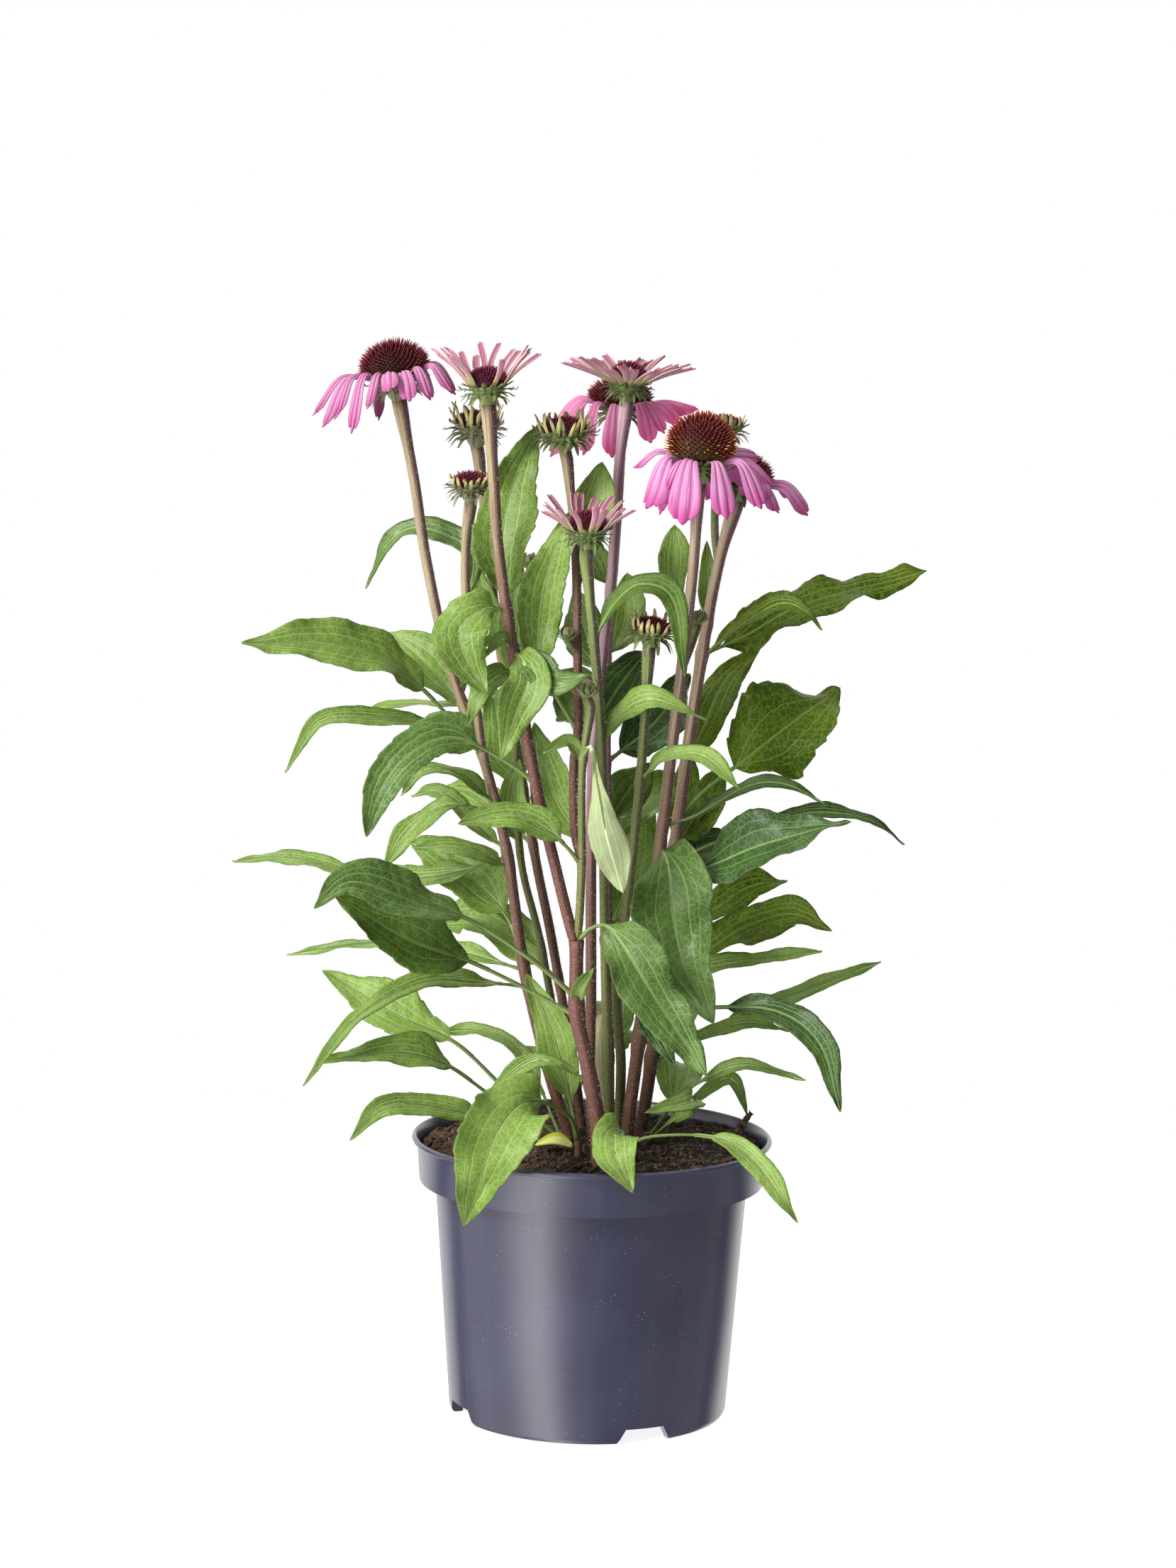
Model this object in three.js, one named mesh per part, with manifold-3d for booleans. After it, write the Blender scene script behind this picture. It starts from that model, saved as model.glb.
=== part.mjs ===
// Purple coneflower (Echinacea purpurea) in a nursery pot.
// Millimetres, +Z up, and the front of the plant faces -Y.
import * as THREE from "three";
import { mergeVertices } from "three/addons/utils/BufferGeometryUtils.js";
import { ConvexGeometry } from "three/addons/geometries/ConvexGeometry.js";
import Module from "manifold-3d";

// ---------------------------------------------------------------- driving dimensions

const GAP = 0.3; // clearance between pieces that touch
const HOLE_SLACK = 1.6 * GAP; // how much wider than its stem a hole in the soil is

const POT = {
  height: 147.4,
  lipRadius: 95,
  lipHeight: 3.2,
  bandTopRadius: 92.1,
  bandFootRadius: 90.9,
  bandHeight: 23.9,
  bodyTopRadius: 82.5,
  baseRadius: 73.3,
  cornerRadius: 2,
  wall: 1.8,
  footHeight: 8.6,
  notchWidth: 31,
  notchTopWidth: 21,
  notches: 4,
  firstNotch: 24, // degrees from the front, toward +X
  drainHoles: 4,
  drainRadius: 5,
  drainCircle: 42,
  segments: 30,
};

const SOIL = { level: 141.6, roughness: 1.1, rings: 3, segments: 22 };

const STUB = { x: 4.8, y: 3, radius: 4, foot: 126, top: 211, sides: 10 };

// A stick of bark that lies in the soil against the lip.
const STICK = { from: [70, 10, 136], to: [84, 18, 156], radius: 4 };

// The plant is drawn in elevation on the plane of the pot's axis, as an eye at this place sees it.
const EYE = { x: -5.4, z: 604, distance: 2116 };

const BLADE = { thickness: 1.3, stalkWidth: 2.6, stalkThickness: 2, widest: 0.38, fullness: 0.8, fold: 16 };

const STEM_SIDES = 5;

// A head: the bracts of its cup, the thickness of the disc that its petals grow from, how far the petals
// at its sides turn their faces to the front, and the relief of its cone.
const HEAD = { bracts: 8, disc: 1.6, facing: 0.9, ripeRelief: 2.4, youngRelief: 1.6 };

const COLOUR = {
  pot: 0x474b5c,
  soil: 0x3a2a20,
  leaf: 0x4f7a2e,
  stub: 0xb9c48a,
  petal: 0xcf6fa8,
  deepPetal: 0xb83a86,
  youngPetal: 0xc98aa0,
  cone: 0x6a2430,
  ripeCone: 0xa24a22,
  bud: 0xb3bf5e,
};

// ---------------------------------------------------------------- the plant, as drawn

// A stem: its node, its radius at the foot and at the top, and its route as [x, y, z],
// from the soil or its fork up.
const STEMS = {
  main: { node: "stem_main", radii: [4.3, 3.6], route: [
    [5.5, -50, 118], [3.4, -50, 143], [2.8, -50, 156], [-4, -50, 189], [-9, -49, 212], [-10, -48, 251]] },
  b: { node: "stem_main", radii: [3, 2.7], route: [
    [-10, -48, 249], [-13, -48, 257], [-20.7, -48, 286], [-32.7, -47, 334], [-44, -46, 394],
    [-53.7, -45, 453], [-57, -45, 492], [-60.3, -45, 530]] },
  l: { node: "stem_main", radii: [2.3, 1.9], route: [
    [-10, -48, 249], [-8.6, -49, 266], [-8, -50, 294], [-8.5, -53, 342], [-5, -55, 372], [-7, -56, 380]] },
  e: { node: "stem_main", radii: [2.5, 2.2], route: [
    [-8, -50, 294], [-12, -47, 311], [-12.9, -41, 346], [-11, -38, 361], [-12, -33, 401], [-13.9, -26, 452],
    [-18.7, -20, 499], [-20.6, -20, 508]] },
  left: { node: "stem_left", radii: [3.2, 2.6], route: [
    [-10.7, 8, 118], [-10.7, 8, 143], [-22.8, 7, 179], [-37, 5, 235], [-47.4, 2, 298.5], [-61, 0, 350]] },
  d: { node: "stem_left", radii: [2.5, 2.2], route: [
    [-60.6, 0, 348], [-63, -1, 364], [-70, -5, 425], [-70.8, -8, 458], [-68.4, -10, 481]] },
  a: { node: "stem_left", radii: [2.6, 2.6], route: [
    [-60.6, 0, 348], [-67, 1, 364], [-80, 3, 400], [-91.6, 5, 451], [-98, 7, 490.5], [-106.4, 8, 532]] },
  c: { node: "stem_c", radii: [2.6, 2.3], route: [
    [-3, 36, 118], [-5, 36, 150], [-21.7, 35, 245], [-33.9, 33, 303], [-54, 30, 416], [-64.3, 26, 499],
    [-66, 25, 509]] },
  m: { node: "stem_m", radii: [2.3, 1.7], route: [
    [-8, 23, 118], [-12, 22, 160], [-28, 18, 246], [-40.7, 14, 300], [-43, 26, 380], [-37, 40, 446]] },
  j: { node: "stem_j", radii: [2.6, 2.4], route: [
    [9, -16, 118], [9, -16, 150], [5, -22, 250], [2, -30, 342], [-2.4, -38, 397], [-8, -48, 448],
    [-8, -50, 457]] },
  f: { node: "stem_f", radii: [2.9, 2.5], route: [
    [0, 18, 118], [0, 18, 141], [-2, 14, 230], [-3, 8, 350], [4.6, 3, 437], [7.4, 1, 495], [11, 0, 533]] },
  g: { node: "stem_g", radii: [2.8, 2.5], route: [
    [8, 28, 118], [9, 29, 160], [5, 31, 300], [3, 32, 400], [6, 33, 450], [8, 35, 495], [7, 35, 521]] },
  k: { node: "stem_k", radii: [2.8, 2.3], route: [
    [14, -3, 118], [14, -4, 151], [14.6, -9, 186], [11.7, -13, 226], [17, -18, 280], [22.2, -26, 343],
    [25.2, -35, 407]] },
  h: { node: "stem_h", radii: [3.6, 2.7], route: [
    [20, -14, 118], [18.5, -14, 148], [24, -13, 201], [33.6, -16, 308], [42, -20, 393], [47.2, -23, 449],
    [48.8, -25, 492]] },
  n: { node: "stem_h", radii: [1.7, 1.6], route: [[42, -20, 393], [46, -13, 405], [50, -9, 419]] },
  i: { node: "stem_i", radii: [3.4, 2.8], route: [
    [25, 20, 118], [26, 20, 150], [31, 20, 193], [42, 22, 315], [53, 24, 405], [60.3, 26, 450],
    [69, 28, 483]] },
  o: { node: "stem_i", radii: [2.1, 2.1], route: [
    [60.3, 26, 450], [58, 44, 466], [58, 62, 488], [61, 66, 513]] },
  p: { node: "stem_main", radii: [1.4, 1.3], route: [[-12.2, -32, 404], [-15, -36, 406], [-17.5, -38, 409]] },
  crownLeft: { node: "leaves_left", radii: [5.5, 3], route: [
    [-15, -8, 118], [-15, -8, 140], [-17, -8, 149]] },
  crownRight: { node: "leaves_right", radii: [5.5, 3], route: [[28, 2, 118], [28, 2, 140], [29, 2, 149]] },
  crownFront: { node: "leaves_front", radii: [4.5, 2.6], route: [
    [-7, -38, 118], [-7, -38, 140], [-8, -38, 148]] },
  crownRim: { node: "leaves_rim", radii: [4.5, 2.6], route: [
    [18, -46, 118], [18, -46, 140], [19, -46, 147]] },
};

// A leaf: its stem, the height it leaves it at, its width, the share of its length that is stalk,
// the lean of its face in degrees (0 is up, 90 is forward), its route as [x, y, z] from the stem to the
// tip, and the share of its blade where it is widest if that isn't BLADE.widest.
const LEAVES = [
  ["left", 350, 27, 0.31, 55,
    [[-73, -4, 362], [-92, -14, 382], [-112, -26, 398], [-145, -40, 405], [-187, -52, 405]]],
  ["a", 372, 27, 0.1, 40, [[-84, 14, 389], [-98, 26, 402], [-111, 36, 412]]],
  ["left", 350, 11, 0.12, 45,
    [[-78, -12, 359], [-93, -14, 364], [-118, -18, 367], [-146, -20, 364], [-164, -18, 337]]],
  ["a", 374, 9, 0.1, 30, [[-88, 26, 375], [-105, 40, 374], [-122, 52, 372]]],
  ["b", 334, 24, 0.3, 60,
    [[-50, -52, 346], [-76, -62, 357], [-98, -72, 349], [-113, -78, 330], [-121, -82, 304]]],
  ["b", 424, 28, 0.12, 75, [[-62, -56, 424], [-73, -62, 414], [-70, -68, 399], [-59, -74, 380]]],
  ["b", 393, 12, 0.12, 60, [[-54, -58, 389], [-63, -62, 380], [-68, -64, 364]]],
  ["b", 402, 22, 0.08, 80, [[-40, -58, 397], [-38, -64, 386], [-44, -70, 368], [-51, -74, 346]]],
  ["b", 397, 17, 0.1, 70, [[-35, -60, 397], [-24, -66, 387], [-6, -70, 391]]],
  ["b", 404, 8, 0.1, 50, [[-51, -54, 409], [-60, -55, 400]]],
  ["d", 425, 13, 0.1, 40,
    [[-67, 10, 452], [-80, 18, 462], [-98, 24, 466], [-112, 28, 457], [-123, 30, 434]]],
  ["b", 420, 29, 0.12, 95, [[-50, -36, 438], [-52, -28, 462], [-46, -16, 492], [-33, -8, 521]]],
  ["e", 361, 23, 0.33, 90,
    [[-24, -40, 382], [-32, -38, 400], [-31, -34, 430], [-25, -34, 455], [-18, -36, 475]]],
  ["c", 400, 18, 0.1, 90, [[-61, 22, 422], [-66, 16, 450]]],
  ["c", 330, 24, 0.1, 85, [[-50, 60, 352], [-56, 84, 386]]],
  ["left", 322, 11, 0.12, 40, [[-66, -10, 334], [-82, -20, 341], [-94, -24, 338], [-103, -26, 326]]],
  ["left", 298, 11, 0.12, 40, [[-62, 16, 310], [-74, 24, 322], [-86, 30, 329], [-98, 38, 326]]],
  ["left", 316, 15, 0.3, 40, [[-70, -4, 322], [-84, -5, 319], [-98, -6, 307], [-112, -6, 288]]],
  ["left", 288, 12, 0.12, 50, [[-60, -8, 296], [-76, -12, 300], [-97, -12, 299]]],
  ["left", 295, 16, 0.12, 35,
    [[-75, 12, 286], [-100, 24, 283], [-130, 36, 286], [-160, 46, 293], [-191, 52, 290]]],
  ["main", 221, 27, 0.46, 50,
    [[-30, -52, 238], [-66, -60, 261], [-95, -74, 270], [-128, -88, 280], [-148, -96, 266]]],
  ["main", 211, 30, 0.44, 60, [[-40, -44, 227], [-66, -46, 239], [-98, -58, 250], [-137, -72, 273]]],
  ["left", 240, 29, 0.3, 65, [[-46, 14, 262], [-62, 22, 280], [-80, 32, 294], [-98, 44, 302]]],
  ["left", 235, 11, 0.1, 40, [[-80, 24, 246], [-118, 40, 248], [-162, 50, 241]]],
  ["crownLeft", 144, 28, 0.5, 45,
    [[-45, -6, 170], [-72, 4, 195], [-100, 16, 208], [-126, 28, 223], [-143, 36, 233]]],
  ["left", 226, 12, 0.12, 40, [[-60, -6, 228], [-90, -26, 228], [-125, -50, 208], [-153, -72, 171]]],
  ["crownLeft", 143, 18, 0.5, 45, [[-50, -16, 165], [-78, -28, 184], [-105, -42, 190], [-145, -56, 184]]],
  ["crownLeft", 144, 10, 0.3, 40, [[-36, 10, 188], [-58, 26, 202], [-84, 40, 201]]],
  ["crownLeft", 143, 14, 0.42, 60,
    [[-40, -24, 158], [-60, -34, 157], [-92, -48, 162], [-112, -58, 159], [-128, -64, 142]]],
  ["crownFront", 143, 38, 0.3, 70,
    [[-13, -46, 158], [-34, -66, 165], [-49, -90, 150], [-58, -106, 125], [-67, -112, 97]]],
  ["crownFront", 144, 20, 0.25, 85, [[-15, -36, 180], [-24, -30, 208], [-36, -24, 233]]],
  ["main", 175, 9, 0.15, 45, [[-20, -54, 186], [-36, -52, 184], [-61, -50, 162]]],
  ["l", 292, 17, 0.25, 60, [[-24, -58, 308], [-45, -62, 317], [-73, -62, 312]]],
  ["main", 216, 7, 0.1, 80, [[-8, -56, 226], [-1, -58, 236]]],
  ["main", 250, 30, 0.2, 60,
    [[-2, -54, 258], [7, -62, 258], [20, -76, 240], [36, -88, 215], [60, -98, 180]]],
  ["h", 300, 40, 0.04, 85, [[37, -30, 292], [41, -44, 262], [48, -54, 236], [63, -62, 208]]],
  ["k", 230, 13, 0.15, 70, [[18, -30, 227], [25, -42, 211]]],
  ["h", 201, 14, 0.15, 60, [[30, -28, 207], [43, -42, 186]]],
  ["i", 262, 9, 0.1, 60, [[55, 4, 241], [62, -2, 208]]],
  ["l", 348, 18, 0.06, -70, [[-4, -58, 353], [0.5, -62, 330], [5, -62, 306], [14, -58, 277]], 0.7],
  ["l", 346, 7, 0.1, 60, [[-16, -56, 356], [-29, -58, 350]]],
  ["j", 356, 14, 0.08, 45, [[12, -33, 372], [28, -42, 379], [56, -46, 369]]],
  ["k", 337, 12, 0.12, 45, [[34, -36, 348], [54, -44, 350], [74, -48, 333]]],
  ["j", 410, 13, 0.1, 50, [[6, -46, 428], [20, -52, 439], [37, -54, 431], [44, -54, 391]]],
  ["e", 430, 22, 0.1, 90, [[-9, -20, 460], [-1, -8, 502]], 0.6],
  ["f", 437, 13, 0.1, 85, [[-2, 6, 450], [-8, 10, 464]]],
  ["f", 300, 22, 0.1, 88, [[-22, 24, 326], [-34, 44, 366]]],
  ["f", 362, 26, 0.12, 85, [[9, 14, 384], [24, 26, 404]]],
  ["h", 420, 16, 0.1, 88, [[38, -14, 440], [37, -12, 470]], 0.64],
  ["i", 403, 27, 0.1, 45, [[75, 28, 413], [100, 34, 428], [130, 40, 438], [150, 46, 443], [168, 50, 449]]],
  ["i", 401, 12, 0.12, 40, [[73, 14, 419], [92, 6, 430], [105, 0, 427], [115, -4, 417]]],
  ["i", 418, 10, 0.1, 88, [[55, 30, 436], [54, 32, 462]]],
  ["i", 340, 21, 0.12, 60, [[55, 36, 366], [64, 56, 388], [83, 76, 408]]],
  ["i", 318, 50, 0.36, 60, [[56, 24, 332], [72, 30, 345], [98, 40, 366], [125, 52, 387]]],
  ["h", 312, 8, 0.15, 45, [[50, -14, 318], [77, -16, 334], [97, -18, 336], [119, -20, 326]]],
  ["i", 300, 22, 0.12, 60, [[54, 36, 322], [66, 52, 346]]],
  ["i", 302, 18, 0.1, 85, [[46, 40, 324], [48, 62, 351]]],
  ["h", 288, 33, 0.15, 45, [[56, -28, 291], [82, -42, 302], [110, -56, 311], [132, -64, 317]]],
  ["i", 296, 9, 0.3, 40, [[80, 12, 312], [112, 16, 321], [142, 20, 318], [161, 22, 305]]],
  ["i", 290, 20, 0.1, 60, [[54, 34, 302], [72, 44, 308]]],
  ["i", 253, 20, 0.2, 50, [[57, 24, 266], [80, 34, 281], [100, 40, 285]]],
  ["i", 236, 22, 0.2, 45, [[60, 8, 248], [78, 2, 260], [102, -4, 267], [124, -8, 259]]],
  ["i", 242, 18, 0.2, 45, [[60, 34, 250], [82, 50, 257], [105, 64, 262]]],
  ["h", 232, 12, 0.15, 40, [[55, -10, 237], [85, -12, 243], [119, -14, 248]]],
  ["i", 190, 12, 0.3, 40, [[65, 26, 205], [85, 34, 215], [115, 44, 229], [150, 54, 243]]],
  ["h", 201, 17, 0.38, 50,
    [[45, -24, 213], [66, -38, 217], [97, -54, 215], [119, -68, 198], [131, -76, 162]]],
  ["i", 188, 10, 0.2, 40, [[55, 16, 200], [80, 24, 209], [103, 32, 205]]],
  ["h", 196, 13, 0.2, 60, [[42, -4, 206], [58, -4, 224]]],
  ["crownRight", 144, 9, 0.45, 40, [[45, -4, 168], [62, -14, 180], [82, -24, 186], [112, -36, 179]]],
  ["crownRight", 143, 13, 0.3, 60, [[44, -12, 158], [54, -20, 167], [42, -34, 164], [28, -40, 160]]],
  ["crownRight", 143, 8, 0.4, 45, [[52, 10, 165], [72, 16, 179], [82, 18, 160]]],
  ["crownRim", 142, 24, 0.3, 62, [[17, -60, 149], [12, -76, 147], [13, -90, 136], [22, -101, 117]]],
  ["crownRim", 142, 13, 0.42, 50,
    [[32, -52, 147], [58, -60, 148], [76, -70, 143], [90, -80, 130], [110, -88, 102]]],
  ["c", 300, 18, 0.1, 60, [[-50, 54, 316], [-70, 78, 330], [-88, 98, 326]]],
  ["c", 230, 26, 0.15, 50, [[-38, 52, 246], [-62, 76, 262], [-92, 98, 258]]],
  ["m", 246, 12, 0.1, 45, [[-42, 30, 262], [-58, 36, 270]]],
  ["m", 380, 16, 0.1, 88, [[-46, 20, 412], [-43, 14, 455]]],
  ["g", 300, 28, 0.15, 45, [[20, 54, 320], [36, 74, 330], [58, 92, 318]]],
  ["g", 345, 28, 0.15, 75, [[28, 50, 366], [47, 76, 393]]],
  ["g", 400, 22, 0.12, 80, [[12, 54, 418], [13, 76, 445]]],
  ["g", 255, 26, 0.1, 85, [[18, 60, 290], [24, 86, 345]]],
  ["g", 362, 30, 0.12, 85, [[-8, 46, 376], [-25, 58, 393]]],
  ["g", 392, 24, 0.12, 88, [[-6, 46, 408], [-14, 56, 436]]],
  ["g", 312, 24, 0.12, 85, [[14, 42, 328], [27, 54, 346]]],
  ["g", 230, 30, 0.2, 40, [[14, 56, 250], [18, 78, 262], [20, 104, 250]]],
  ["m", 300, 16, 0.1, 80, [[-45, 12, 322], [-41, 10, 346]]],
  ["c", 170, 26, 0.3, 45, [[0, 64, 192], [14, 88, 206], [26, 112, 196]]],
  ["crownRight", 144, 26, 0.35, 45, [[41, 28, 164], [46, 58, 186], [46, 92, 182]]],
  ["g", 190, 26, 0.2, 45, [[10, 62, 208], [9, 88, 220], [6, 112, 210]]],
  ["c", 360, 24, 0.15, 55, [[-43, 66, 378], [-38, 94, 392]]],
  ["i", 215, 24, 0.2, 45, [[40, 50, 232], [50, 80, 240], [58, 104, 228]]],
  ["m", 172, 12, 0.2, 50, [[-24, 24, 186], [-38, 30, 194]]],
];

// A small bud on a side shoot: its stem, its radius and its height.
const SMALL_BUDS = [
  ["l", 6, 9],
  ["m", 5, 8],
  ["n", 4.5, 7],
  ["p", 4, 7],
];

// A head: its stem, its tilt in degrees toward +X and toward the front, the height of its green cup,
// and the radius and height of its cone or dome. Petals are listed as [tip x, tip y, tip z, width],
// and rays are rings of young petals.
const BLOOMS = {
  a: { tilt: [-9, 2], cup: 10.5, radius: 18, height: 17, florets: 66, colour: "petal", petals: [
    [-151, 2, 523, 5], [-146, -12, 517, 6.5], [-138, -18, 524, 5], [-131, -20, 514, 6.5],
    [-123, -28, 527, 5.5], [-112, -26, 536, 9.5], [-101, -24, 531, 9.5], [-91, -18, 534, 7],
    [-79, -6, 537, 7], [-77, 12, 535, 7], [-90, 34, 532, 9], [-117, 40, 521, 8], [-140, 26, 521, 6]] },
  g: { tilt: [2, 4], cup: 9.5, radius: 16.5, height: 11, florets: 52, colour: "petal", petals: [
    [48, 30, 530, 9], [42, 22, 527, 7], [38, 14, 522, 8], [31, 9, 517, 8], [24, 6, 512, 10],
    [4, 6, 504, 10], [-11, 9, 505, 9], [-28, 18, 504, 9], [-30, 38, 516, 9], [-16, 58, 520, 9],
    [6, 66, 522, 9], [28, 60, 524, 9]] },
  h: { tilt: [3, 6], cup: 11, radius: 18.2, height: 22, florets: 78, colour: "deepPetal", petals: [
    [15, -18, 499, 6], [22, -44, 478, 17], [33, -54, 488, 6], [29, -24, 475, 8], [41, -60, 470, 15],
    [64, -58, 473, 13], [82, -46, 479, 10], [88, -30, 492, 8], [80, -6, 506, 11], [72, 6, 490, 10],
    [54, 8, 484, 10], [36, 4, 486, 10]] },
  i: { tilt: [8, 4], cup: 9, radius: 16, height: 13, florets: 42, colour: "deepPetal", petals: [
    [106, 22, 476, 12], [91, 5, 477, 9], [84, 4, 484, 7], [75, 8, 485, 8], [61, 12, 484, 8],
    [53, 30, 483, 9], [61, 48, 485, 9], [78, 54, 485, 9], [97, 42, 486, 9]] },
};

// Opening heads: their young petals stand up and out from the cone.
const OPENING = {
  b: { tilt: [-3, 3], cup: 9.5, radius: 10, height: 7, florets: 32, rays: 13, reach: 27, rise: 17 },
  f: { tilt: [3, 4], cup: 9, radius: 9.5, height: 9, florets: 32, rays: 14, reach: 33, rise: 13 },
  j: { tilt: [0, 5], cup: 8.5, radius: 9.5, height: 8, florets: 32, rays: 13, reach: 24, rise: 16 },
};

// Closed heads: short yellow-green stubs round a low dome.
const BUDS = {
  c: { tilt: [0, 6], cup: 11, radius: 12, height: 6, stubs: 9, rise: 7 },
  d: { tilt: [-4, 8], cup: 8, radius: 9.5, height: 5, stubs: 9, rise: 6 },
  e: { tilt: [-2, 8], cup: 9, radius: 12.5, height: 6, stubs: 9, rise: 7 },
  k: { tilt: [6, 10], cup: 8, radius: 10, height: 5, stubs: 9, rise: 6 },
  o: { tilt: [4, 0], cup: 8, radius: 10, height: 5, stubs: 9, rise: 6 },
};

// ---------------------------------------------------------------- solids

const wasm = await Module();
wasm.setup();

/** A manifold-3d solid of a closed three.js geometry. */
function solid(geometry) {
  const bare = geometry.clone();
  bare.deleteAttribute("normal");
  bare.deleteAttribute("uv");
  const merged = mergeVertices(bare, 1e-3);
  return new wasm.Manifold(
    new wasm.Mesh({
      numProp: 3,
      vertProperties: Float32Array.from(merged.attributes.position.array),
      triVerts: Uint32Array.from(merged.index.array),
    }),
  );
}

/** The union of several solids, as one body. */
function fuse(solids) {
  return wasm.Manifold.union(solids);
}

/** A named mesh of a manifold-3d solid. */
function meshOf(name, body, colour, roughness) {
  const made = body.getMesh();
  const geometry = new THREE.BufferGeometry();
  geometry.setAttribute("position", new THREE.BufferAttribute(Float32Array.from(made.vertProperties), 3));
  geometry.setIndex(new THREE.BufferAttribute(Uint32Array.from(made.triVerts), 1));
  geometry.computeVertexNormals();
  const material = new THREE.MeshStandardMaterial({ color: colour, roughness, metalness: 0 });
  const mesh = new THREE.Mesh(geometry, material);
  mesh.name = name;
  return mesh;
}

/** A geometry of points and triangles. */
function geometryOf(points, triangles) {
  const geometry = new THREE.BufferGeometry();
  geometry.setAttribute("position", new THREE.Float32BufferAttribute(points.flatMap((p) => p.toArray()), 3));
  geometry.setIndex(triangles.flat());
  return geometry;
}

/** A repeatable random number from 0 to 1 for a whole number. */
function chance(seed) {
  const wave = Math.sin(seed * 12.9898 + 4.1414) * 43758.5453;
  return wave - Math.floor(wave);
}

/** The point in space of a point drawn in elevation, at depth y behind the drawing. */
function drawn([x, y, z]) {
  const spread = (EYE.distance + y) / EYE.distance;
  return new THREE.Vector3(EYE.x + (x - EYE.x) * spread, y, EYE.z + (z - EYE.z) * spread);
}

// ---------------------------------------------------------------- stems

/** A stem's curve. */
function curveOf(stem) {
  return new THREE.CatmullRomCurve3(stem.route.map(drawn), false, "catmullrom", 0.5);
}

/** The point on a stem that is drawn at a height. */
function pointAt(stem, height) {
  const curve = curveOf(stem);
  const samples = curve.getPoints(200);
  const miss = (p) => Math.abs(p.z - drawn([0, p.y, height]).z);
  return samples.reduce((best, p) => (miss(p) < miss(best) ? p : best));
}

/** A round solid along a curve, with its radius at each share of the length. */
function stalk(curve, radiusAt, steps, sides) {
  const frames = curve.computeFrenetFrames(steps, false);
  const geometry = new THREE.CylinderGeometry(1, 1, 1, sides, steps);
  const position = geometry.attributes.position;
  for (let i = 0; i < position.count; i++) {
    const share = position.getY(i) + 0.5;
    const station = Math.round(share * steps);
    const radius = radiusAt(share);
    const place = curve.getPointAt(share);
    place.addScaledVector(frames.normals[station], radius * position.getX(i));
    place.addScaledVector(frames.binormals[station], -radius * position.getZ(i));
    position.setXYZ(i, place.x, place.y, place.z);
  }
  return solid(geometry);
}

/** A stem's own solid, without what grows on it, thickened by an extra radius. */
function stemSolid(stem, extra = 0) {
  const curve = curveOf(stem);
  const [foot, top] = stem.radii;
  const steps = Math.max(2, Math.round(curve.getLength() / 50));
  return stalk(curve, (share) => extra + foot + (top - foot) * share, steps, STEM_SIDES);
}

// ---------------------------------------------------------------- leaves

/** Half the width of a blade at a share of its own length. */
function bladeHalfWidth(width, share, widest) {
  if (share <= 0 || share >= 1) return 0;
  const turn = Math.PI * Math.pow(share, Math.log(0.5) / Math.log(widest));
  return (width / 2) * Math.pow(Math.sin(turn), BLADE.fullness);
}

/**
 * A thin closed blade, thickest along its rib. Each row across it is [left, above, right, below], and the
 * rows run from its foot to its tip; both faces are split alike.
 */
function bladeSolid(rows) {
  const triangles = [];
  const at = (row, corner) => row * 4 + corner;
  for (let row = 0; row + 1 < rows.length; row++) {
    for (const edge of [0, 2])
      for (const face of [1, 3]) {
        const [a, b] = [at(row, edge), at(row, face)];
        const [c, d] = [at(row + 1, face), at(row + 1, edge)];
        if (edge + 1 === face || (edge === 2 && face === 3)) triangles.push([a, b, c], [a, c, d]);
        else triangles.push([a, c, b], [a, d, c]);
      }
  }
  const last = rows.length - 1;
  triangles.push([at(0, 0), at(0, 2), at(0, 1)], [at(0, 0), at(0, 3), at(0, 2)]);
  triangles.push([at(last, 0), at(last, 1), at(last, 2)], [at(last, 0), at(last, 2), at(last, 3)]);
  const body = solid(geometryOf(rows.flat(), triangles));
  if (body.volume() > 0) return body;
  return solid(geometryOf(rows.flat(), triangles.map(([a, b, c]) => [a, c, b])));
}

/** One row across a blade: its edges and the points above and below its rib. */
function bladeRow(centre, side, normal, half, lifts, thickness) {
  const edge = (way, lift) => centre.clone().addScaledVector(side, way * half).addScaledVector(normal, lift);
  const rib = (way) => centre.clone().addScaledVector(normal, (way * thickness) / 2);
  return [edge(-1, lifts[0]), rib(1), edge(1, lifts[1]), rib(-1)];
}

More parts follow.
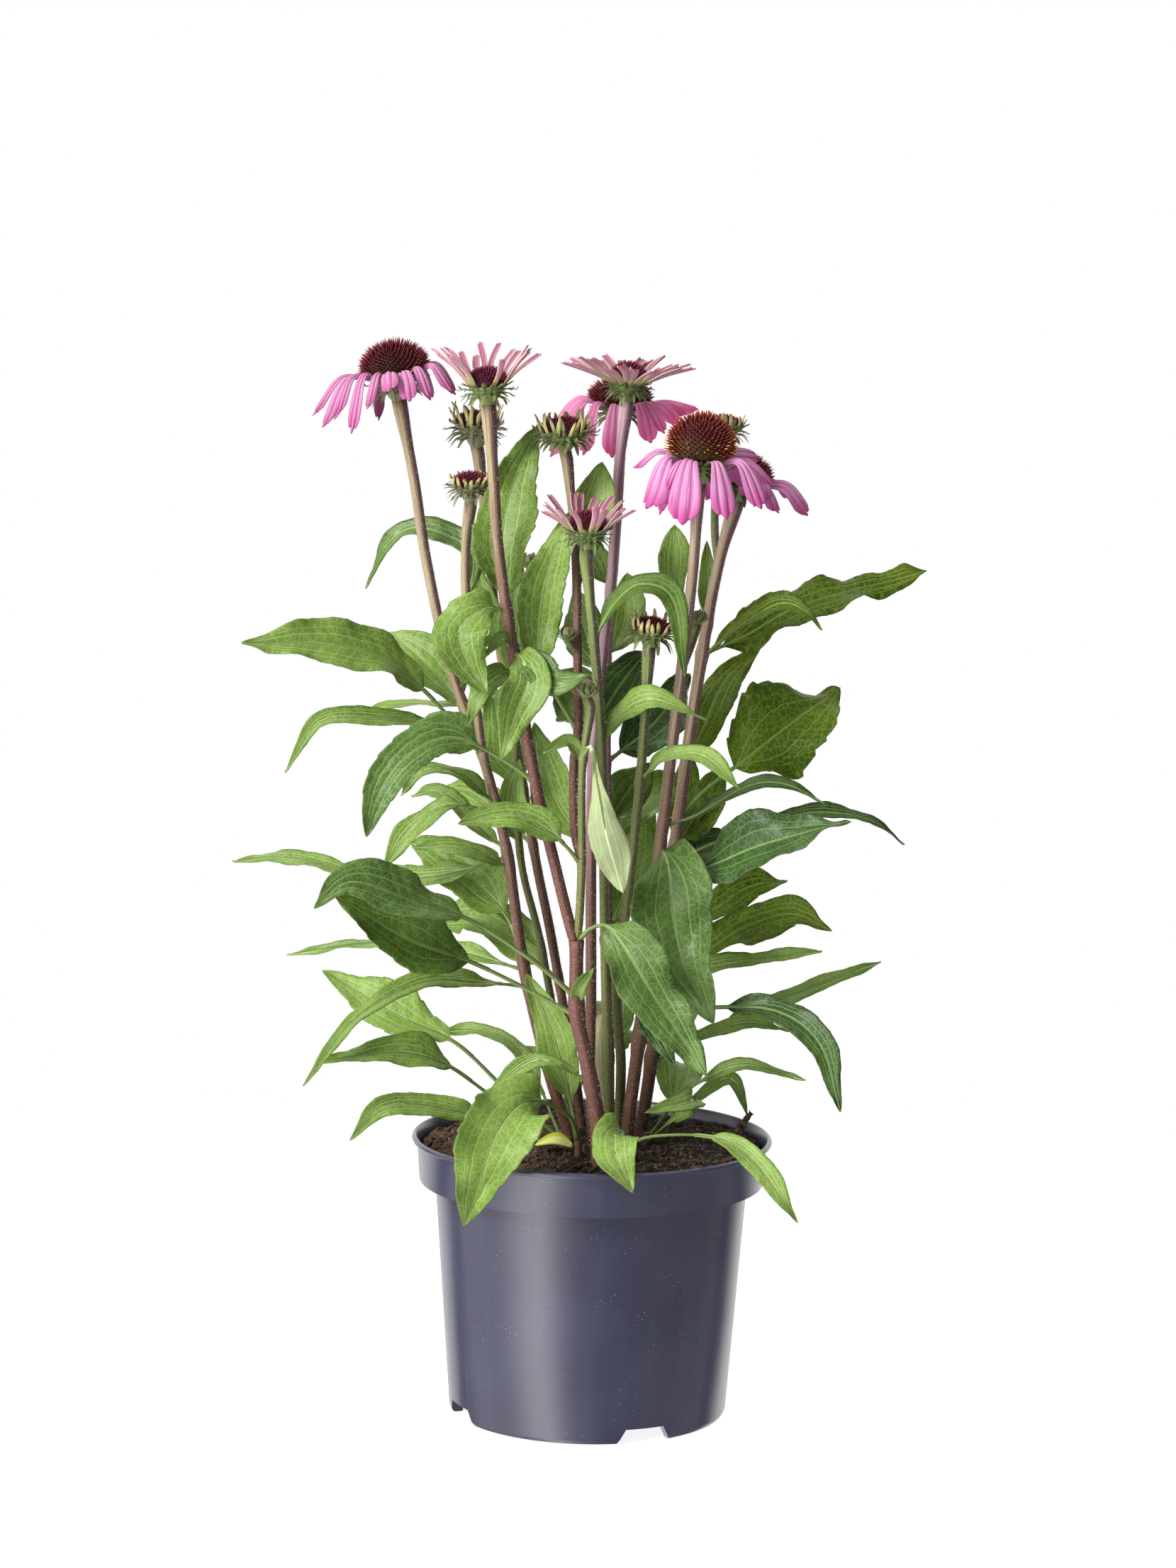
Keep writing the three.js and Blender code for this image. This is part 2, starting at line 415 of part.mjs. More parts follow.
/** A leaf with its stalk, from its row in LEAVES. */
function leafSolid([stemName, height, width, stalkShare, lean, route, widest = BLADE.widest], seed) {
  const points = [pointAt(STEMS[stemName], height), ...route.map(drawn)];
  const curve = new THREE.CatmullRomCurve3(points, false, "catmullrom", 0.5);
  const angle = THREE.MathUtils.degToRad(lean);
  const face = new THREE.Vector3(0, -Math.sin(angle), Math.cos(angle));
  const fold = THREE.MathUtils.degToRad(BLADE.fold);
  const steps = 3 + (width > 13) + (width > 26);
  const shares = [0, stalkShare];
  for (let i = 1; i < steps; i++) shares.push(stalkShare + ((1 - stalkShare) * (i - 0.4)) / (steps - 0.4));
  shares.push(1);
  const rows = shares.map((share, i) => {
    const inBlade = (share - stalkShare) / (1 - stalkShare);
    const tangent = curve.getTangentAt(share);
    const side = new THREE.Vector3().crossVectors(tangent, face).normalize();
    const normal = new THREE.Vector3().crossVectors(side, tangent);
    const tooth = i % 2 ? 1.06 : 0.94;
    const tip = i === shares.length - 1;
    const half = tip ? 0.4 : Math.max(BLADE.stalkWidth / 2, bladeHalfWidth(width, inBlade, widest) * tooth);
    const rise = inBlade > 0 && !tip ? half * Math.sin(fold) : 0;
    const wave = inBlade > 0 && !tip ? 0.09 * width * Math.sin(7 * inBlade + 6 * chance(seed)) : 0;
    const thickness = inBlade > 0 ? BLADE.thickness : BLADE.stalkThickness;
    const lifts = [rise + wave, rise - wave];
    return bladeRow(curve.getPointAt(share), side, normal, half, lifts, tip ? 0.6 : thickness);
  });
  return bladeSolid(rows);
}

// ---------------------------------------------------------------- heads

/** The place and turn of a head on its stem: z runs along its axis from the end of the stem. */
function headFrame(stem, [sideways, forward]) {
  const axis = new THREE.Vector3(
    Math.sin(THREE.MathUtils.degToRad(sideways)),
    -Math.sin(THREE.MathUtils.degToRad(forward)),
    1,
  ).normalize();
  const turn = new THREE.Quaternion().setFromUnitVectors(new THREE.Vector3(0, 0, 1), axis);
  const top = drawn(stem.route[stem.route.length - 1]);
  return new THREE.Matrix4().compose(top, turn, new THREE.Vector3(1, 1, 1));
}

/** A turned body from its profile as [radius, height] points, closed on its axis. */
function turned(profile, sides) {
  const outline = profile.map(([radius, height]) => new THREE.Vector2(radius, height));
  const geometry = new THREE.LatheGeometry(outline, sides);
  geometry.rotateX(Math.PI / 2);
  return solid(geometry);
}

/** A three-sided spike from one point to another. */
function spike(from, to, radius) {
  const along = new THREE.Vector3().subVectors(to, from);
  const geometry = new THREE.ConeGeometry(radius, along.length(), 3, 1);
  geometry.translate(0, along.length() / 2, 0);
  const turn = new THREE.Quaternion().setFromUnitVectors(new THREE.Vector3(0, 1, 0), along.normalize());
  geometry.applyQuaternion(turn);
  geometry.translate(from.x, from.y, from.z);
  return solid(geometry);
}

/** A point in a head's frame, from its angle, radius and height. */
function polar(angle, radius, height) {
  return new THREE.Vector3(Math.cos(angle) * radius, Math.sin(angle) * radius, height);
}

/**
 * A turned body whose row of points juts out as a star: every second point of that row is drawn in to
 * another radius.
 */
function starred(profile, row, innerRadius, points) {
  const outline = profile.map(([radius, height]) => new THREE.Vector2(radius, height));
  const sides = points * 2;
  const geometry = new THREE.LatheGeometry(outline, sides);
  const position = geometry.attributes.position;
  for (let side = 1; side < sides; side += 2) {
    const i = side * profile.length + row;
    const shrink = innerRadius / profile[row][0];
    position.setXYZ(i, position.getX(i) * shrink, position.getY(i), position.getZ(i) * shrink);
  }
  geometry.rotateX(Math.PI / 2);
  return solid(geometry);
}

/** The green cup under a head, with its bracts, in the stem's node. */
function cupSolid(stem, head) {
  const neck = stem.radii[1];
  const brim = head.radius * (head.petals ? 0.62 : 0.92);
  const reach = brim + (head.petals || head.stubs ? 2.5 : 5);
  const profile = [
    [0, -3], [neck, -3], [brim * 0.66, head.cup * 0.3], [reach, head.cup * 0.5], [brim, head.cup],
    [0, head.cup]];
  return starred(profile, 3, brim * 0.8, HEAD.bracts).transform(headFrame(stem, head.tilt).elements);
}

/** Points spread evenly over a dome of a radius and height, from its top down to past its shoulder. */
function domePoints(radius, height, count) {
  const golden = Math.PI * (3 - Math.sqrt(5));
  const reach = 1.22;
  const points = [];
  for (let i = 0; i < count; i++) {
    const level = 1 - (reach * (i + 0.5)) / count;
    const around = Math.sqrt(Math.max(0, 1 - level * level));
    const rise = height * 0.2 + height * 0.8 * level;
    points.push(polar(i * golden, radius * around, Math.max(0, rise)));
  }
  return points;
}

/** A dome of florets: every point of the dome is the tip of a pyramid. */
function floretDome(radius, height, count, relief) {
  const inner = domePoints(radius - relief * 0.6, height - relief, count);
  const hull = mergeVertices(new ConvexGeometry(inner).deleteAttribute("normal"), 1e-3);
  const place = hull.attributes.position;
  const corner = (i) => new THREE.Vector3().fromBufferAttribute(place, i);
  const middle = new THREE.Vector3(0, 0, height * 0.15);
  const points = [];
  for (let i = 0; i < place.count; i++) {
    const tip = corner(i);
    const out = tip.clone().sub(middle).normalize();
    if (tip.z > 0.05) tip.addScaledVector(out, relief);
    points.push(tip);
  }
  const edges = new Map();
  const index = hull.index.array;
  for (let t = 0; t < index.length; t += 3) {
    const face = [index[t], index[t + 1], index[t + 2]];
    const centroid = face.reduce((sum, i) => sum.add(corner(i)), new THREE.Vector3()).divideScalar(3);
    points.push(centroid);
    face.forEach((a, i) => edges.set(a + "-" + face[(i + 1) % 3], points.length - 1));
  }
  const triangles = [];
  for (const [key, near] of edges) {
    const [a, b] = key.split("-").map(Number);
    const far = edges.get(b + "-" + a);
    triangles.push([a, far, near]);
  }
  return solid(geometryOf(points, triangles));
}

/** A petal from its foot over its shoulder to its tip, with its widths at even steps along it. */
function petalSolid(foot, shoulder, tip, widths, outward) {
  const curve = new THREE.CatmullRomCurve3([foot, shoulder, tip], false, "catmullrom", 0.5);
  const rows = widths.map((width, i) => {
    const share = i / (widths.length - 1);
    const tangent = curve.getTangentAt(share);
    const side = new THREE.Vector3().crossVectors(tangent, outward).normalize();
    const normal = new THREE.Vector3().crossVectors(side, tangent).normalize();
    const lift = -0.1 * width;
    return bladeRow(curve.getPointAt(share), side, normal, width / 2, [lift, lift], BLADE.thickness);
  });
  return bladeSolid(rows);
}

/** The flat disc that petals grow from. */
function petalDisc(radius, lift) {
  return turned([[0, lift], [radius, lift], [radius, lift + HEAD.disc], [0, lift + HEAD.disc]], 9);
}

/** The drooping petals of a full bloom. */
function bloomPetals(stem, head) {
  const frame = headFrame(stem, head.tilt);
  const inverse = frame.clone().invert();
  const lift = head.cup + GAP;
  const parts = [petalDisc(head.radius * 0.92, lift)];
  for (const [x, y, z, width] of head.petals) {
    const tip = drawn([x, y, z]).applyMatrix4(inverse);
    const angle = Math.atan2(tip.y, tip.x);
    const reach = Math.hypot(tip.x, tip.y);
    const middle = lift + HEAD.disc / 2;
    const foot = polar(angle, head.radius * 0.74, middle);
    const drop = (tip.z - middle) * 0.08;
    const shoulder = polar(angle, head.radius * 0.95 + (reach - head.radius) * 0.4, middle + drop + 1.7);
    const widths = [width * 0.4, width * 0.9, width, width * 0.55];
    const outward = polar(angle, 0.8, 1);
    outward.y -= HEAD.facing * Math.abs(Math.cos(angle));
    parts.push(petalSolid(foot, shoulder, tip, widths, outward.normalize()));
  }
  return fuse(parts).transform(frame.elements);
}

/** The young petals of an opening head, standing up and out. */
function openingPetals(stem, head) {
  const lift = head.cup + GAP;
  const parts = [petalDisc(head.radius + 1, lift)];
  for (let i = 0; i < head.rays; i++) {
    const angle = ((i + 0.3 * chance(i + 50)) / head.rays) * 2 * Math.PI;
    const reach = head.reach * (0.86 + 0.28 * chance(i + 80));
    const rise = head.rise * (0.86 + 0.28 * chance(i + 110));
    const foot = polar(angle, head.radius * 0.9, lift + HEAD.disc / 2);
    const shoulder = polar(angle, head.radius + (reach - head.radius) * 0.5, lift + rise * 0.42);
    const tip = polar(angle, reach, lift + rise);
    const outward = polar(angle, -0.4, 1).normalize();
    parts.push(petalSolid(foot, shoulder, tip, [2.2, 3.8, 1.4], outward));
  }
  return fuse(parts).transform(headFrame(stem, head.tilt).elements);
}

/** The spiny cone of a bloom. */
function coneSolid(stem, head, relief) {
  const seat = new THREE.Matrix4().makeTranslation(0, 0, head.cup + HEAD.disc + 2 * GAP);
  const frame = headFrame(stem, head.tilt).multiply(seat);
  const radius = head.petals ? head.radius : head.radius * 0.84;
  return floretDome(radius, head.height, head.florets, relief).transform(frame.elements);
}

/** A closed head: a low dome in a ring of stubs. */
function budSolid(stem, head) {
  const lift = head.cup + GAP;
  const { radius, height, rise, stubs } = head;
  const profile = [
    [0, lift], [radius, lift], [radius * 1.15, lift + rise], [radius * 0.72, lift + height * 0.6],
    [0, lift + height]];
  return starred(profile, 2, radius * 0.9, stubs).transform(headFrame(stem, head.tilt).elements);
}

/** A small green bud at the end of a side shoot, with its sepals. */
function smallBudSolid([stemName, radius, height]) {
  const stem = STEMS[stemName];
  const neck = stem.radii[1];
  const profile = [[0, -2], [neck, -2], [radius, height * 0.4], [radius * 0.8, height * 0.8], [0, height]];
  const parts = [turned(profile, 8)];
  for (let i = 0; i < 6; i++) {
    const angle = (i / 6) * 2 * Math.PI;
    const root = polar(angle, radius * 0.5, height * 0.3);
    parts.push(spike(root, polar(angle, radius + 2.5, height * 0.9), 1.6));
  }
  return fuse(parts).transform(headFrame(stem, [0, 5]).elements);
}

// ---------------------------------------------------------------- pot and soil

/** The pot: a turned shell with a deep band, a rolled lip, a raised floor and notches in its foot ring. */
function potSolid() {
  const { height, lipRadius, lipHeight, bandTopRadius, bandFootRadius, bandHeight, bodyTopRadius } = POT;
  const { baseRadius, cornerRadius, wall, footHeight } = POT;
  const bandFoot = height - bandHeight;
  const radiusAt = (z) => baseRadius + ((bodyTopRadius - baseRadius) * z) / bandFoot;
  const outer = [
    [baseRadius - cornerRadius, 0], [radiusAt(cornerRadius), cornerRadius], [bodyTopRadius, bandFoot],
    [bandFootRadius, bandFoot], [bandTopRadius, height - lipHeight], [lipRadius, height - lipHeight * 0.8],
    [lipRadius - 0.6, height - 0.5], [lipRadius - 3, height],
  ];
  const inner = [
    [bandTopRadius - wall, height - 1], [bandFootRadius - wall, bandFoot + wall],
    [bodyTopRadius - wall, bandFoot + wall],
    [radiusAt(footHeight + wall) - wall, footHeight + wall], [0, footHeight + wall],
  ];
  const under = [[0, footHeight], [radiusAt(footHeight) - wall - 4, footHeight],
    [baseRadius - cornerRadius - 4, 0]];
  const shell = turned([...under, ...outer, ...inner], POT.segments);
  const cuts = [];
  for (let i = 0; i < POT.notches; i++) cuts.push(notchSolid(POT.firstNotch + (i * 360) / POT.notches));
  for (let i = 0; i < POT.drainHoles; i++) {
    const angle = ((i + 0.5) / POT.drainHoles) * 2 * Math.PI;
    const hole = new THREE.CylinderGeometry(POT.drainRadius, POT.drainRadius, 10, 6);
    const centre = polar(angle, POT.drainCircle, footHeight);
    hole.rotateX(Math.PI / 2).translate(centre.x, centre.y, centre.z);
    cuts.push(solid(hole));
  }
  return shell.subtract(fuse(cuts));
}

/** One trapezoid notch through the foot ring, at an angle from the front toward +X. */
function notchSolid(degrees) {
  const { notchWidth, notchTopWidth, footHeight, baseRadius } = POT;
  const top = footHeight - 0.6;
  const outline = new THREE.Shape([
    new THREE.Vector2(-notchWidth / 2, -1), new THREE.Vector2(notchWidth / 2, -1),
    new THREE.Vector2(notchTopWidth / 2, top), new THREE.Vector2(-notchTopWidth / 2, top),
  ]);
  const geometry = new THREE.ExtrudeGeometry(outline, { depth: 24, bevelEnabled: false });
  geometry.rotateX(Math.PI / 2).translate(0, -(baseRadius - 18), 0);
  geometry.rotateZ(THREE.MathUtils.degToRad(degrees));
  return solid(geometry);
}

/** The root ball: a rough disc of soil in the pot, with a plain hole for every stem. */
function soilSolid() {
  const bandFoot = POT.height - POT.bandHeight;
  const shrink = POT.wall + 0.8;
  const bottom = POT.footHeight + POT.wall + GAP;
  const radiusAt = (z) => POT.baseRadius + ((POT.bodyTopRadius - POT.baseRadius) * z) / bandFoot - shrink;
  const shelf = bandFoot + POT.wall + GAP;
  const edge = POT.bandTopRadius - shrink - 0.6;
  const profile = [[0, bottom], [radiusAt(bottom), bottom], [radiusAt(shelf), shelf]];
  profile.push([POT.bandFootRadius - shrink - 0.2, shelf], [edge, SOIL.level - 1.5]);
  for (let i = SOIL.rings; i >= 0; i--) profile.push([((edge - 1) * i) / SOIL.rings, SOIL.level]);
  const outline = profile.map(([radius, height]) => new THREE.Vector2(radius, height));
  const geometry = new THREE.LatheGeometry(outline, SOIL.segments);
  geometry.rotateX(Math.PI / 2);
  const position = geometry.attributes.position;
  for (let i = 0; i < position.count; i++) {
    if (position.getZ(i) < SOIL.level - 0.01) continue;
    const [x, y] = [position.getX(i), position.getY(i)];
    const ridges = Math.sin(x * 0.61 + y * 0.23) + Math.sin(y * 0.53 - x * 0.31);
    const bump = ridges + Math.sin(x * 1.3) * Math.sin(y * 1.1);
    position.setZ(i, SOIL.level + SOIL.roughness * (bump / 2));
  }
  const stick = spike(new THREE.Vector3(...STICK.from), new THREE.Vector3(...STICK.to), STICK.radius);
  const rooted = Object.values(STEMS).filter((stem) => stem.route[0][2] < SOIL.level);
  const holes = rooted.map((stem) => stemSolid(stem, HOLE_SLACK).translate([0, 0, -GAP]));
  return solid(geometry).add(stick).subtract(fuse([...holes, stubHole()]));
}

/** The hole in the soil for the cut stub. */
function stubHole() {
  const [radius, depth] = [STUB.radius + HOLE_SLACK, 40];
  const hole = new THREE.CylinderGeometry(radius, radius, depth, STUB.sides);
  hole.rotateX(Math.PI / 2).translate(STUB.x, STUB.y, STUB.foot - GAP + depth / 2);
  return solid(hole);
}

/** Last year's cut stem: a straight stub with a hollow top. */
function stubSolid() {
  const { radius, foot, top } = STUB;
  const hollow = top - 4;
  const profile = [[0, foot], [radius, foot], [radius * 0.95, top], [radius * 0.55, top],
    [radius * 0.5, hollow], [0, hollow]];
  return turned(profile, STUB.sides).translate([STUB.x, STUB.y, 0]);
}

// ---------------------------------------------------------------- the assembly

const LEAFY = ["stem_main", "stem_left", "stem_c", "stem_m", "stem_j", "stem_f", "stem_g", "stem_k",
  "stem_h", "stem_i", "leaves_left", "leaves_right", "leaves_front", "leaves_rim"];

/** Everything that grows on one leafy stem, as one body. */
function leafySolid(node) {
  const names = Object.keys(STEMS).filter((name) => STEMS[name].node === node);
  const parts = names.map((name) => stemSolid(STEMS[name]));
  LEAVES.forEach((row, i) => {
    if (names.includes(row[0])) parts.push(leafSolid(row, i));
  });
  for (const [name, head] of Object.entries({ ...BLOOMS, ...OPENING, ...BUDS })) {
    if (names.includes(name)) parts.push(cupSolid(STEMS[name], head));
  }
  for (const row of SMALL_BUDS) if (names.includes(row[0])) parts.push(smallBudSolid(row));
  return fuse(parts);
}

const plant = new THREE.Group();
plant.add(meshOf("pot", potSolid(), COLOUR.pot, 0.42));
plant.add(meshOf("soil", soilSolid(), COLOUR.soil, 0.95));
plant.add(meshOf("stub", stubSolid(), COLOUR.stub, 0.6));
for (const node of LEAFY) plant.add(meshOf(node, leafySolid(node), COLOUR.leaf, 0.6));
for (const [name, head] of Object.entries(BLOOMS)) {
  plant.add(meshOf("petals_" + name, bloomPetals(STEMS[name], head), COLOUR[head.colour], 0.5));
  plant.add(meshOf("cone_" + name, coneSolid(STEMS[name], head, HEAD.ripeRelief), COLOUR.ripeCone, 0.6));
}
for (const [name, head] of Object.entries(OPENING)) {
  plant.add(meshOf("petals_" + name, openingPetals(STEMS[name], head), COLOUR.youngPetal, 0.5));
  plant.add(meshOf("cone_" + name, coneSolid(STEMS[name], head, HEAD.youngRelief), COLOUR.cone, 0.6));
}
for (const [name, head] of Object.entries(BUDS))
  plant.add(meshOf("bud_" + name, budSolid(STEMS[name], head), COLOUR.bud, 0.6));

// The origin is on the floor, under the middle of the whole plant.
const bounds = new THREE.Box3().setFromObject(plant);
const middle = bounds.getCenter(new THREE.Vector3());
plant.position.set(-middle.x, -middle.y, -bounds.min.z);

export default plant;
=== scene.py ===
"""A purple coneflower in its nursery pot.

The stems, leaves, heads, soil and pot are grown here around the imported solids, from the same named sizes.
Everything is worked out in millimetres about the pot's axis, and set into the row frame, in metres, when a
piece is finished.
"""

from __future__ import annotations

import logging
import math
from dataclasses import dataclass
from enum import Enum
from functools import cache
from typing import Callable, Optional, Sequence

import bmesh
import bpy
import numpy as np
from mathutils import Matrix, Vector, noise

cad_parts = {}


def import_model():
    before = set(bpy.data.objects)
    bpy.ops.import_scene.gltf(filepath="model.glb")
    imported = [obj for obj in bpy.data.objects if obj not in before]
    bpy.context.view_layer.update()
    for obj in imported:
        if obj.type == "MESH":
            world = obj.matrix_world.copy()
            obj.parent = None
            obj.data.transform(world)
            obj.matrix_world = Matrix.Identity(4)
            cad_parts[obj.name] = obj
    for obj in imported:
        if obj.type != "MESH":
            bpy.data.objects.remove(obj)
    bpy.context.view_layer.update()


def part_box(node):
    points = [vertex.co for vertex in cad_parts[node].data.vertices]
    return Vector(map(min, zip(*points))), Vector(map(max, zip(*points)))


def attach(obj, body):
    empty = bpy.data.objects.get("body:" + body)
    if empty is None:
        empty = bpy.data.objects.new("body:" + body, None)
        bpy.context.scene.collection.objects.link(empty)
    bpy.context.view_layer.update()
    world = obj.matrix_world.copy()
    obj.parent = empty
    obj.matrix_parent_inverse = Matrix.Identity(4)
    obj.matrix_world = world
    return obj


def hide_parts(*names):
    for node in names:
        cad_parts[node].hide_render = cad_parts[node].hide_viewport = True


log = logging.getLogger("coneflower")

MM = 0.001
BODY = "root"
GOLDEN_ANGLE = math.pi * (3 - math.sqrt(5))
VEIN_STEP = 8.5  # how far apart the side veins of a leaf stand, in millimetres
VEIN_SLANT = 0.85  # how far they run on along the leaf for each millimetre out from its rib
UP = Vector((0, 0, 1))
FRONT = Vector((0, -1, 0))

Point = tuple[float, float, float]
Colour = tuple[float, float, float]


# ---------------------------------------------------------------- sums


def chance(seed: float) -> float:
    """A repeatable random number from 0 to 1 for a whole number."""
    wave = math.sin(seed * 12.9898 + 4.1414) * 43758.5453
    return wave - math.floor(wave)


def ease(low: float, high: float, value: np.ndarray) -> np.ndarray:
    """Rises smoothly from 0 at low to 1 at high."""
    share = np.clip((value - low) / (high - low), 0, 1)
    return share * share * (3 - 2 * share)


def bell(value: np.ndarray, width: float) -> np.ndarray:
    """1 at zero, falling off smoothly over a width."""
    return np.exp(-((value / width) ** 2))


def unit(rows: np.ndarray) -> np.ndarray:
    """Rows of vectors, each brought to length 1."""
    return rows / np.maximum(np.linalg.norm(rows, axis=-1, keepdims=True), 1e-9)


def polar(angle: float, radius: float, height: float) -> Vector:
    """A point from its angle, radius and height."""
    return Vector((math.cos(angle) * radius, math.sin(angle) * radius, height))


def rim(angle: np.ndarray, radius: np.ndarray, height: np.ndarray) -> np.ndarray:
    """Points round the Z axis, one row each."""
    return np.stack([np.cos(angle) * radius, np.sin(angle) * radius, height], axis=-1)


def tinted(colour: Colour, share: float, lift: float = 0.0) -> Colour:
    """A colour made darker or lighter by a share, and lifted toward white."""
    return tuple(min(1.0, part * share + lift) for part in colour)


@dataclass(frozen=True)
class Elevation:
    """The drawing that the plant is measured on, in the plane of the pot's axis.

    Args:
        axis_x: Where the pot's axis stands along X in the row frame, in metres.
        axis_y: The same along Y.
        eye_x: Where the eye that the drawing is seen by stands, in millimetres from the pot's axis.
        eye_z: The eye's height over the floor.
        distance: How far the eye stands in front of the drawing.
    """

    axis_x: float
    axis_y: float
    eye_x: float = -5.4
    eye_z: float = 604.0
    distance: float = 2116.0

    def place(self, point: Sequence[float]) -> Vector:
        """The point in space of a point drawn in elevation, at depth y behind the drawing."""
        x, y, z = point
        spread = (self.distance + y) / self.distance
        return Vector((self.eye_x + (x - self.eye_x) * spread, y, self.eye_z + (z - self.eye_z) * spread))

    def to_frame(self) -> Matrix:
        """Takes millimetres about the pot's axis to the row frame in metres."""
        return Matrix.Translation((self.axis_x, self.axis_y, 0)) @ Matrix.Scale(MM, 4)


class Route:
    """A smooth line through points, measured along its length."""

    SAMPLES = 240

    def __init__(self, points: Sequence[Vector]) -> None:
        """Runs the line through the points.

        Args:
            points: Two or more points, in millimetres.
        """
        knots = np.array([tuple(p) for p in points], float)
        ends = np.vstack([2 * knots[0] - knots[1], knots, 2 * knots[-1] - knots[-2]])
        self.times = np.linspace(0, len(knots) - 1, self.SAMPLES + 1)
        first = np.minimum(self.times.astype(int), len(knots) - 2)
        t = (self.times - first)[:, None]
        before, start, stop, after = (ends[first + i] for i in range(4))
        leave, arrive = (stop - before) / 2, (after - start) / 2
        cubic = 2 * start - 2 * stop + leave + arrive
        square = -3 * start + 3 * stop - 2 * leave - arrive
        self.line = cubic * t**3 + square * t**2 + leave * t + start
        gaps = np.linalg.norm(np.diff(self.line, axis=0), axis=1)
        self.run = np.concatenate([[0], np.cumsum(gaps)])
        self.length = float(self.run[-1])
        self.heading = unit(np.gradient(self.line, axis=0))

    def at(self, shares: np.ndarray) -> np.ndarray:
        """The points at shares of the length, one row each."""
        return self._read(self.line, shares)

    def along(self, shares: np.ndarray) -> np.ndarray:
        """The unit tangents at shares of the length, one row each."""
        return unit(self._read(self.heading, shares))

    def _read(self, rows: np.ndarray, shares: np.ndarray) -> np.ndarray:
        """Rows of the line, read at shares of its length."""
        reach = np.asarray(shares, float) * self.length
        return np.stack([np.interp(reach, self.run, rows[:, k]) for k in range(3)], axis=-1)


# ---------------------------------------------------------------- finishes


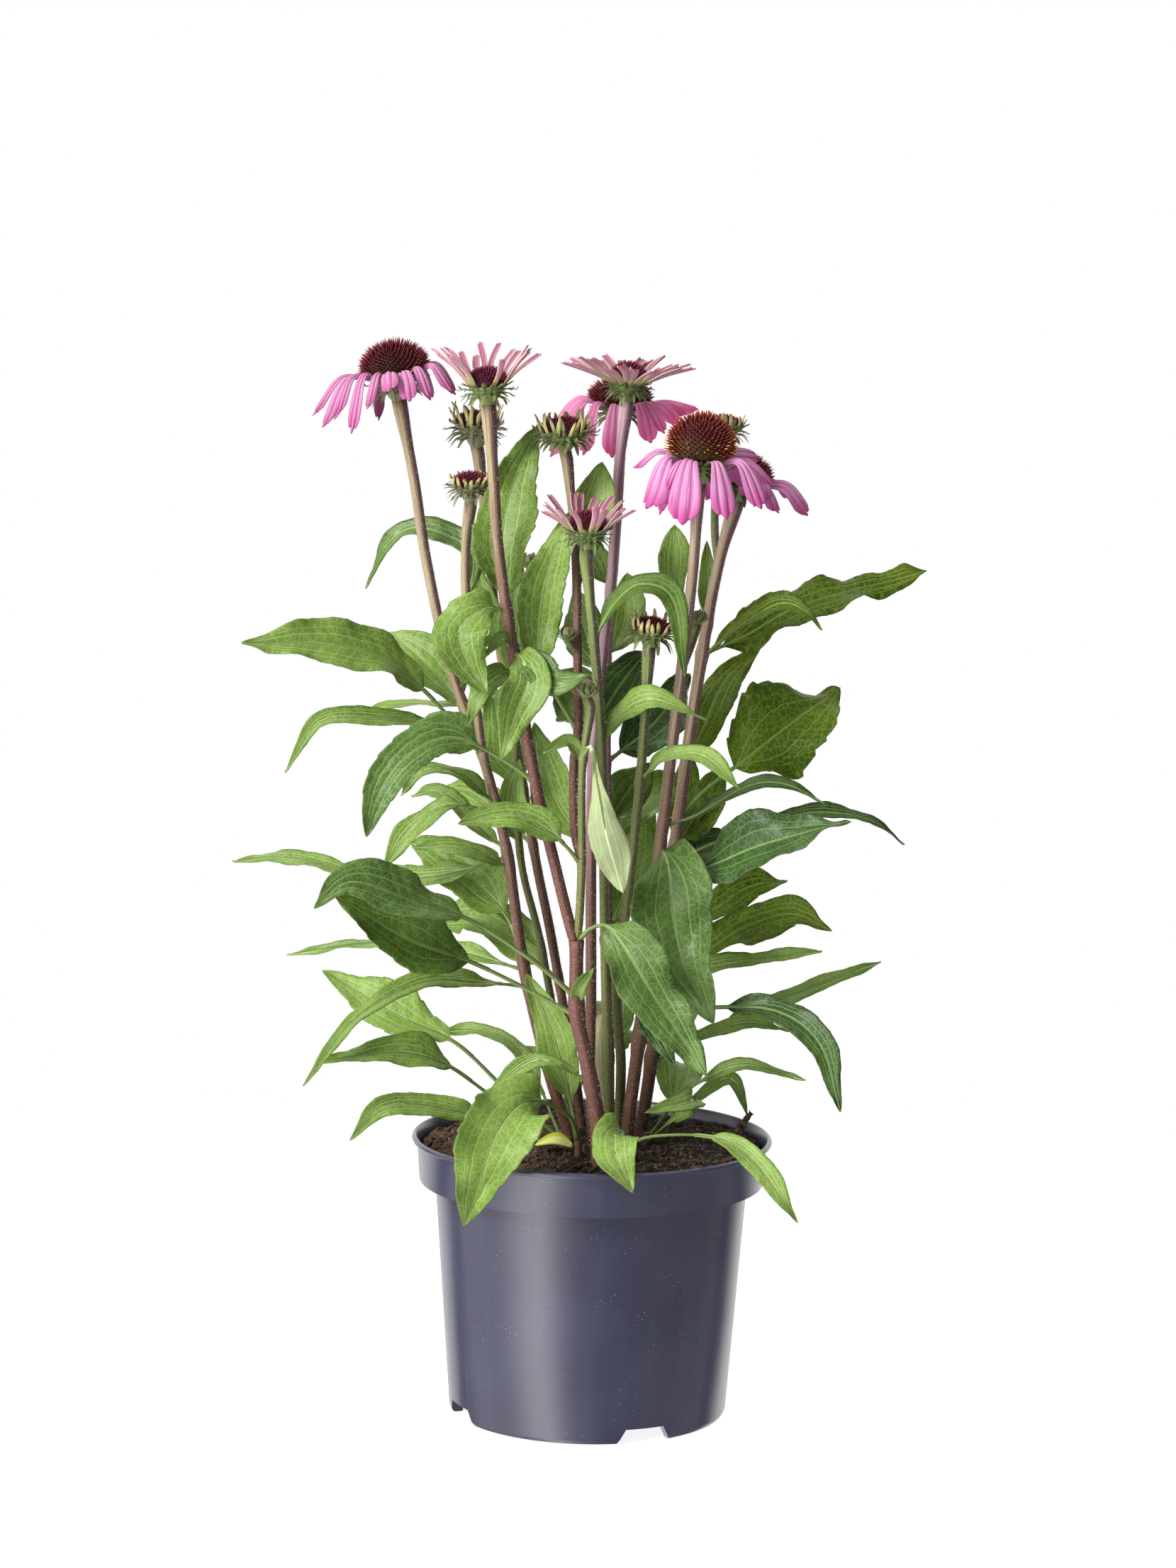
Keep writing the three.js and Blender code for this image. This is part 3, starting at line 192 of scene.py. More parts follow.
class Paint:
    """A procedural material under construction."""

    def __init__(self, name: str) -> None:
        """Starts an empty material.

        Args:
            name: The material's name.
        """
        self.material = bpy.data.materials.new(name)
        self.material.use_nodes = True
        self.tree = self.material.node_tree
        self.tree.nodes.clear()
        self.output = self.tree.nodes.new("ShaderNodeOutputMaterial")
        self.body = self.tree.nodes.new("ShaderNodeBsdfPrincipled")
        self.tree.links.new(self.body.outputs[0], self.output.inputs["Surface"])

    def node(self, kind: str, **settings: object) -> bpy.types.Node:
        """A new node with some of its settings."""
        made = self.tree.nodes.new(kind)
        for key, value in settings.items():
            setattr(made, key, value)
        return made

    def feed(self, socket: bpy.types.NodeSocket, value: object) -> None:
        """Links a socket to another, or sets its value."""
        if isinstance(value, bpy.types.NodeSocket):
            self.tree.links.new(value, socket)
        elif isinstance(value, tuple) and socket.type == "RGBA":
            socket.default_value = (*value[:3], 1)
        else:
            socket.default_value = value

    def sum(self, operation: str, *values: object) -> bpy.types.NodeSocket:
        """One step of arithmetic on numbers or sockets."""
        made = self.node("ShaderNodeMath", operation=operation)
        for socket, value in zip(made.inputs, values):
            self.feed(socket, value)
        return made.outputs[0]

    def attribute(self, name: str) -> tuple[bpy.types.NodeSocket, ...]:
        """An attribute of the piece's own mesh, as its whole vector and its three parts."""
        vector = self.node("ShaderNodeAttribute", attribute_name=name).outputs["Vector"]
        parts = self.node("ShaderNodeSeparateXYZ")
        self.feed(parts.inputs[0], vector)
        return (vector, *parts.outputs)

    def place(self) -> bpy.types.NodeSocket:
        """The place on the piece, in metres."""
        return self.node("ShaderNodeTexCoord").outputs["Object"]

    def scaled(self, vector: bpy.types.NodeSocket, scale: Point) -> bpy.types.NodeSocket:
        """A vector stretched along each axis."""
        made = self.node("ShaderNodeMapping")
        self.feed(made.inputs["Vector"], vector)
        made.inputs["Scale"].default_value = scale
        return made.outputs[0]

    def cloud(
        self, vector: object, scale: float, detail: float = 3.0, rough: float = 0.55
    ) -> bpy.types.NodeSocket:
        """Soft noise from 0 to 1."""
        made = self.node("ShaderNodeTexNoise")
        self.feed(made.inputs["Vector"], vector)
        made.inputs["Scale"].default_value = scale
        made.inputs["Detail"].default_value = detail
        made.inputs["Roughness"].default_value = rough
        return made.outputs["Fac"]

    def cells(self, vector: object, scale: float, walls: bool) -> bpy.types.NodeSocket:
        """The distance to the walls of a net of cells, or else to the nearest cell's middle."""
        made = self.node("ShaderNodeTexVoronoi", feature="DISTANCE_TO_EDGE" if walls else "F1")
        self.feed(made.inputs["Vector"], vector)
        made.inputs["Scale"].default_value = scale
        return made.outputs["Distance"]

    def strayed(self, noise_value: object, reach: float, value: object) -> bpy.types.NodeSocket:
        """A number that strays by noise, up or down by half of a reach at most."""
        return self.sum("MULTIPLY_ADD", self.sum("SUBTRACT", noise_value, 0.5), reach, value)

    def slope(
        self, value: object, low: float, high: float, start: float = 0, end: float = 1
    ) -> bpy.types.NodeSocket:
        """A number taken smoothly from one range to another."""
        made = self.node("ShaderNodeMapRange", interpolation_type="SMOOTHSTEP")
        names = ("Value", "From Min", "From Max", "To Min", "To Max")
        for name, given in zip(names, (value, low, high, start, end)):
            self.feed(made.inputs[name], given)
        return made.outputs["Result"]

    def mix(self, share: object, first: object, second: object) -> bpy.types.NodeSocket:
        """A colour between two."""
        made = self.node("ShaderNodeMix", data_type="RGBA")
        self.feed(made.inputs[0], share)
        self.feed(made.inputs[6], first)
        self.feed(made.inputs[7], second)
        return made.outputs[2]

    def relief(self, height: bpy.types.NodeSocket, depth_mm: float, strength: float = 1.0) -> None:
        """Raises the surface by a height that runs from 0 to 1."""
        made = self.node("ShaderNodeBump")
        made.inputs["Strength"].default_value = strength
        made.inputs["Distance"].default_value = depth_mm * MM
        self.feed(made.inputs["Height"], height)
        self.feed(self.body.inputs["Normal"], made.outputs[0])

    def glow(self, share: float, colour: bpy.types.NodeSocket) -> None:
        """Lets a share of the light from behind shine through in a colour."""
        through = self.node("ShaderNodeBsdfTranslucent")
        self.feed(through.inputs["Color"], colour)
        both = self.node("ShaderNodeMixShader")
        both.inputs[0].default_value = share
        self.feed(both.inputs[1], self.body.outputs[0])
        self.feed(both.inputs[2], through.outputs[0])
        self.feed(self.output.inputs["Surface"], both.outputs[0])

    def wear(self, colour: object, roughness: object, specular: float = 0.5) -> bpy.types.Material:
        """Gives the surface its colour and roughness, and hands over the finished material."""
        self.feed(self.body.inputs["Base Color"], colour)
        self.feed(self.body.inputs["Roughness"], roughness)
        self.body.inputs["Specular IOR Level"].default_value = specular
        return self.material


@dataclass(frozen=True)
class LeafFinish:
    """The living surface of a leaf, with its nerves and its net of fine veins."""

    name: str
    deep: Colour
    light: Colour
    vein: Colour
    under: Colour
    roughness: float
    glow: float
    net: float

    EDGE_BROWN = (0.13, 0.11, 0.06)
    SPOT_BROWN = (0.09, 0.075, 0.03)
    SUN_GREEN = (0.36, 0.5, 0.06)

    def paint(self, underside: bool = False) -> bpy.types.Material:
        """The material of one face of the leaf.

        Args:
            underside: Whether it is the paler lower face.

        Returns:
            The material.
        """
        paint = Paint(f"{self.name}_{'under' if underside else 'upper'}")
        _, across, blade, half = paint.attribute("shape")
        span, _, length, _ = paint.attribute("span")
        side = paint.sum("ABSOLUTE", across)
        reach = paint.sum("MULTIPLY", side, half)
        wander = paint.cloud(span, 0.16, 2)
        shift = paint.sum("MULTIPLY", paint.sum("SUBTRACT", wander, 0.5), 2.2)
        rib_width = paint.sum("MULTIPLY_ADD", blade, -0.35, 0.62)
        rib = paint.slope(paint.sum("SUBTRACT", reach, rib_width), -0.05, 0.25, 1, 0)

        def nerve(place: float, strength: float) -> bpy.types.NodeSocket:
            """A long nerve that leaves the rib near the foot and runs at a share of the half width."""
            spread = paint.sum("SUBTRACT", 1, paint.sum("EXPONENT", paint.sum("MULTIPLY", blade, -7)))
            line = paint.sum("MULTIPLY", spread, paint.sum("MULTIPLY_ADD", blade, -0.3 * place, place))
            off = paint.sum("MULTIPLY", paint.sum("SUBTRACT", side, line), half)
            away = paint.sum("ABSOLUTE", paint.sum("MULTIPLY_ADD", shift, 0.35, off))
            return paint.slope(away, 0.1, 0.42, strength, 0)

        inner, outer = nerve(0.5, 0.8), nerve(0.8, 0.5)
        slanted = paint.sum("ADD", paint.sum("MULTIPLY_ADD", reach, -VEIN_SLANT, length), shift)
        rung = paint.sum("SUBTRACT", paint.sum("FRACT", paint.sum("DIVIDE", slanted, VEIN_STEP)), 0.5)
        off = paint.sum("MULTIPLY", paint.sum("ABSOLUTE", rung), VEIN_STEP)
        rungs = paint.slope(off, 0.05, 0.36, 0.4, 0)
        cells = paint.cells(span, 0.3, walls=True)
        net = paint.slope(cells, 0.01, 0.085, self.net, 0)
        fine = paint.sum("MAXIMUM", paint.sum("MAXIMUM", inner, outer), paint.sum("MAXIMUM", rungs, net))
        broad = paint.slope(half, 1.5, 5)
        veins = paint.sum("MAXIMUM", rib, paint.sum("MULTIPLY", fine, broad))
        tone = paint.slope(paint.cloud(span, 0.045, 4), 0.3, 0.7)
        if underside:
            ground = paint.mix(tone, self.under, tinted(self.under, 1.18))
            lines = tinted(self.under, 1.35, 0.03)
        else:
            ground = paint.mix(tone, self.deep, self.light)
            lines = self.vein
        netted = paint.mix(paint.sum("MULTIPLY", veins, 0.85), ground, lines)
        grown = paint.mix(paint.sum("MULTIPLY", rib, 0.75), netted, tinted(lines, 1.25, 0.05))
        edged = paint.mix(paint.slope(side, 0.955, 1.0, 0, 0.45), grown, self.EDGE_BROWN)
        spot = paint.slope(paint.cloud(span, 0.32, 2), 0.76, 0.8, 0, 0.45)
        colour = paint.mix(spot, edged, self.SPOT_BROWN)
        pores = paint.cloud(span, 2.4, 2)
        quilt = paint.sum("MULTIPLY_ADD", pores, 0.1, paint.slope(cells, 0, 0.4, 0, 0.35))
        swell = paint.sum("MULTIPLY_ADD", veins, 1.0 if underside else -0.9, quilt)
        paint.relief(swell, 0.3, 0.5)
        if self.glow:
            paint.glow(self.glow, paint.mix(0.55, colour, self.SUN_GREEN))
        rough = paint.slope(pores, 0.3, 0.7, self.roughness - 0.05, self.roughness + 0.08)
        return paint.wear(colour, 0.72 if underside else rough, 0.15 if underside else 0.24)


class Look(Enum):
    """How a leaf looks in its place on the plant. The glossy, backlit, dark and dusky looks are darker
    copies of the leaf green for leaves in the plant's shade: painted shade. The backlit look also lets more
    light through.
    """

    FRESH = LeafFinish("leaf_fresh", (0.105, 0.195, 0.026), (0.168, 0.275, 0.045), (0.37, 0.49, 0.18),
        (0.25, 0.35, 0.12), 0.36, 0.15, 0.4)
    LIME = LeafFinish("leaf_lime", (0.15, 0.26, 0.038), (0.215, 0.345, 0.066), (0.42, 0.54, 0.2),
        (0.3, 0.4, 0.16), 0.36, 0.18, 0.42)
    # Painted shade: the glossy, backlit, dark and dusky looks below are the leaf green made darker for
    # leaves that lie in shade.
    GLOSSY_SHADE = LeafFinish("leaf_glossy_shade", (0.015, 0.044, 0.008), (0.033, 0.08, 0.015), (0.16, 0.26, 0.08),
        (0.16, 0.24, 0.09), 0.34, 0.04, 0.3)
    BACKLIT = LeafFinish("leaf_backlit", (0.048, 0.102, 0.003), (0.092, 0.172, 0.008), (0.36, 0.45, 0.07),
        (0.16, 0.25, 0.04), 0.42, 0.24, 0.5)
    DARK = LeafFinish("leaf_dark", (0.04, 0.088, 0.01), (0.068, 0.13, 0.018), (0.17, 0.25, 0.05),
        (0.14, 0.22, 0.05), 0.4, 0.1, 0.45)
    DUSKY = LeafFinish("leaf_dusky", (0.045, 0.1, 0.018), (0.088, 0.165, 0.034), (0.25, 0.36, 0.12),
        (0.19, 0.28, 0.1), 0.3, 0.1, 0.36)
    PALE = LeafFinish("leaf_pale", (0.22, 0.28, 0.14), (0.31, 0.37, 0.2), (0.42, 0.48, 0.3),
        (0.3, 0.36, 0.19), 0.6, 0.1, 0.4)
    YELLOW = LeafFinish("leaf_yellow", (0.42, 0.47, 0.03), (0.58, 0.61, 0.06), (0.6, 0.6, 0.2),
        (0.5, 0.5, 0.15), 0.5, 0.2, 0.3)


@dataclass(frozen=True)
class StemFinish:
    """The ribbed skin of a stem, reddish low down, paler toward its head, with painted shade along its right
    side.
    """

    name: str
    low: Colour
    high: Colour
    stripe: Colour
    # shadow is the colour of the painted shade along the stem's right side.
    shadow: Colour
    bloom: Colour = (0.5, 0.42, 0.4)
    turning: tuple[float, float] = (230, 440)

    def paint(self, underside: bool = False) -> bpy.types.Material:
        """The material, the same on both faces."""
        paint = Paint(self.name)
        ring, _, right, height = paint.attribute("shape")
        streaks = paint.cloud(paint.scaled(ring, (4.5, 4.5, 0.012)), 2.2, 2)
        blotch = paint.cloud(paint.scaled(ring, (0.8, 0.8, 0.02)), 1.6, 3)
        up = paint.slope(paint.strayed(blotch, 150, height), *self.turning)
        ground = paint.mix(up, self.low, self.high)
        ribs = paint.slope(streaks, 0.44, 0.56)
        line = paint.mix(up, tinted(self.low, 0.7), self.stripe)
        # Painted shade: the right-facing side of the stem is darkened toward this colour, which runs from a
        # dark tint of its low colour up to its shadow colour.
        shade = paint.mix(up, tinted(self.low, 0.4), self.shadow)
        striped = paint.mix(paint.sum("MULTIPLY", ribs, 0.75), ground, line)
        # The mask of the painted shade: the skin that faces right.
        shaded = paint.slope(paint.strayed(streaks, 0.9, right), -0.05, 0.3, 0, 0.85)
        dark = paint.mix(shaded, striped, shade)
        hoary = paint.slope(paint.cloud(paint.place(), 900, 2), 0.6, 0.7, 0, 0.35)
        colour = paint.mix(hoary, dark, self.bloom)
        paint.relief(paint.sum("MULTIPLY_ADD", streaks, 1.0, blotch), 0.3, 0.9)
        return paint.wear(colour, paint.slope(blotch, 0.3, 0.7, 0.42, 0.56), 0.4)


class Skin(Enum):
    """The kinds of stem on the plant."""

    # The last colour of each skin is the colour of its painted shade.
    OLIVE = StemFinish("stem_olive", (0.16, 0.07, 0.048), (0.53, 0.44, 0.29), (0.26, 0.16, 0.12),
        (0.14, 0.055, 0.07))
    HAY = StemFinish("stem_hay", (0.16, 0.07, 0.048), (0.36, 0.31, 0.17), (0.2, 0.12, 0.09),
        (0.11, 0.045, 0.055))
    RUSSET = StemFinish("stem_russet", (0.16, 0.064, 0.048), (0.38, 0.32, 0.17), (0.16, 0.075, 0.065),
        (0.09, 0.032, 0.045), turning=(380, 520))
    PLUM = StemFinish("stem_plum", (0.18, 0.085, 0.06), (0.62, 0.42, 0.48), (0.34, 0.18, 0.25),
        (0.18, 0.07, 0.12))
    GREEN = StemFinish("stem_green", (0.17, 0.18, 0.05), (0.22, 0.29, 0.08), (0.12, 0.12, 0.05),
        (0.07, 0.045, 0.035))
    STALK = StemFinish("leaf_stalk", (0.2, 0.29, 0.07), (0.21, 0.34, 0.09), (0.16, 0.22, 0.07),
        (0.13, 0.2, 0.05))


@dataclass(frozen=True)
class PetalFinish:
    """The grooved, finely streaked surface of a petal, from its foot to its notched tip."""

    name: str
    foot: Colour
    middle: Colour
    tip: Colour
    vein: Colour
    margin: Colour
    glow: float = 0.25
    turn: float = 0.28

    WITHERED = (0.25, 0.07, 0.06)

    def paint(self, underside: bool = False) -> bpy.types.Material:
        """The material of one face.

        Args:
            underside: Whether it is the deeper lower face.

        Returns:
            The material.
        """
        paint = Paint(f"{self.name}_{'under' if underside else 'upper'}")
        shape, across, blade, _ = paint.attribute("shape")
        side = paint.sum("ABSOLUTE", across)
        fibre = paint.cloud(paint.scaled(shape, (5.5, 0.9, 37)), 2.6, 3)
        patch = paint.cloud(paint.scaled(shape, (0.8, 1.4, 37)), 1.5, 2)
        grade = paint.strayed(patch, 0.35, blade)
        lower = paint.mix(paint.slope(grade, self.turn - 0.26, self.turn), self.foot, self.middle)
        whole = paint.mix(paint.slope(grade, 0.55, 1.0), lower, self.tip)
        if underside:
            whole = paint.mix(0.55, whole, tinted(self.vein, 0.62))
        # The two grooves are painted in the vein colour. This is partly the petal's real veins and partly
        # painted shade in the creases, and it leaves the ridges between them lighter.
        groove = paint.slope(paint.sum("ABSOLUTE", paint.sum("SUBTRACT", side, 0.36)), 0.0, 0.14, 0.7, 0)
        lines = paint.sum("MAXIMUM", groove, paint.slope(fibre, 0.5, 0.66, 0, 0.75))
        veined = paint.mix(lines, whole, self.vein)
        edge = paint.slope(side, 0.7, 0.98, 0, 0.65)
        edged = paint.mix(edge, veined, self.margin)
        tinge = paint.slope(blade, 0.965, 1.0, 0, 0.55)
        colour = paint.mix(tinge, edged, self.WITHERED)
        paint.relief(paint.sum("MULTIPLY_ADD", fibre, 0.7, paint.sum("MULTIPLY", groove, -1.0)), 0.3, 0.7)
        if self.glow:
            paint.glow(self.glow, colour)
        paint.body.inputs["Sheen Weight"].default_value = 0.12
        return paint.wear(colour, paint.slope(fibre, 0.3, 0.7, 0.44, 0.56), 0.35)


class Petal(Enum):
    """The kinds of petal on the plant."""

    # Painted light: a brighter copy of the pink for the head behind, which lies in the shade of the heads in
    # front. It also lets much light through.
    FAR = PetalFinish("petal_far", (0.94, 0.72, 0.8), (0.94, 0.54, 0.76), (0.86, 0.24, 0.52),
        (0.74, 0.2, 0.46), (0.94, 0.56, 0.76), 0.7)
    PINK = PetalFinish("petal_pink", (0.6, 0.42, 0.48), (0.63, 0.28, 0.5), (0.46, 0.1, 0.29),
        (0.38, 0.055, 0.22), (0.46, 0.13, 0.3))
    DEEP = PetalFinish("petal_deep", (0.6, 0.38, 0.46), (0.72, 0.33, 0.59), (0.54, 0.07, 0.32),
        (0.45, 0.05, 0.25), (0.5, 0.1, 0.32))
    YOUNG = PetalFinish("petal_young", (0.5, 0.52, 0.16), (0.56, 0.3, 0.36), (0.52, 0.18, 0.3),
        (0.4, 0.09, 0.18), (0.74, 0.58, 0.48), 0.14, 0.42)
    STUB = PetalFinish("petal_stub", (0.3, 0.38, 0.09), (0.66, 0.66, 0.26), (0.42, 0.3, 0.16),
        (0.4, 0.4, 0.13), (0.72, 0.7, 0.36), 0.12)


@dataclass(frozen=True)
class SpikeFinish:
    """The chaffy spikes of a cone, from their root to their hard tip."""

    name: str
    root: Colour
    shaft: Colour
    tip: Colour
    low_root: Colour
    pollen: float = 0.0

    POLLEN_GOLD = (0.72, 0.36, 0.05)

    def paint(self, underside: bool = False) -> bpy.types.Material:
        """The material, the same on both faces."""
        paint = Paint(self.name)
        _, along, level, own = paint.attribute("shape")
        foot = paint.mix(paint.slope(level, 0.1, 0.5), self.low_root, self.root)
        shaft = paint.mix(paint.slope(along, 0.12, 0.45), foot, self.shaft)
        varied = paint.mix(paint.sum("MULTIPLY", own, 0.4), shaft, self.root)
        tipped = paint.mix(paint.slope(along, 0.6, 1.0), varied, self.tip)
        low = paint.slope(level, 0.25, 0.5, 1, 0)
        dusted = paint.sum("MULTIPLY", low, paint.slope(own, 0.995 - self.pollen, 1.0 - self.pollen))
        gold = paint.sum("MULTIPLY", dusted, paint.slope(along, 0.5, 0.7))
        colour = paint.mix(gold, tipped, self.POLLEN_GOLD)
        paint.relief(paint.cloud(paint.place(), 1600, 2), 0.1, 0.5)
        return paint.wear(colour, paint.slope(along, 0, 1, 0.7, 0.45), 0.2)


class Cone(Enum):
    """The kinds of cone on the plant."""

    DARK = SpikeFinish("cone_dark", (0.03, 0.006, 0.008), (0.13, 0.012, 0.02), (0.23, 0.026, 0.034),
        (0.05, 0.03, 0.01))
    RIPE = SpikeFinish("cone_ripe", (0.04, 0.008, 0.008), (0.19, 0.02, 0.016), (0.42, 0.07, 0.022),
        (0.07, 0.045, 0.012), 0.3)
    YOUNG = SpikeFinish("cone_young", (0.06, 0.008, 0.02), (0.14, 0.016, 0.04), (0.25, 0.04, 0.07),
        (0.1, 0.012, 0.03))


@dataclass(frozen=True)
class BractFinish:
    """The green bracts under a head, dusky toward their tips."""

    name: str
    green: Colour
    tip: Colour
    hair: Colour

    def paint(self, underside: bool = False) -> bpy.types.Material:
        """The material, the same on both faces."""
        paint = Paint(self.name)
        shape, across, along, own = paint.attribute("shape")
        grain = paint.cloud(paint.scaled(shape, (3, 2, 41)), 3, 3)
        side = paint.sum("ABSOLUTE", across)
        dusk = paint.slope(paint.sum("MULTIPLY_ADD", own, 0.4, along), 0.72, 1.15)
        tipped = paint.mix(dusk, self.green, self.tip)
        rib = paint.mix(paint.slope(side, 0.0, 0.25, 0.35, 0), tipped, self.hair)
        colour = paint.mix(paint.slope(side, 0.65, 1.0, 0, 0.55), rib, self.hair)
        paint.relief(grain, 0.2, 0.8)
        return paint.wear(colour, paint.slope(grain, 0.3, 0.7, 0.5, 0.65), 0.35)


class Bract(Enum):
    """The kinds of bract on the plant."""

    LEAFY = BractFinish("bract_leafy", (0.15, 0.2, 0.065), (0.16, 0.09, 0.09), (0.34, 0.37, 0.2))
    DUSKY = BractFinish("bract_dusky", (0.18, 0.19, 0.1), (0.15, 0.07, 0.1), (0.38, 0.37, 0.27))


def pot_paint() -> bpy.types.Material:
    """Blue-black moulded plastic, satin, with faint flow marks, fine scuffs and dust."""
    paint = Paint("pot_plastic")
    place = paint.place()
    flow = paint.cloud(paint.scaled(place, (60, 60, 4)), 1, 4)
    haze = paint.cloud(place, 24, 4)
    scuff = paint.cloud(paint.scaled(place, (90, 90, 420)), 1, 3)
    ground = paint.mix(paint.slope(haze, 0.3, 0.7), (0.022, 0.023, 0.051), (0.029, 0.03, 0.063))
    streaked = paint.mix(paint.slope(flow, 0.45, 0.75, 0, 0.3), ground, (0.04, 0.042, 0.08))
    marks = paint.slope(scuff, 0.73, 0.8, 0, 0.22)
    worn = paint.mix(marks, streaked, (0.13, 0.13, 0.16))
    sift = paint.slope(paint.cloud(place, 55, 2), 0.5, 0.62)
    dust = paint.sum("MULTIPLY", paint.slope(paint.cells(place, 420, walls=False), 0.05, 0.12, 0.8, 0), sift)
    colour = paint.mix(dust, worn, (0.34, 0.33, 0.33))
    fine = paint.cloud(paint.scaled(place, (300, 300, 60)), 1, 3)
    paint.relief(paint.sum("MULTIPLY_ADD", haze, 2.0, fine), 0.07, 0.4)
    rough = paint.sum("ADD", paint.slope(flow, 0.3, 0.7, 0.22, 0.28), paint.sum("MULTIPLY", marks, 0.6))
    return paint.wear(colour, rough, 0.8)


def soil_paint() -> bpy.types.Material:
    """Dark fibrous peat, lighter and redder toward the left rim."""
    paint = Paint("soil_peat")
    place = paint.place()
    clump = paint.cloud(place, 90, 5, 0.65)
    grit = paint.cloud(place, 700, 4, 0.7)
    parts = paint.node("ShaderNodeSeparateXYZ")
    paint.feed(parts.inputs[0], place)
    # The peat turns lighter and redder toward the left rim, set by the place along X.
    tinge = paint.slope(paint.sum("MULTIPLY_ADD", clump, -0.05, parts.outputs[0]), -0.075, -0.02, 1, 0)
    dark_peat = paint.mix(paint.slope(clump, 0.35, 0.65), (0.0035, 0.003, 0.0028), (0.017, 0.011, 0.008))
    warm = paint.mix(paint.slope(clump, 0.35, 0.65), (0.05, 0.024, 0.014), (0.15, 0.075, 0.045))
    ground = paint.mix(tinge, dark_peat, warm)
    colour = paint.mix(paint.slope(grit, 0.6, 0.76, 0, 0.5), ground, (0.14, 0.085, 0.05))
    paint.relief(paint.sum("MULTIPLY_ADD", grit, 0.7, clump), 1.6, 1.0)
    return paint.wear(colour, paint.slope(grit, 0.3, 0.7, 0.75, 0.95), 0.25)


def plain_paint(
    name: str, dark: Colour, light: Colour, roughness: float, grain: float
) -> bpy.types.Material:
    """A small organic piece's finish, mottled between two colours.

    Args:
        name: The material's name.
        dark: Its darker colour.
        light: Its lighter colour.
        roughness: Its roughness.
        grain: The scale of its grain, in grains a metre.

    Returns:
        The material.
    """
    paint = Paint(name)
    mottle = paint.cloud(paint.place(), grain, 3)
    paint.relief(mottle, 0.4, 0.8)
    return paint.wear(paint.mix(paint.slope(mottle, 0.35, 0.65), dark, light), roughness, 0.3)


@cache
def coat(kind: Enum, underside: bool = False) -> bpy.types.Material:
    """The material of a kind of finish, made once.

    Args:
        kind: A member of Look, Skin, Petal, Cone or Bract.
        underside: Whether it is for the lower face.

    Returns:
        The material.
    """
    return kind.value.paint(underside)


# ---------------------------------------------------------------- building


def set_out(name: str, data: bpy.types.ID) -> bpy.types.Object:
    """A new object of the scene, with its data.

    Args:
        name: The object's name.
        data: Its mesh, light or camera.

    Returns:
        The object.
    """
    made = bpy.data.objects.new(name, data)
    bpy.context.scene.collection.objects.link(made)
    return made


def to_data(mesh: bmesh.types.BMesh, name: str, elevation: Elevation) -> bpy.types.Mesh:
    """Takes what was built in millimetres to a mesh in the row frame, and frees it.

    Args:
        mesh: What was built.
        name: The mesh's name.
        elevation: The drawing it was measured on.

    Returns:
        The mesh.
    """
    bmesh.ops.transform(mesh, matrix=elevation.to_frame(), verts=mesh.verts[:])
    data = bpy.data.meshes.new(name)
    mesh.to_mesh(data)
    mesh.free()
    return data


@dataclass
class Surface:
    """What a sheet is laid over: its points and what its finish reads at each of them."""

    points: np.ndarray
    shape: np.ndarray
    span: np.ndarray


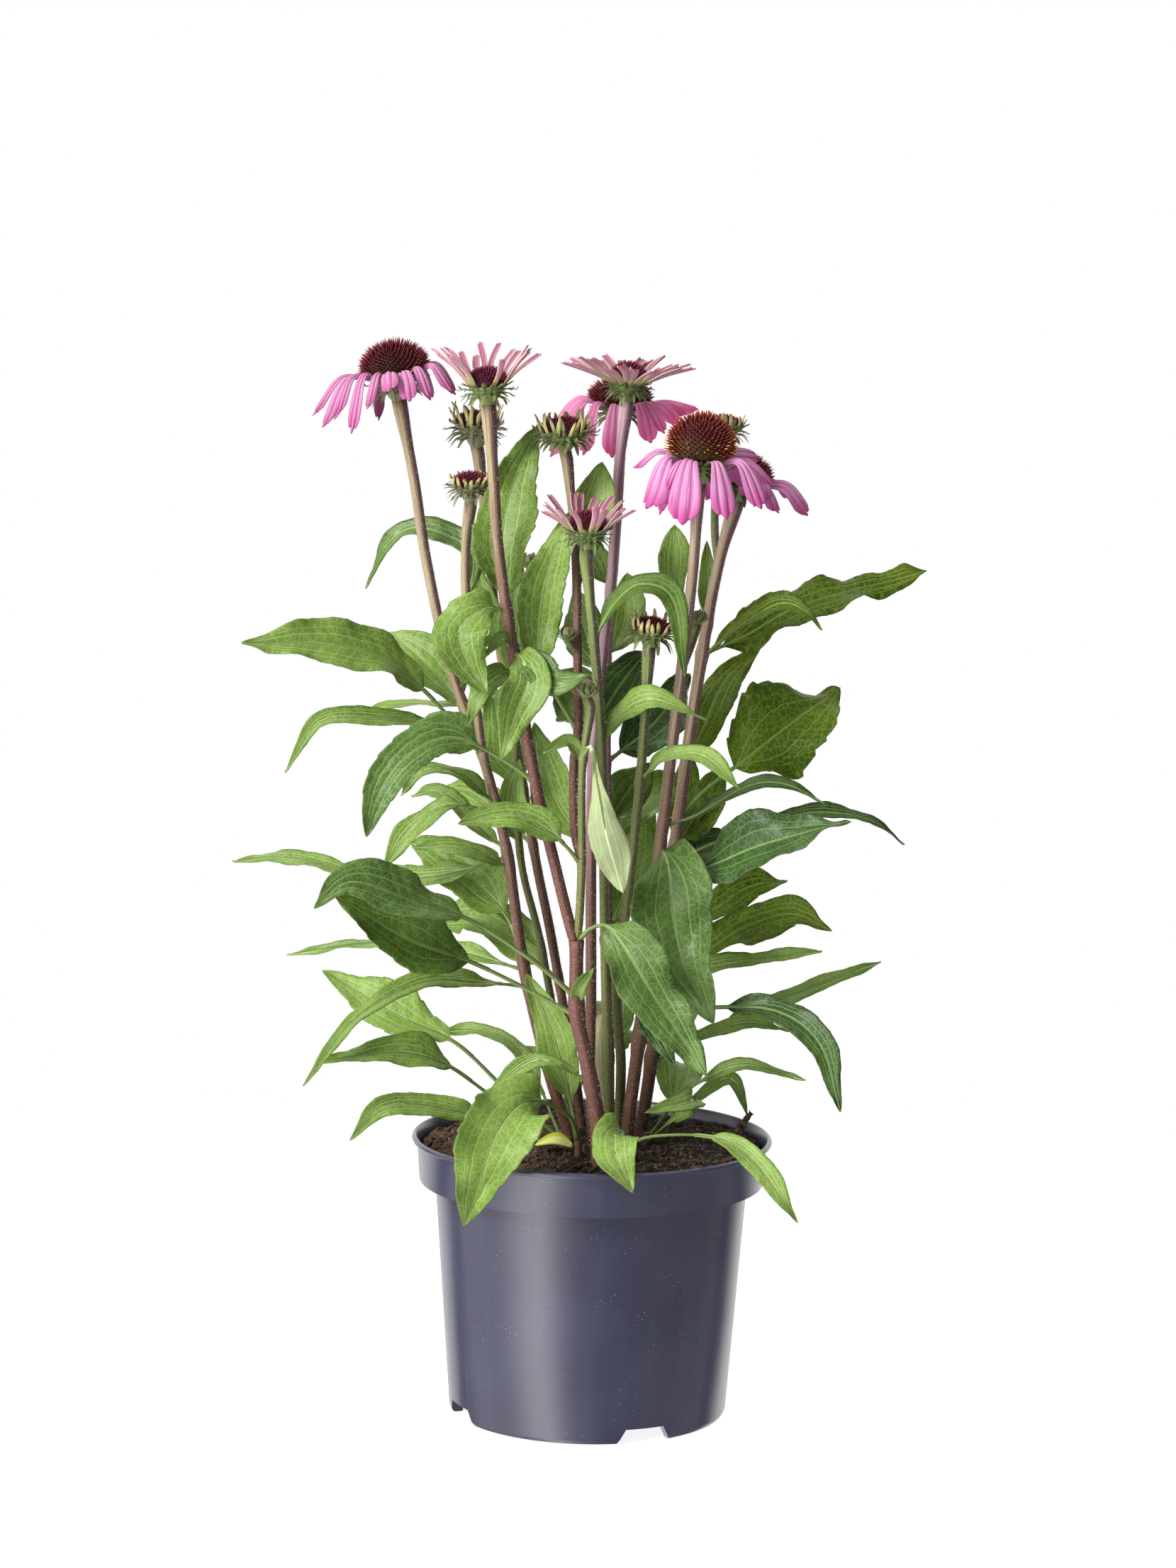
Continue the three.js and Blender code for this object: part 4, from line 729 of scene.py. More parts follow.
class Growth:
    """One piece under construction, in millimetres about the pot's axis."""

    def __init__(self, name: str, coats: Sequence[bpy.types.Material]) -> None:
        """Starts an empty piece.

        Args:
            name: The piece's name.
            coats: Its materials, in the order that its faces name them by.
        """
        self.name = name
        self.coats = list(coats)
        self.mesh = bmesh.new()
        self.shape = self.mesh.verts.layers.float_vector.new("shape")
        self.span = self.mesh.verts.layers.float_vector.new("span")

    def sheet(
        self,
        columns: int,
        rows: int,
        surface: Callable[[np.ndarray, np.ndarray], Surface],
        coat_index: int = 0,
        closed: bool = False,
    ) -> None:
        """Lays a grid over a surface.

        Args:
            columns: How many faces it has across.
            rows: How many faces it has along.
            surface: Takes the places across and along, from 0 to 1, to the surface there.
            coat_index: Which of the piece's materials it wears.
            closed: Whether its sides meet and its ends come to a point, as on a stem.
        """
        first = len(self.mesh.faces)
        made = bmesh.ops.create_grid(self.mesh, x_segments=columns, y_segments=rows, size=0.5)
        corners = made["verts"]
        flat = np.array([corner.co[:] for corner in corners]) + 0.5
        laid = surface(flat[:, 0], flat[:, 1])
        for corner, point, shape, span in zip(
            corners, laid.points.tolist(), laid.shape.tolist(), laid.span.tolist()
        ):
            corner.co = point
            corner[self.shape] = shape
            corner[self.span] = span
        self.mesh.faces.ensure_lookup_table()
        for face in self.mesh.faces[first:]:
            face.material_index = coat_index
            face.smooth = True
        if closed:
            bmesh.ops.remove_doubles(self.mesh, verts=corners, dist=1e-4)

    def tube(
        self,
        route: Route,
        radius: Callable[[np.ndarray, np.ndarray], np.ndarray],
        sides: int,
        rings: int,
        coat_index: int = 0,
        sink: Optional[Callable[[np.ndarray], np.ndarray]] = None,
    ) -> None:
        """Grows a closed round body along a route.

        Args:
            route: Its middle line.
            radius: Takes the angle round it and the share along it to its radius.
            sides: How many sides it has.
            rings: How many rings it has along it.
            coat_index: Which of the piece's materials it wears.
            sink: Takes the share along it to a shift of the middle line.
        """

        def surface(u: np.ndarray, v: np.ndarray) -> Surface:
            share = np.clip((v * rings - 1) / (rings - 2), 0, 1)
            ends = (v * rings > 0.5) & (v * rings < rings - 0.5)
            angle = 2 * math.pi * u
            right, front = round_frame(route.along(share))
            thick = radius(angle, share) * ends
            out, over = np.sin(angle), np.cos(angle)
            points = route.at(share) + right * (over * thick)[:, None] + front * (out * thick)[:, None]
            if sink:
                points = points + sink(share)
            shape = np.stack([out, over, points[:, 2]], axis=-1)
            return Surface(points, shape, np.stack([angle, share * route.length, 0 * angle], axis=-1))

        self.sheet(sides, rings, surface, coat_index, closed=True)

    def finish(
        self,
        elevation: Elevation,
        replaces: Sequence[str] = (),
        thickness: float = 0,
        outward: bool = False,
    ) -> bpy.types.Object:
        """Sets the piece into the scene.

        Args:
            elevation: The drawing it was measured on.
            replaces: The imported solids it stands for.
            thickness: How thick its sheets are, in millimetres.
            outward: Whether its faces are turned outwards.

        Returns:
            The piece.
        """
        if outward:
            bmesh.ops.recalc_face_normals(self.mesh, faces=self.mesh.faces[:])
        made = settle(self.name, to_data(self.mesh, self.name, elevation), self.coats, replaces)
        if thickness:
            wall = made.modifiers.new("wall", "SOLIDIFY")
            wall.thickness = thickness * MM
            wall.offset = -1
            wall.material_offset = 1
        return made


def settle(
    name: str,
    data: bpy.types.Mesh,
    coats: Sequence[bpy.types.Material],
    replaces: Sequence[str] = (),
) -> bpy.types.Object:
    """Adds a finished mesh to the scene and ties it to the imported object.

    Args:
        name: The piece's name.
        data: Its mesh, in the row frame.
        coats: Its materials.
        replaces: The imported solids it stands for.

    Returns:
        The piece.
    """
    made = set_out(name, data)
    for material in coats:
        data.materials.append(material)
    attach(made, BODY)
    if replaces:
        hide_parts(*replaces)
    log.info("piece %s: %d faces", name, len(data.polygons))
    return made


def round_frame(heading: np.ndarray) -> tuple[np.ndarray, np.ndarray]:
    """The directions to the right of and in front of a line that runs upward, one row each."""
    right = unit(np.cross(np.array(FRONT), heading) * -1)
    return right, np.cross(heading, right)


class Stamp:
    """A small shape that is repeated many times in one piece."""

    def __init__(self, shape: bmesh.types.BMesh) -> None:
        """Keeps a shape to be repeated.

        Args:
            shape: The shape, about its own origin, along Z.
        """
        shape.verts.index_update()
        self.points = np.array([corner.co[:] for corner in shape.verts])
        self.loops = np.array([corner.index for face in shape.faces for corner in face.verts])
        self.sizes = np.array([len(face.verts) for face in shape.faces])
        shape.free()

    def copies(
        self,
        name: str,
        elevation: Elevation,
        origins: np.ndarray,
        headings: np.ndarray,
        widths: np.ndarray,
        lengths: np.ndarray,
        marks: Optional[np.ndarray] = None,
    ) -> bpy.types.Mesh:
        """Repeats the shape along headings.

        Args:
            name: The mesh's name.
            elevation: The drawing it is measured on.
            origins: Where each copy starts, one row each.
            headings: Which way each copy runs, one row each.
            widths: How many times as wide as the shape each copy is.
            lengths: How many times as long.
            marks: Two numbers a copy that its finish reads.

        Returns:
            The mesh, in the row frame.
        """
        ahead = unit(headings)
        steady = np.where(np.abs(ahead[:, 2:3]) < 0.9, [[0.0, 0.0, 1.0]], [[1.0, 0.0, 0.0]])
        side = unit(np.cross(steady, ahead))
        front = np.cross(ahead, side)
        x, y, z = self.points.T
        flat = side[:, None] * x[None, :, None] + front[:, None] * y[None, :, None]
        tall = (ahead * lengths[:, None])[:, None] * z[None, :, None]
        points = origins[:, None] + flat * widths[:, None, None] + tall
        shift = np.array((elevation.axis_x, elevation.axis_y, 0))
        placed = points.reshape(-1, 3) * MM + shift
        count, corners = len(origins), len(self.points)
        data = bpy.data.meshes.new(name)
        data.vertices.add(count * corners)
        data.vertices.foreach_set("co", placed.ravel().astype(np.float32))
        loops = (self.loops[None] + corners * np.arange(count)[:, None]).ravel()
        sizes = np.tile(self.sizes, count)
        data.loops.add(len(loops))
        data.loops.foreach_set("vertex_index", loops.astype(np.int32))
        data.polygons.add(len(sizes))
        starts = np.concatenate([[0], np.cumsum(sizes)[:-1]])
        data.polygons.foreach_set("loop_start", starts.astype(np.int32))
        data.update(calc_edges=True)
        told = marks if marks is not None else np.zeros((count, 2))
        shape = np.empty((count, corners, 3))
        shape[:, :, 0] = z[None]
        shape[:, :, 1:] = told[:, None]
        layer = data.attributes.new("shape", "FLOAT_VECTOR", "POINT")
        layer.data.foreach_set("vector", shape.ravel().astype(np.float32))
        data.validate()
        return data


def bristle() -> Stamp:
    """A three-sided hair."""
    shape = bmesh.new()
    bmesh.ops.create_cone(shape, cap_ends=True, segments=3, radius1=1, radius2=0, depth=1)
    bmesh.ops.translate(shape, vec=(0, 0, 0.5), verts=shape.verts[:])
    return Stamp(shape)


def floret() -> Stamp:
    """A five-sided chaffy spike with a belly."""
    shape = bmesh.new()
    bmesh.ops.create_cone(shape, cap_ends=True, segments=5, radius1=0.85, radius2=0.05, depth=1)
    bmesh.ops.translate(shape, vec=(0, 0, 0.5), verts=shape.verts[:])
    upright = [e for e in shape.edges if abs(e.verts[0].co.z - e.verts[1].co.z) > 0.5]
    cut = bmesh.ops.subdivide_edges(shape, edges=upright, cuts=1)
    for corner in [g for g in cut["geom_inner"] if isinstance(g, bmesh.types.BMVert)]:
        corner.co.xy *= 1.55
    return Stamp(shape)


def crumb(seed: int) -> Stamp:
    """A knobbly grain."""
    shape = bmesh.new()
    bmesh.ops.create_icosphere(shape, subdivisions=1, radius=1)
    for i, corner in enumerate(shape.verts):
        corner.co *= 0.7 + 0.6 * chance(seed + i)
    return Stamp(shape)


# ---------------------------------------------------------------- stems and leaves


@dataclass(frozen=True)
class Stem:
    """A stem as it is drawn in elevation.

    Args:
        node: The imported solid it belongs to.
        foot: Its radius at its foot, in millimetres.
        top: Its radius at its top.
        route: The points it runs through.
    """

    node: str
    foot: float
    top: float
    route: tuple[Point, ...]

    def line(self, elevation: Elevation) -> Route:
        """The line it runs along in space."""
        return Route([elevation.place(point) for point in self.route])

    def join(self, elevation: Elevation, height: float) -> Vector:
        """The point on the stem that is drawn at a height."""
        line = self.line(elevation).line
        spread = (elevation.distance + line[:, 1]) / elevation.distance
        wanted = elevation.eye_z + (height - elevation.eye_z) * spread
        return Vector(line[int(np.argmin(np.abs(line[:, 2] - wanted)))])


@dataclass(frozen=True)
class Leaf:
    """A leaf as it is drawn in elevation.

    Args:
        stem: The stem it grows on.
        height: The height it grows from.
        width: Its widest width.
        stalk: The share of its length that is stalk.
        lean: How far its upper face leans toward the front, in degrees.
        route: The points its rib runs through after the stem.
        look: Its finish.
        widest: The share of its blade where it is widest.
    """

    stem: str
    height: float
    width: float
    stalk: float
    lean: float
    route: tuple[Point, ...]
    look: Look = Look.FRESH
    widest: float = 0.38

    FULLNESS = 0.8
    FOLD = 24.0
    THICKNESS = 0.42
    TOOTH_STEP = 9.0

    def line(self, elevation: Elevation) -> Route:
        """The line its rib runs along in space."""
        start = STEMS[self.stem].join(elevation, self.height)
        return Route([start, *(elevation.place(point) for point in self.route)])

    def frame(self, line: Route, shares: np.ndarray) -> tuple[np.ndarray, np.ndarray, np.ndarray]:
        """Its middle and the directions to its side and out of its face.

        Args:
            line: The line its rib runs along.
            shares: The shares of its length that are asked for.

        Returns:
            The points and the two directions, one row for each share.
        """
        lean = math.radians(self.lean)
        face = np.array((0, -math.sin(lean), math.cos(lean)))
        heading = line.along(shares)
        side = unit(np.cross(heading, face))
        return line.at(shares), side, np.cross(side, heading)

    def half_width(self, share: np.ndarray) -> np.ndarray:
        """Half its width at shares of its blade."""
        turn = math.pi * np.clip(share, 0, 1) ** (math.log(0.5) / math.log(self.widest))
        return self.width / 2 * np.clip(np.sin(turn), 0, 1) ** self.FULLNESS

    def grow_blade(self, growth: Growth, elevation: Elevation, seed: int, coat_index: int) -> None:
        """Lays the blade out as a sheet.

        Args:
            growth: The piece it becomes part of.
            elevation: The drawing it is measured on.
            seed: What its own irregularities are drawn from.
            coat_index: Which of the piece's materials its upper face wears.
        """
        line = self.line(elevation)
        first = 0.8 * self.stalk
        length = line.length * (1 - self.stalk)
        turn = 6 * chance(seed)
        fold = math.radians(self.FOLD + 12 * (chance(seed + 200) - 0.5))
        jag = (0.25 + 0.75 * chance(seed + 300)) * min(1.0, self.width / 26)
        ruffle = (0.04 + 0.06 * chance(seed + 600)) * (1.5 if self.look is Look.BACKLIT else 1.0)
        teeth = length / self.TOOTH_STEP
        off = 90 * chance(seed + 400)

        def surface(u: np.ndarray, v: np.ndarray) -> Surface:
            across = 2 * u - 1
            share = first + (1 - first) * v
            blade = np.clip((share - self.stalk) / (1 - self.stalk), 0, 1)
            middle, side, normal = self.frame(line, share)
            way = np.sign(across)
            body = ease(0, 0.1, blade) * (1 - ease(0.88, 1, blade))
            saw = (blade * teeth + 0.37 * way + off) % 1.0
            lobe = np.sin(blade * 9 + turn + 2.1 * way)
            bay = np.sin(blade * length / 5.3 + 1.9 * way - turn)
            ragged = 1 + body * (0.08 * lobe + 0.035 * bay + 0.12 * jag * (saw - 0.5))
            stalked = 1.05 * (1 - ease(0, 0.3, blade))
            half = np.hypot(stalked, self.half_width(blade) * ragged) + 0.06
            reach = np.abs(across)
            rise = half * math.sin(fold) * (1 - 0.5 * blade) * reach**1.3
            wave = 0.11 * self.width * np.sin(7 * blade + turn) * across
            run = blade * length
            uneven = np.sin(run / 7.1 + 2.4 * way + turn) + 0.7 * np.sin(run / 3.9 + turn * way)
            ripple = ruffle * self.width * reach**2 * uneven
            roll = 0.1 * self.width * (chance(seed + 500) - 0.35) * reach**4
            nerve = 0.5 * (1 - np.exp(-7 * blade)) * (1 - 0.3 * blade)
            grooves = 0.4 * bell(reach * half, 0.9) + 0.3 * bell((reach - nerve) * half, 0.8)
            rung = (run - VEIN_SLANT * reach * half) / VEIN_STEP
            pucker = 0.16 * np.cos(2 * math.pi * rung) * np.clip(reach * 3, 0, 1)
            swell = np.sin(run / 11 + 3 * across + turn) + np.sin(run / 6.3 - 5 * across - off)
            pucker = pucker + 0.016 * self.width * swell * reach
            lift = body * (rise - wave + ripple - roll + pucker) - grooves * ease(0, 0.1, blade)
            points = middle + side * (across * half)[:, None] + normal * lift[:, None]
            shape = np.stack([across, blade, half], axis=-1)
            span = np.stack([across * half + off, run + off, 0 * across + off], axis=-1)
            return Surface(points, shape, span)

        columns = 2 * round(min(14, max(4, self.width * 0.36)))
        growth.sheet(columns, max(14, round(line.length / 2.1)), surface, coat_index)

    def grow_stalk(self, growth: Growth, elevation: Elevation, coat_index: int) -> None:
        """Grows the stalk, which runs on as the rib under the blade.

        Args:
            growth: The piece it becomes part of.
            elevation: The drawing it is measured on.
            coat_index: Which of the piece's materials it wears.
        """
        line = self.line(elevation)
        thick = min(1.3, 0.75 + self.width / 45)

        def plain(share: np.ndarray) -> np.ndarray:
            return thick * (1 - 0.28 * ease(0, self.stalk, share) - 0.55 * ease(self.stalk, 0.95, share))

        def radius(_: np.ndarray, share: np.ndarray) -> np.ndarray:
            return plain(share) * (1 + 0.6 * bell(share * line.length, 4))

        def sink(share: np.ndarray) -> np.ndarray:
            _, _, normal = self.frame(line, share)
            depth = 0.35 + 0.65 * ease(self.stalk * 0.7, self.stalk * 1.3, share)
            return -normal * (plain(share) * depth)[:, None]

        growth.tube(line, radius, 8, max(10, round(line.length / 5)), coat_index, sink)


STEMS: dict[str, Stem] = {
    "main": Stem("stem_main", 4.3, 3.6, ((5.5, -50, 118), (3.4, -50, 143), (2.8, -50, 156), (-4, -50, 189),
        (-9, -49, 212), (-10, -48, 251))),
    "b": Stem("stem_main", 3, 2.7, ((-10, -48, 249), (-13, -48, 257), (-20.7, -48, 286), (-32.7, -47, 334),
        (-44, -46, 394), (-53.7, -45, 453), (-57, -45, 492), (-60.3, -45, 530))),
    "l": Stem("stem_main", 2.3, 1.9, ((-10, -48, 249), (-8.6, -49, 266), (-8, -50, 294), (-8.5, -53, 342),
        (-5, -55, 372), (-7, -56, 380))),
    "e": Stem("stem_main", 2.5, 2.2, ((-8, -50, 294), (-12, -47, 311), (-12.9, -41, 346), (-11, -38, 361),
        (-12, -33, 401), (-13.9, -26, 452), (-18.7, -20, 499), (-20.6, -20, 508))),
    "left": Stem("stem_left", 3.2, 2.6, ((-10.7, 8, 118), (-10.7, 8, 143), (-22.8, 7, 179), (-37, 5, 235),
        (-47.4, 2, 298.5), (-61, 0, 350))),
    "d": Stem("stem_left", 2.5, 2.2, ((-60.6, 0, 348), (-63, -1, 364), (-70, -5, 425), (-70.8, -8, 458),
        (-68.4, -10, 481))),
    "a": Stem("stem_left", 2.6, 2.6, ((-60.6, 0, 348), (-67, 1, 364), (-80, 3, 400), (-91.6, 5, 451),
        (-98, 7, 490.5), (-106.4, 8, 532))),
    "c": Stem("stem_c", 2.6, 2.3, ((-3, 36, 118), (-5, 36, 150), (-21.7, 35, 245), (-33.9, 33, 303),
        (-54, 30, 416), (-64.3, 26, 499), (-66, 25, 509))),
    "m": Stem("stem_m", 2.3, 1.7, ((-8, 23, 118), (-12, 22, 160), (-28, 18, 246), (-40.7, 14, 300),
        (-43, 26, 380), (-37, 40, 446))),
    "j": Stem("stem_j", 2.6, 2.4, ((9, -16, 118), (9, -16, 150), (5, -22, 250), (2, -30, 342),
        (-2.4, -38, 397), (-8, -48, 448), (-8, -50, 457))),
    "f": Stem("stem_f", 2.9, 2.5, ((0, 18, 118), (0, 18, 141), (-2, 14, 230), (-3, 8, 350), (4.6, 3, 437),
        (7.4, 1, 495), (11, 0, 533))),
    "g": Stem("stem_g", 2.8, 2.5, ((8, 28, 118), (9, 29, 160), (5, 31, 300), (3, 32, 400), (6, 33, 450),
        (8, 35, 495), (7, 35, 521))),
    "k": Stem("stem_k", 2.8, 2.3, ((14, -3, 118), (14, -4, 151), (14.6, -9, 186), (11.7, -13, 226),
        (17, -18, 280), (22.2, -26, 343), (25.2, -35, 407))),
    "h": Stem("stem_h", 3.6, 2.7, ((20, -14, 118), (18.5, -14, 148), (24, -13, 201), (33.6, -16, 308),
        (42, -20, 393), (47.2, -23, 449), (48.8, -25, 492))),
    "n": Stem("stem_h", 1.7, 1.6, ((42, -20, 393), (46, -13, 405), (50, -9, 419))),
    "i": Stem("stem_i", 3.4, 2.8, ((25, 20, 118), (26, 20, 150), (31, 20, 193), (42, 22, 315),
        (53, 24, 405), (60.3, 26, 450), (69, 28, 483))),
    "o": Stem("stem_i", 2.1, 2.1, ((60.3, 26, 450), (58, 44, 466), (58, 62, 488), (61, 66, 513))),
    "p": Stem("stem_main", 1.4, 1.3, ((-12.2, -32, 404), (-15, -36, 406), (-17.5, -38, 409))),
    "crown_left": Stem("leaves_left", 5.5, 3, ((-15, -8, 118), (-15, -8, 140), (-17, -8, 149))),
    "crown_right": Stem("leaves_right", 5.5, 3, ((28, 2, 118), (28, 2, 140), (29, 2, 149))),
    "crown_front": Stem("leaves_front", 4.5, 2.6, ((-7, -38, 118), (-7, -38, 140), (-8, -38, 148))),
    "crown_rim": Stem("leaves_rim", 4.5, 2.6, ((18, -46, 118), (18, -46, 140), (19, -46, 147))),
}

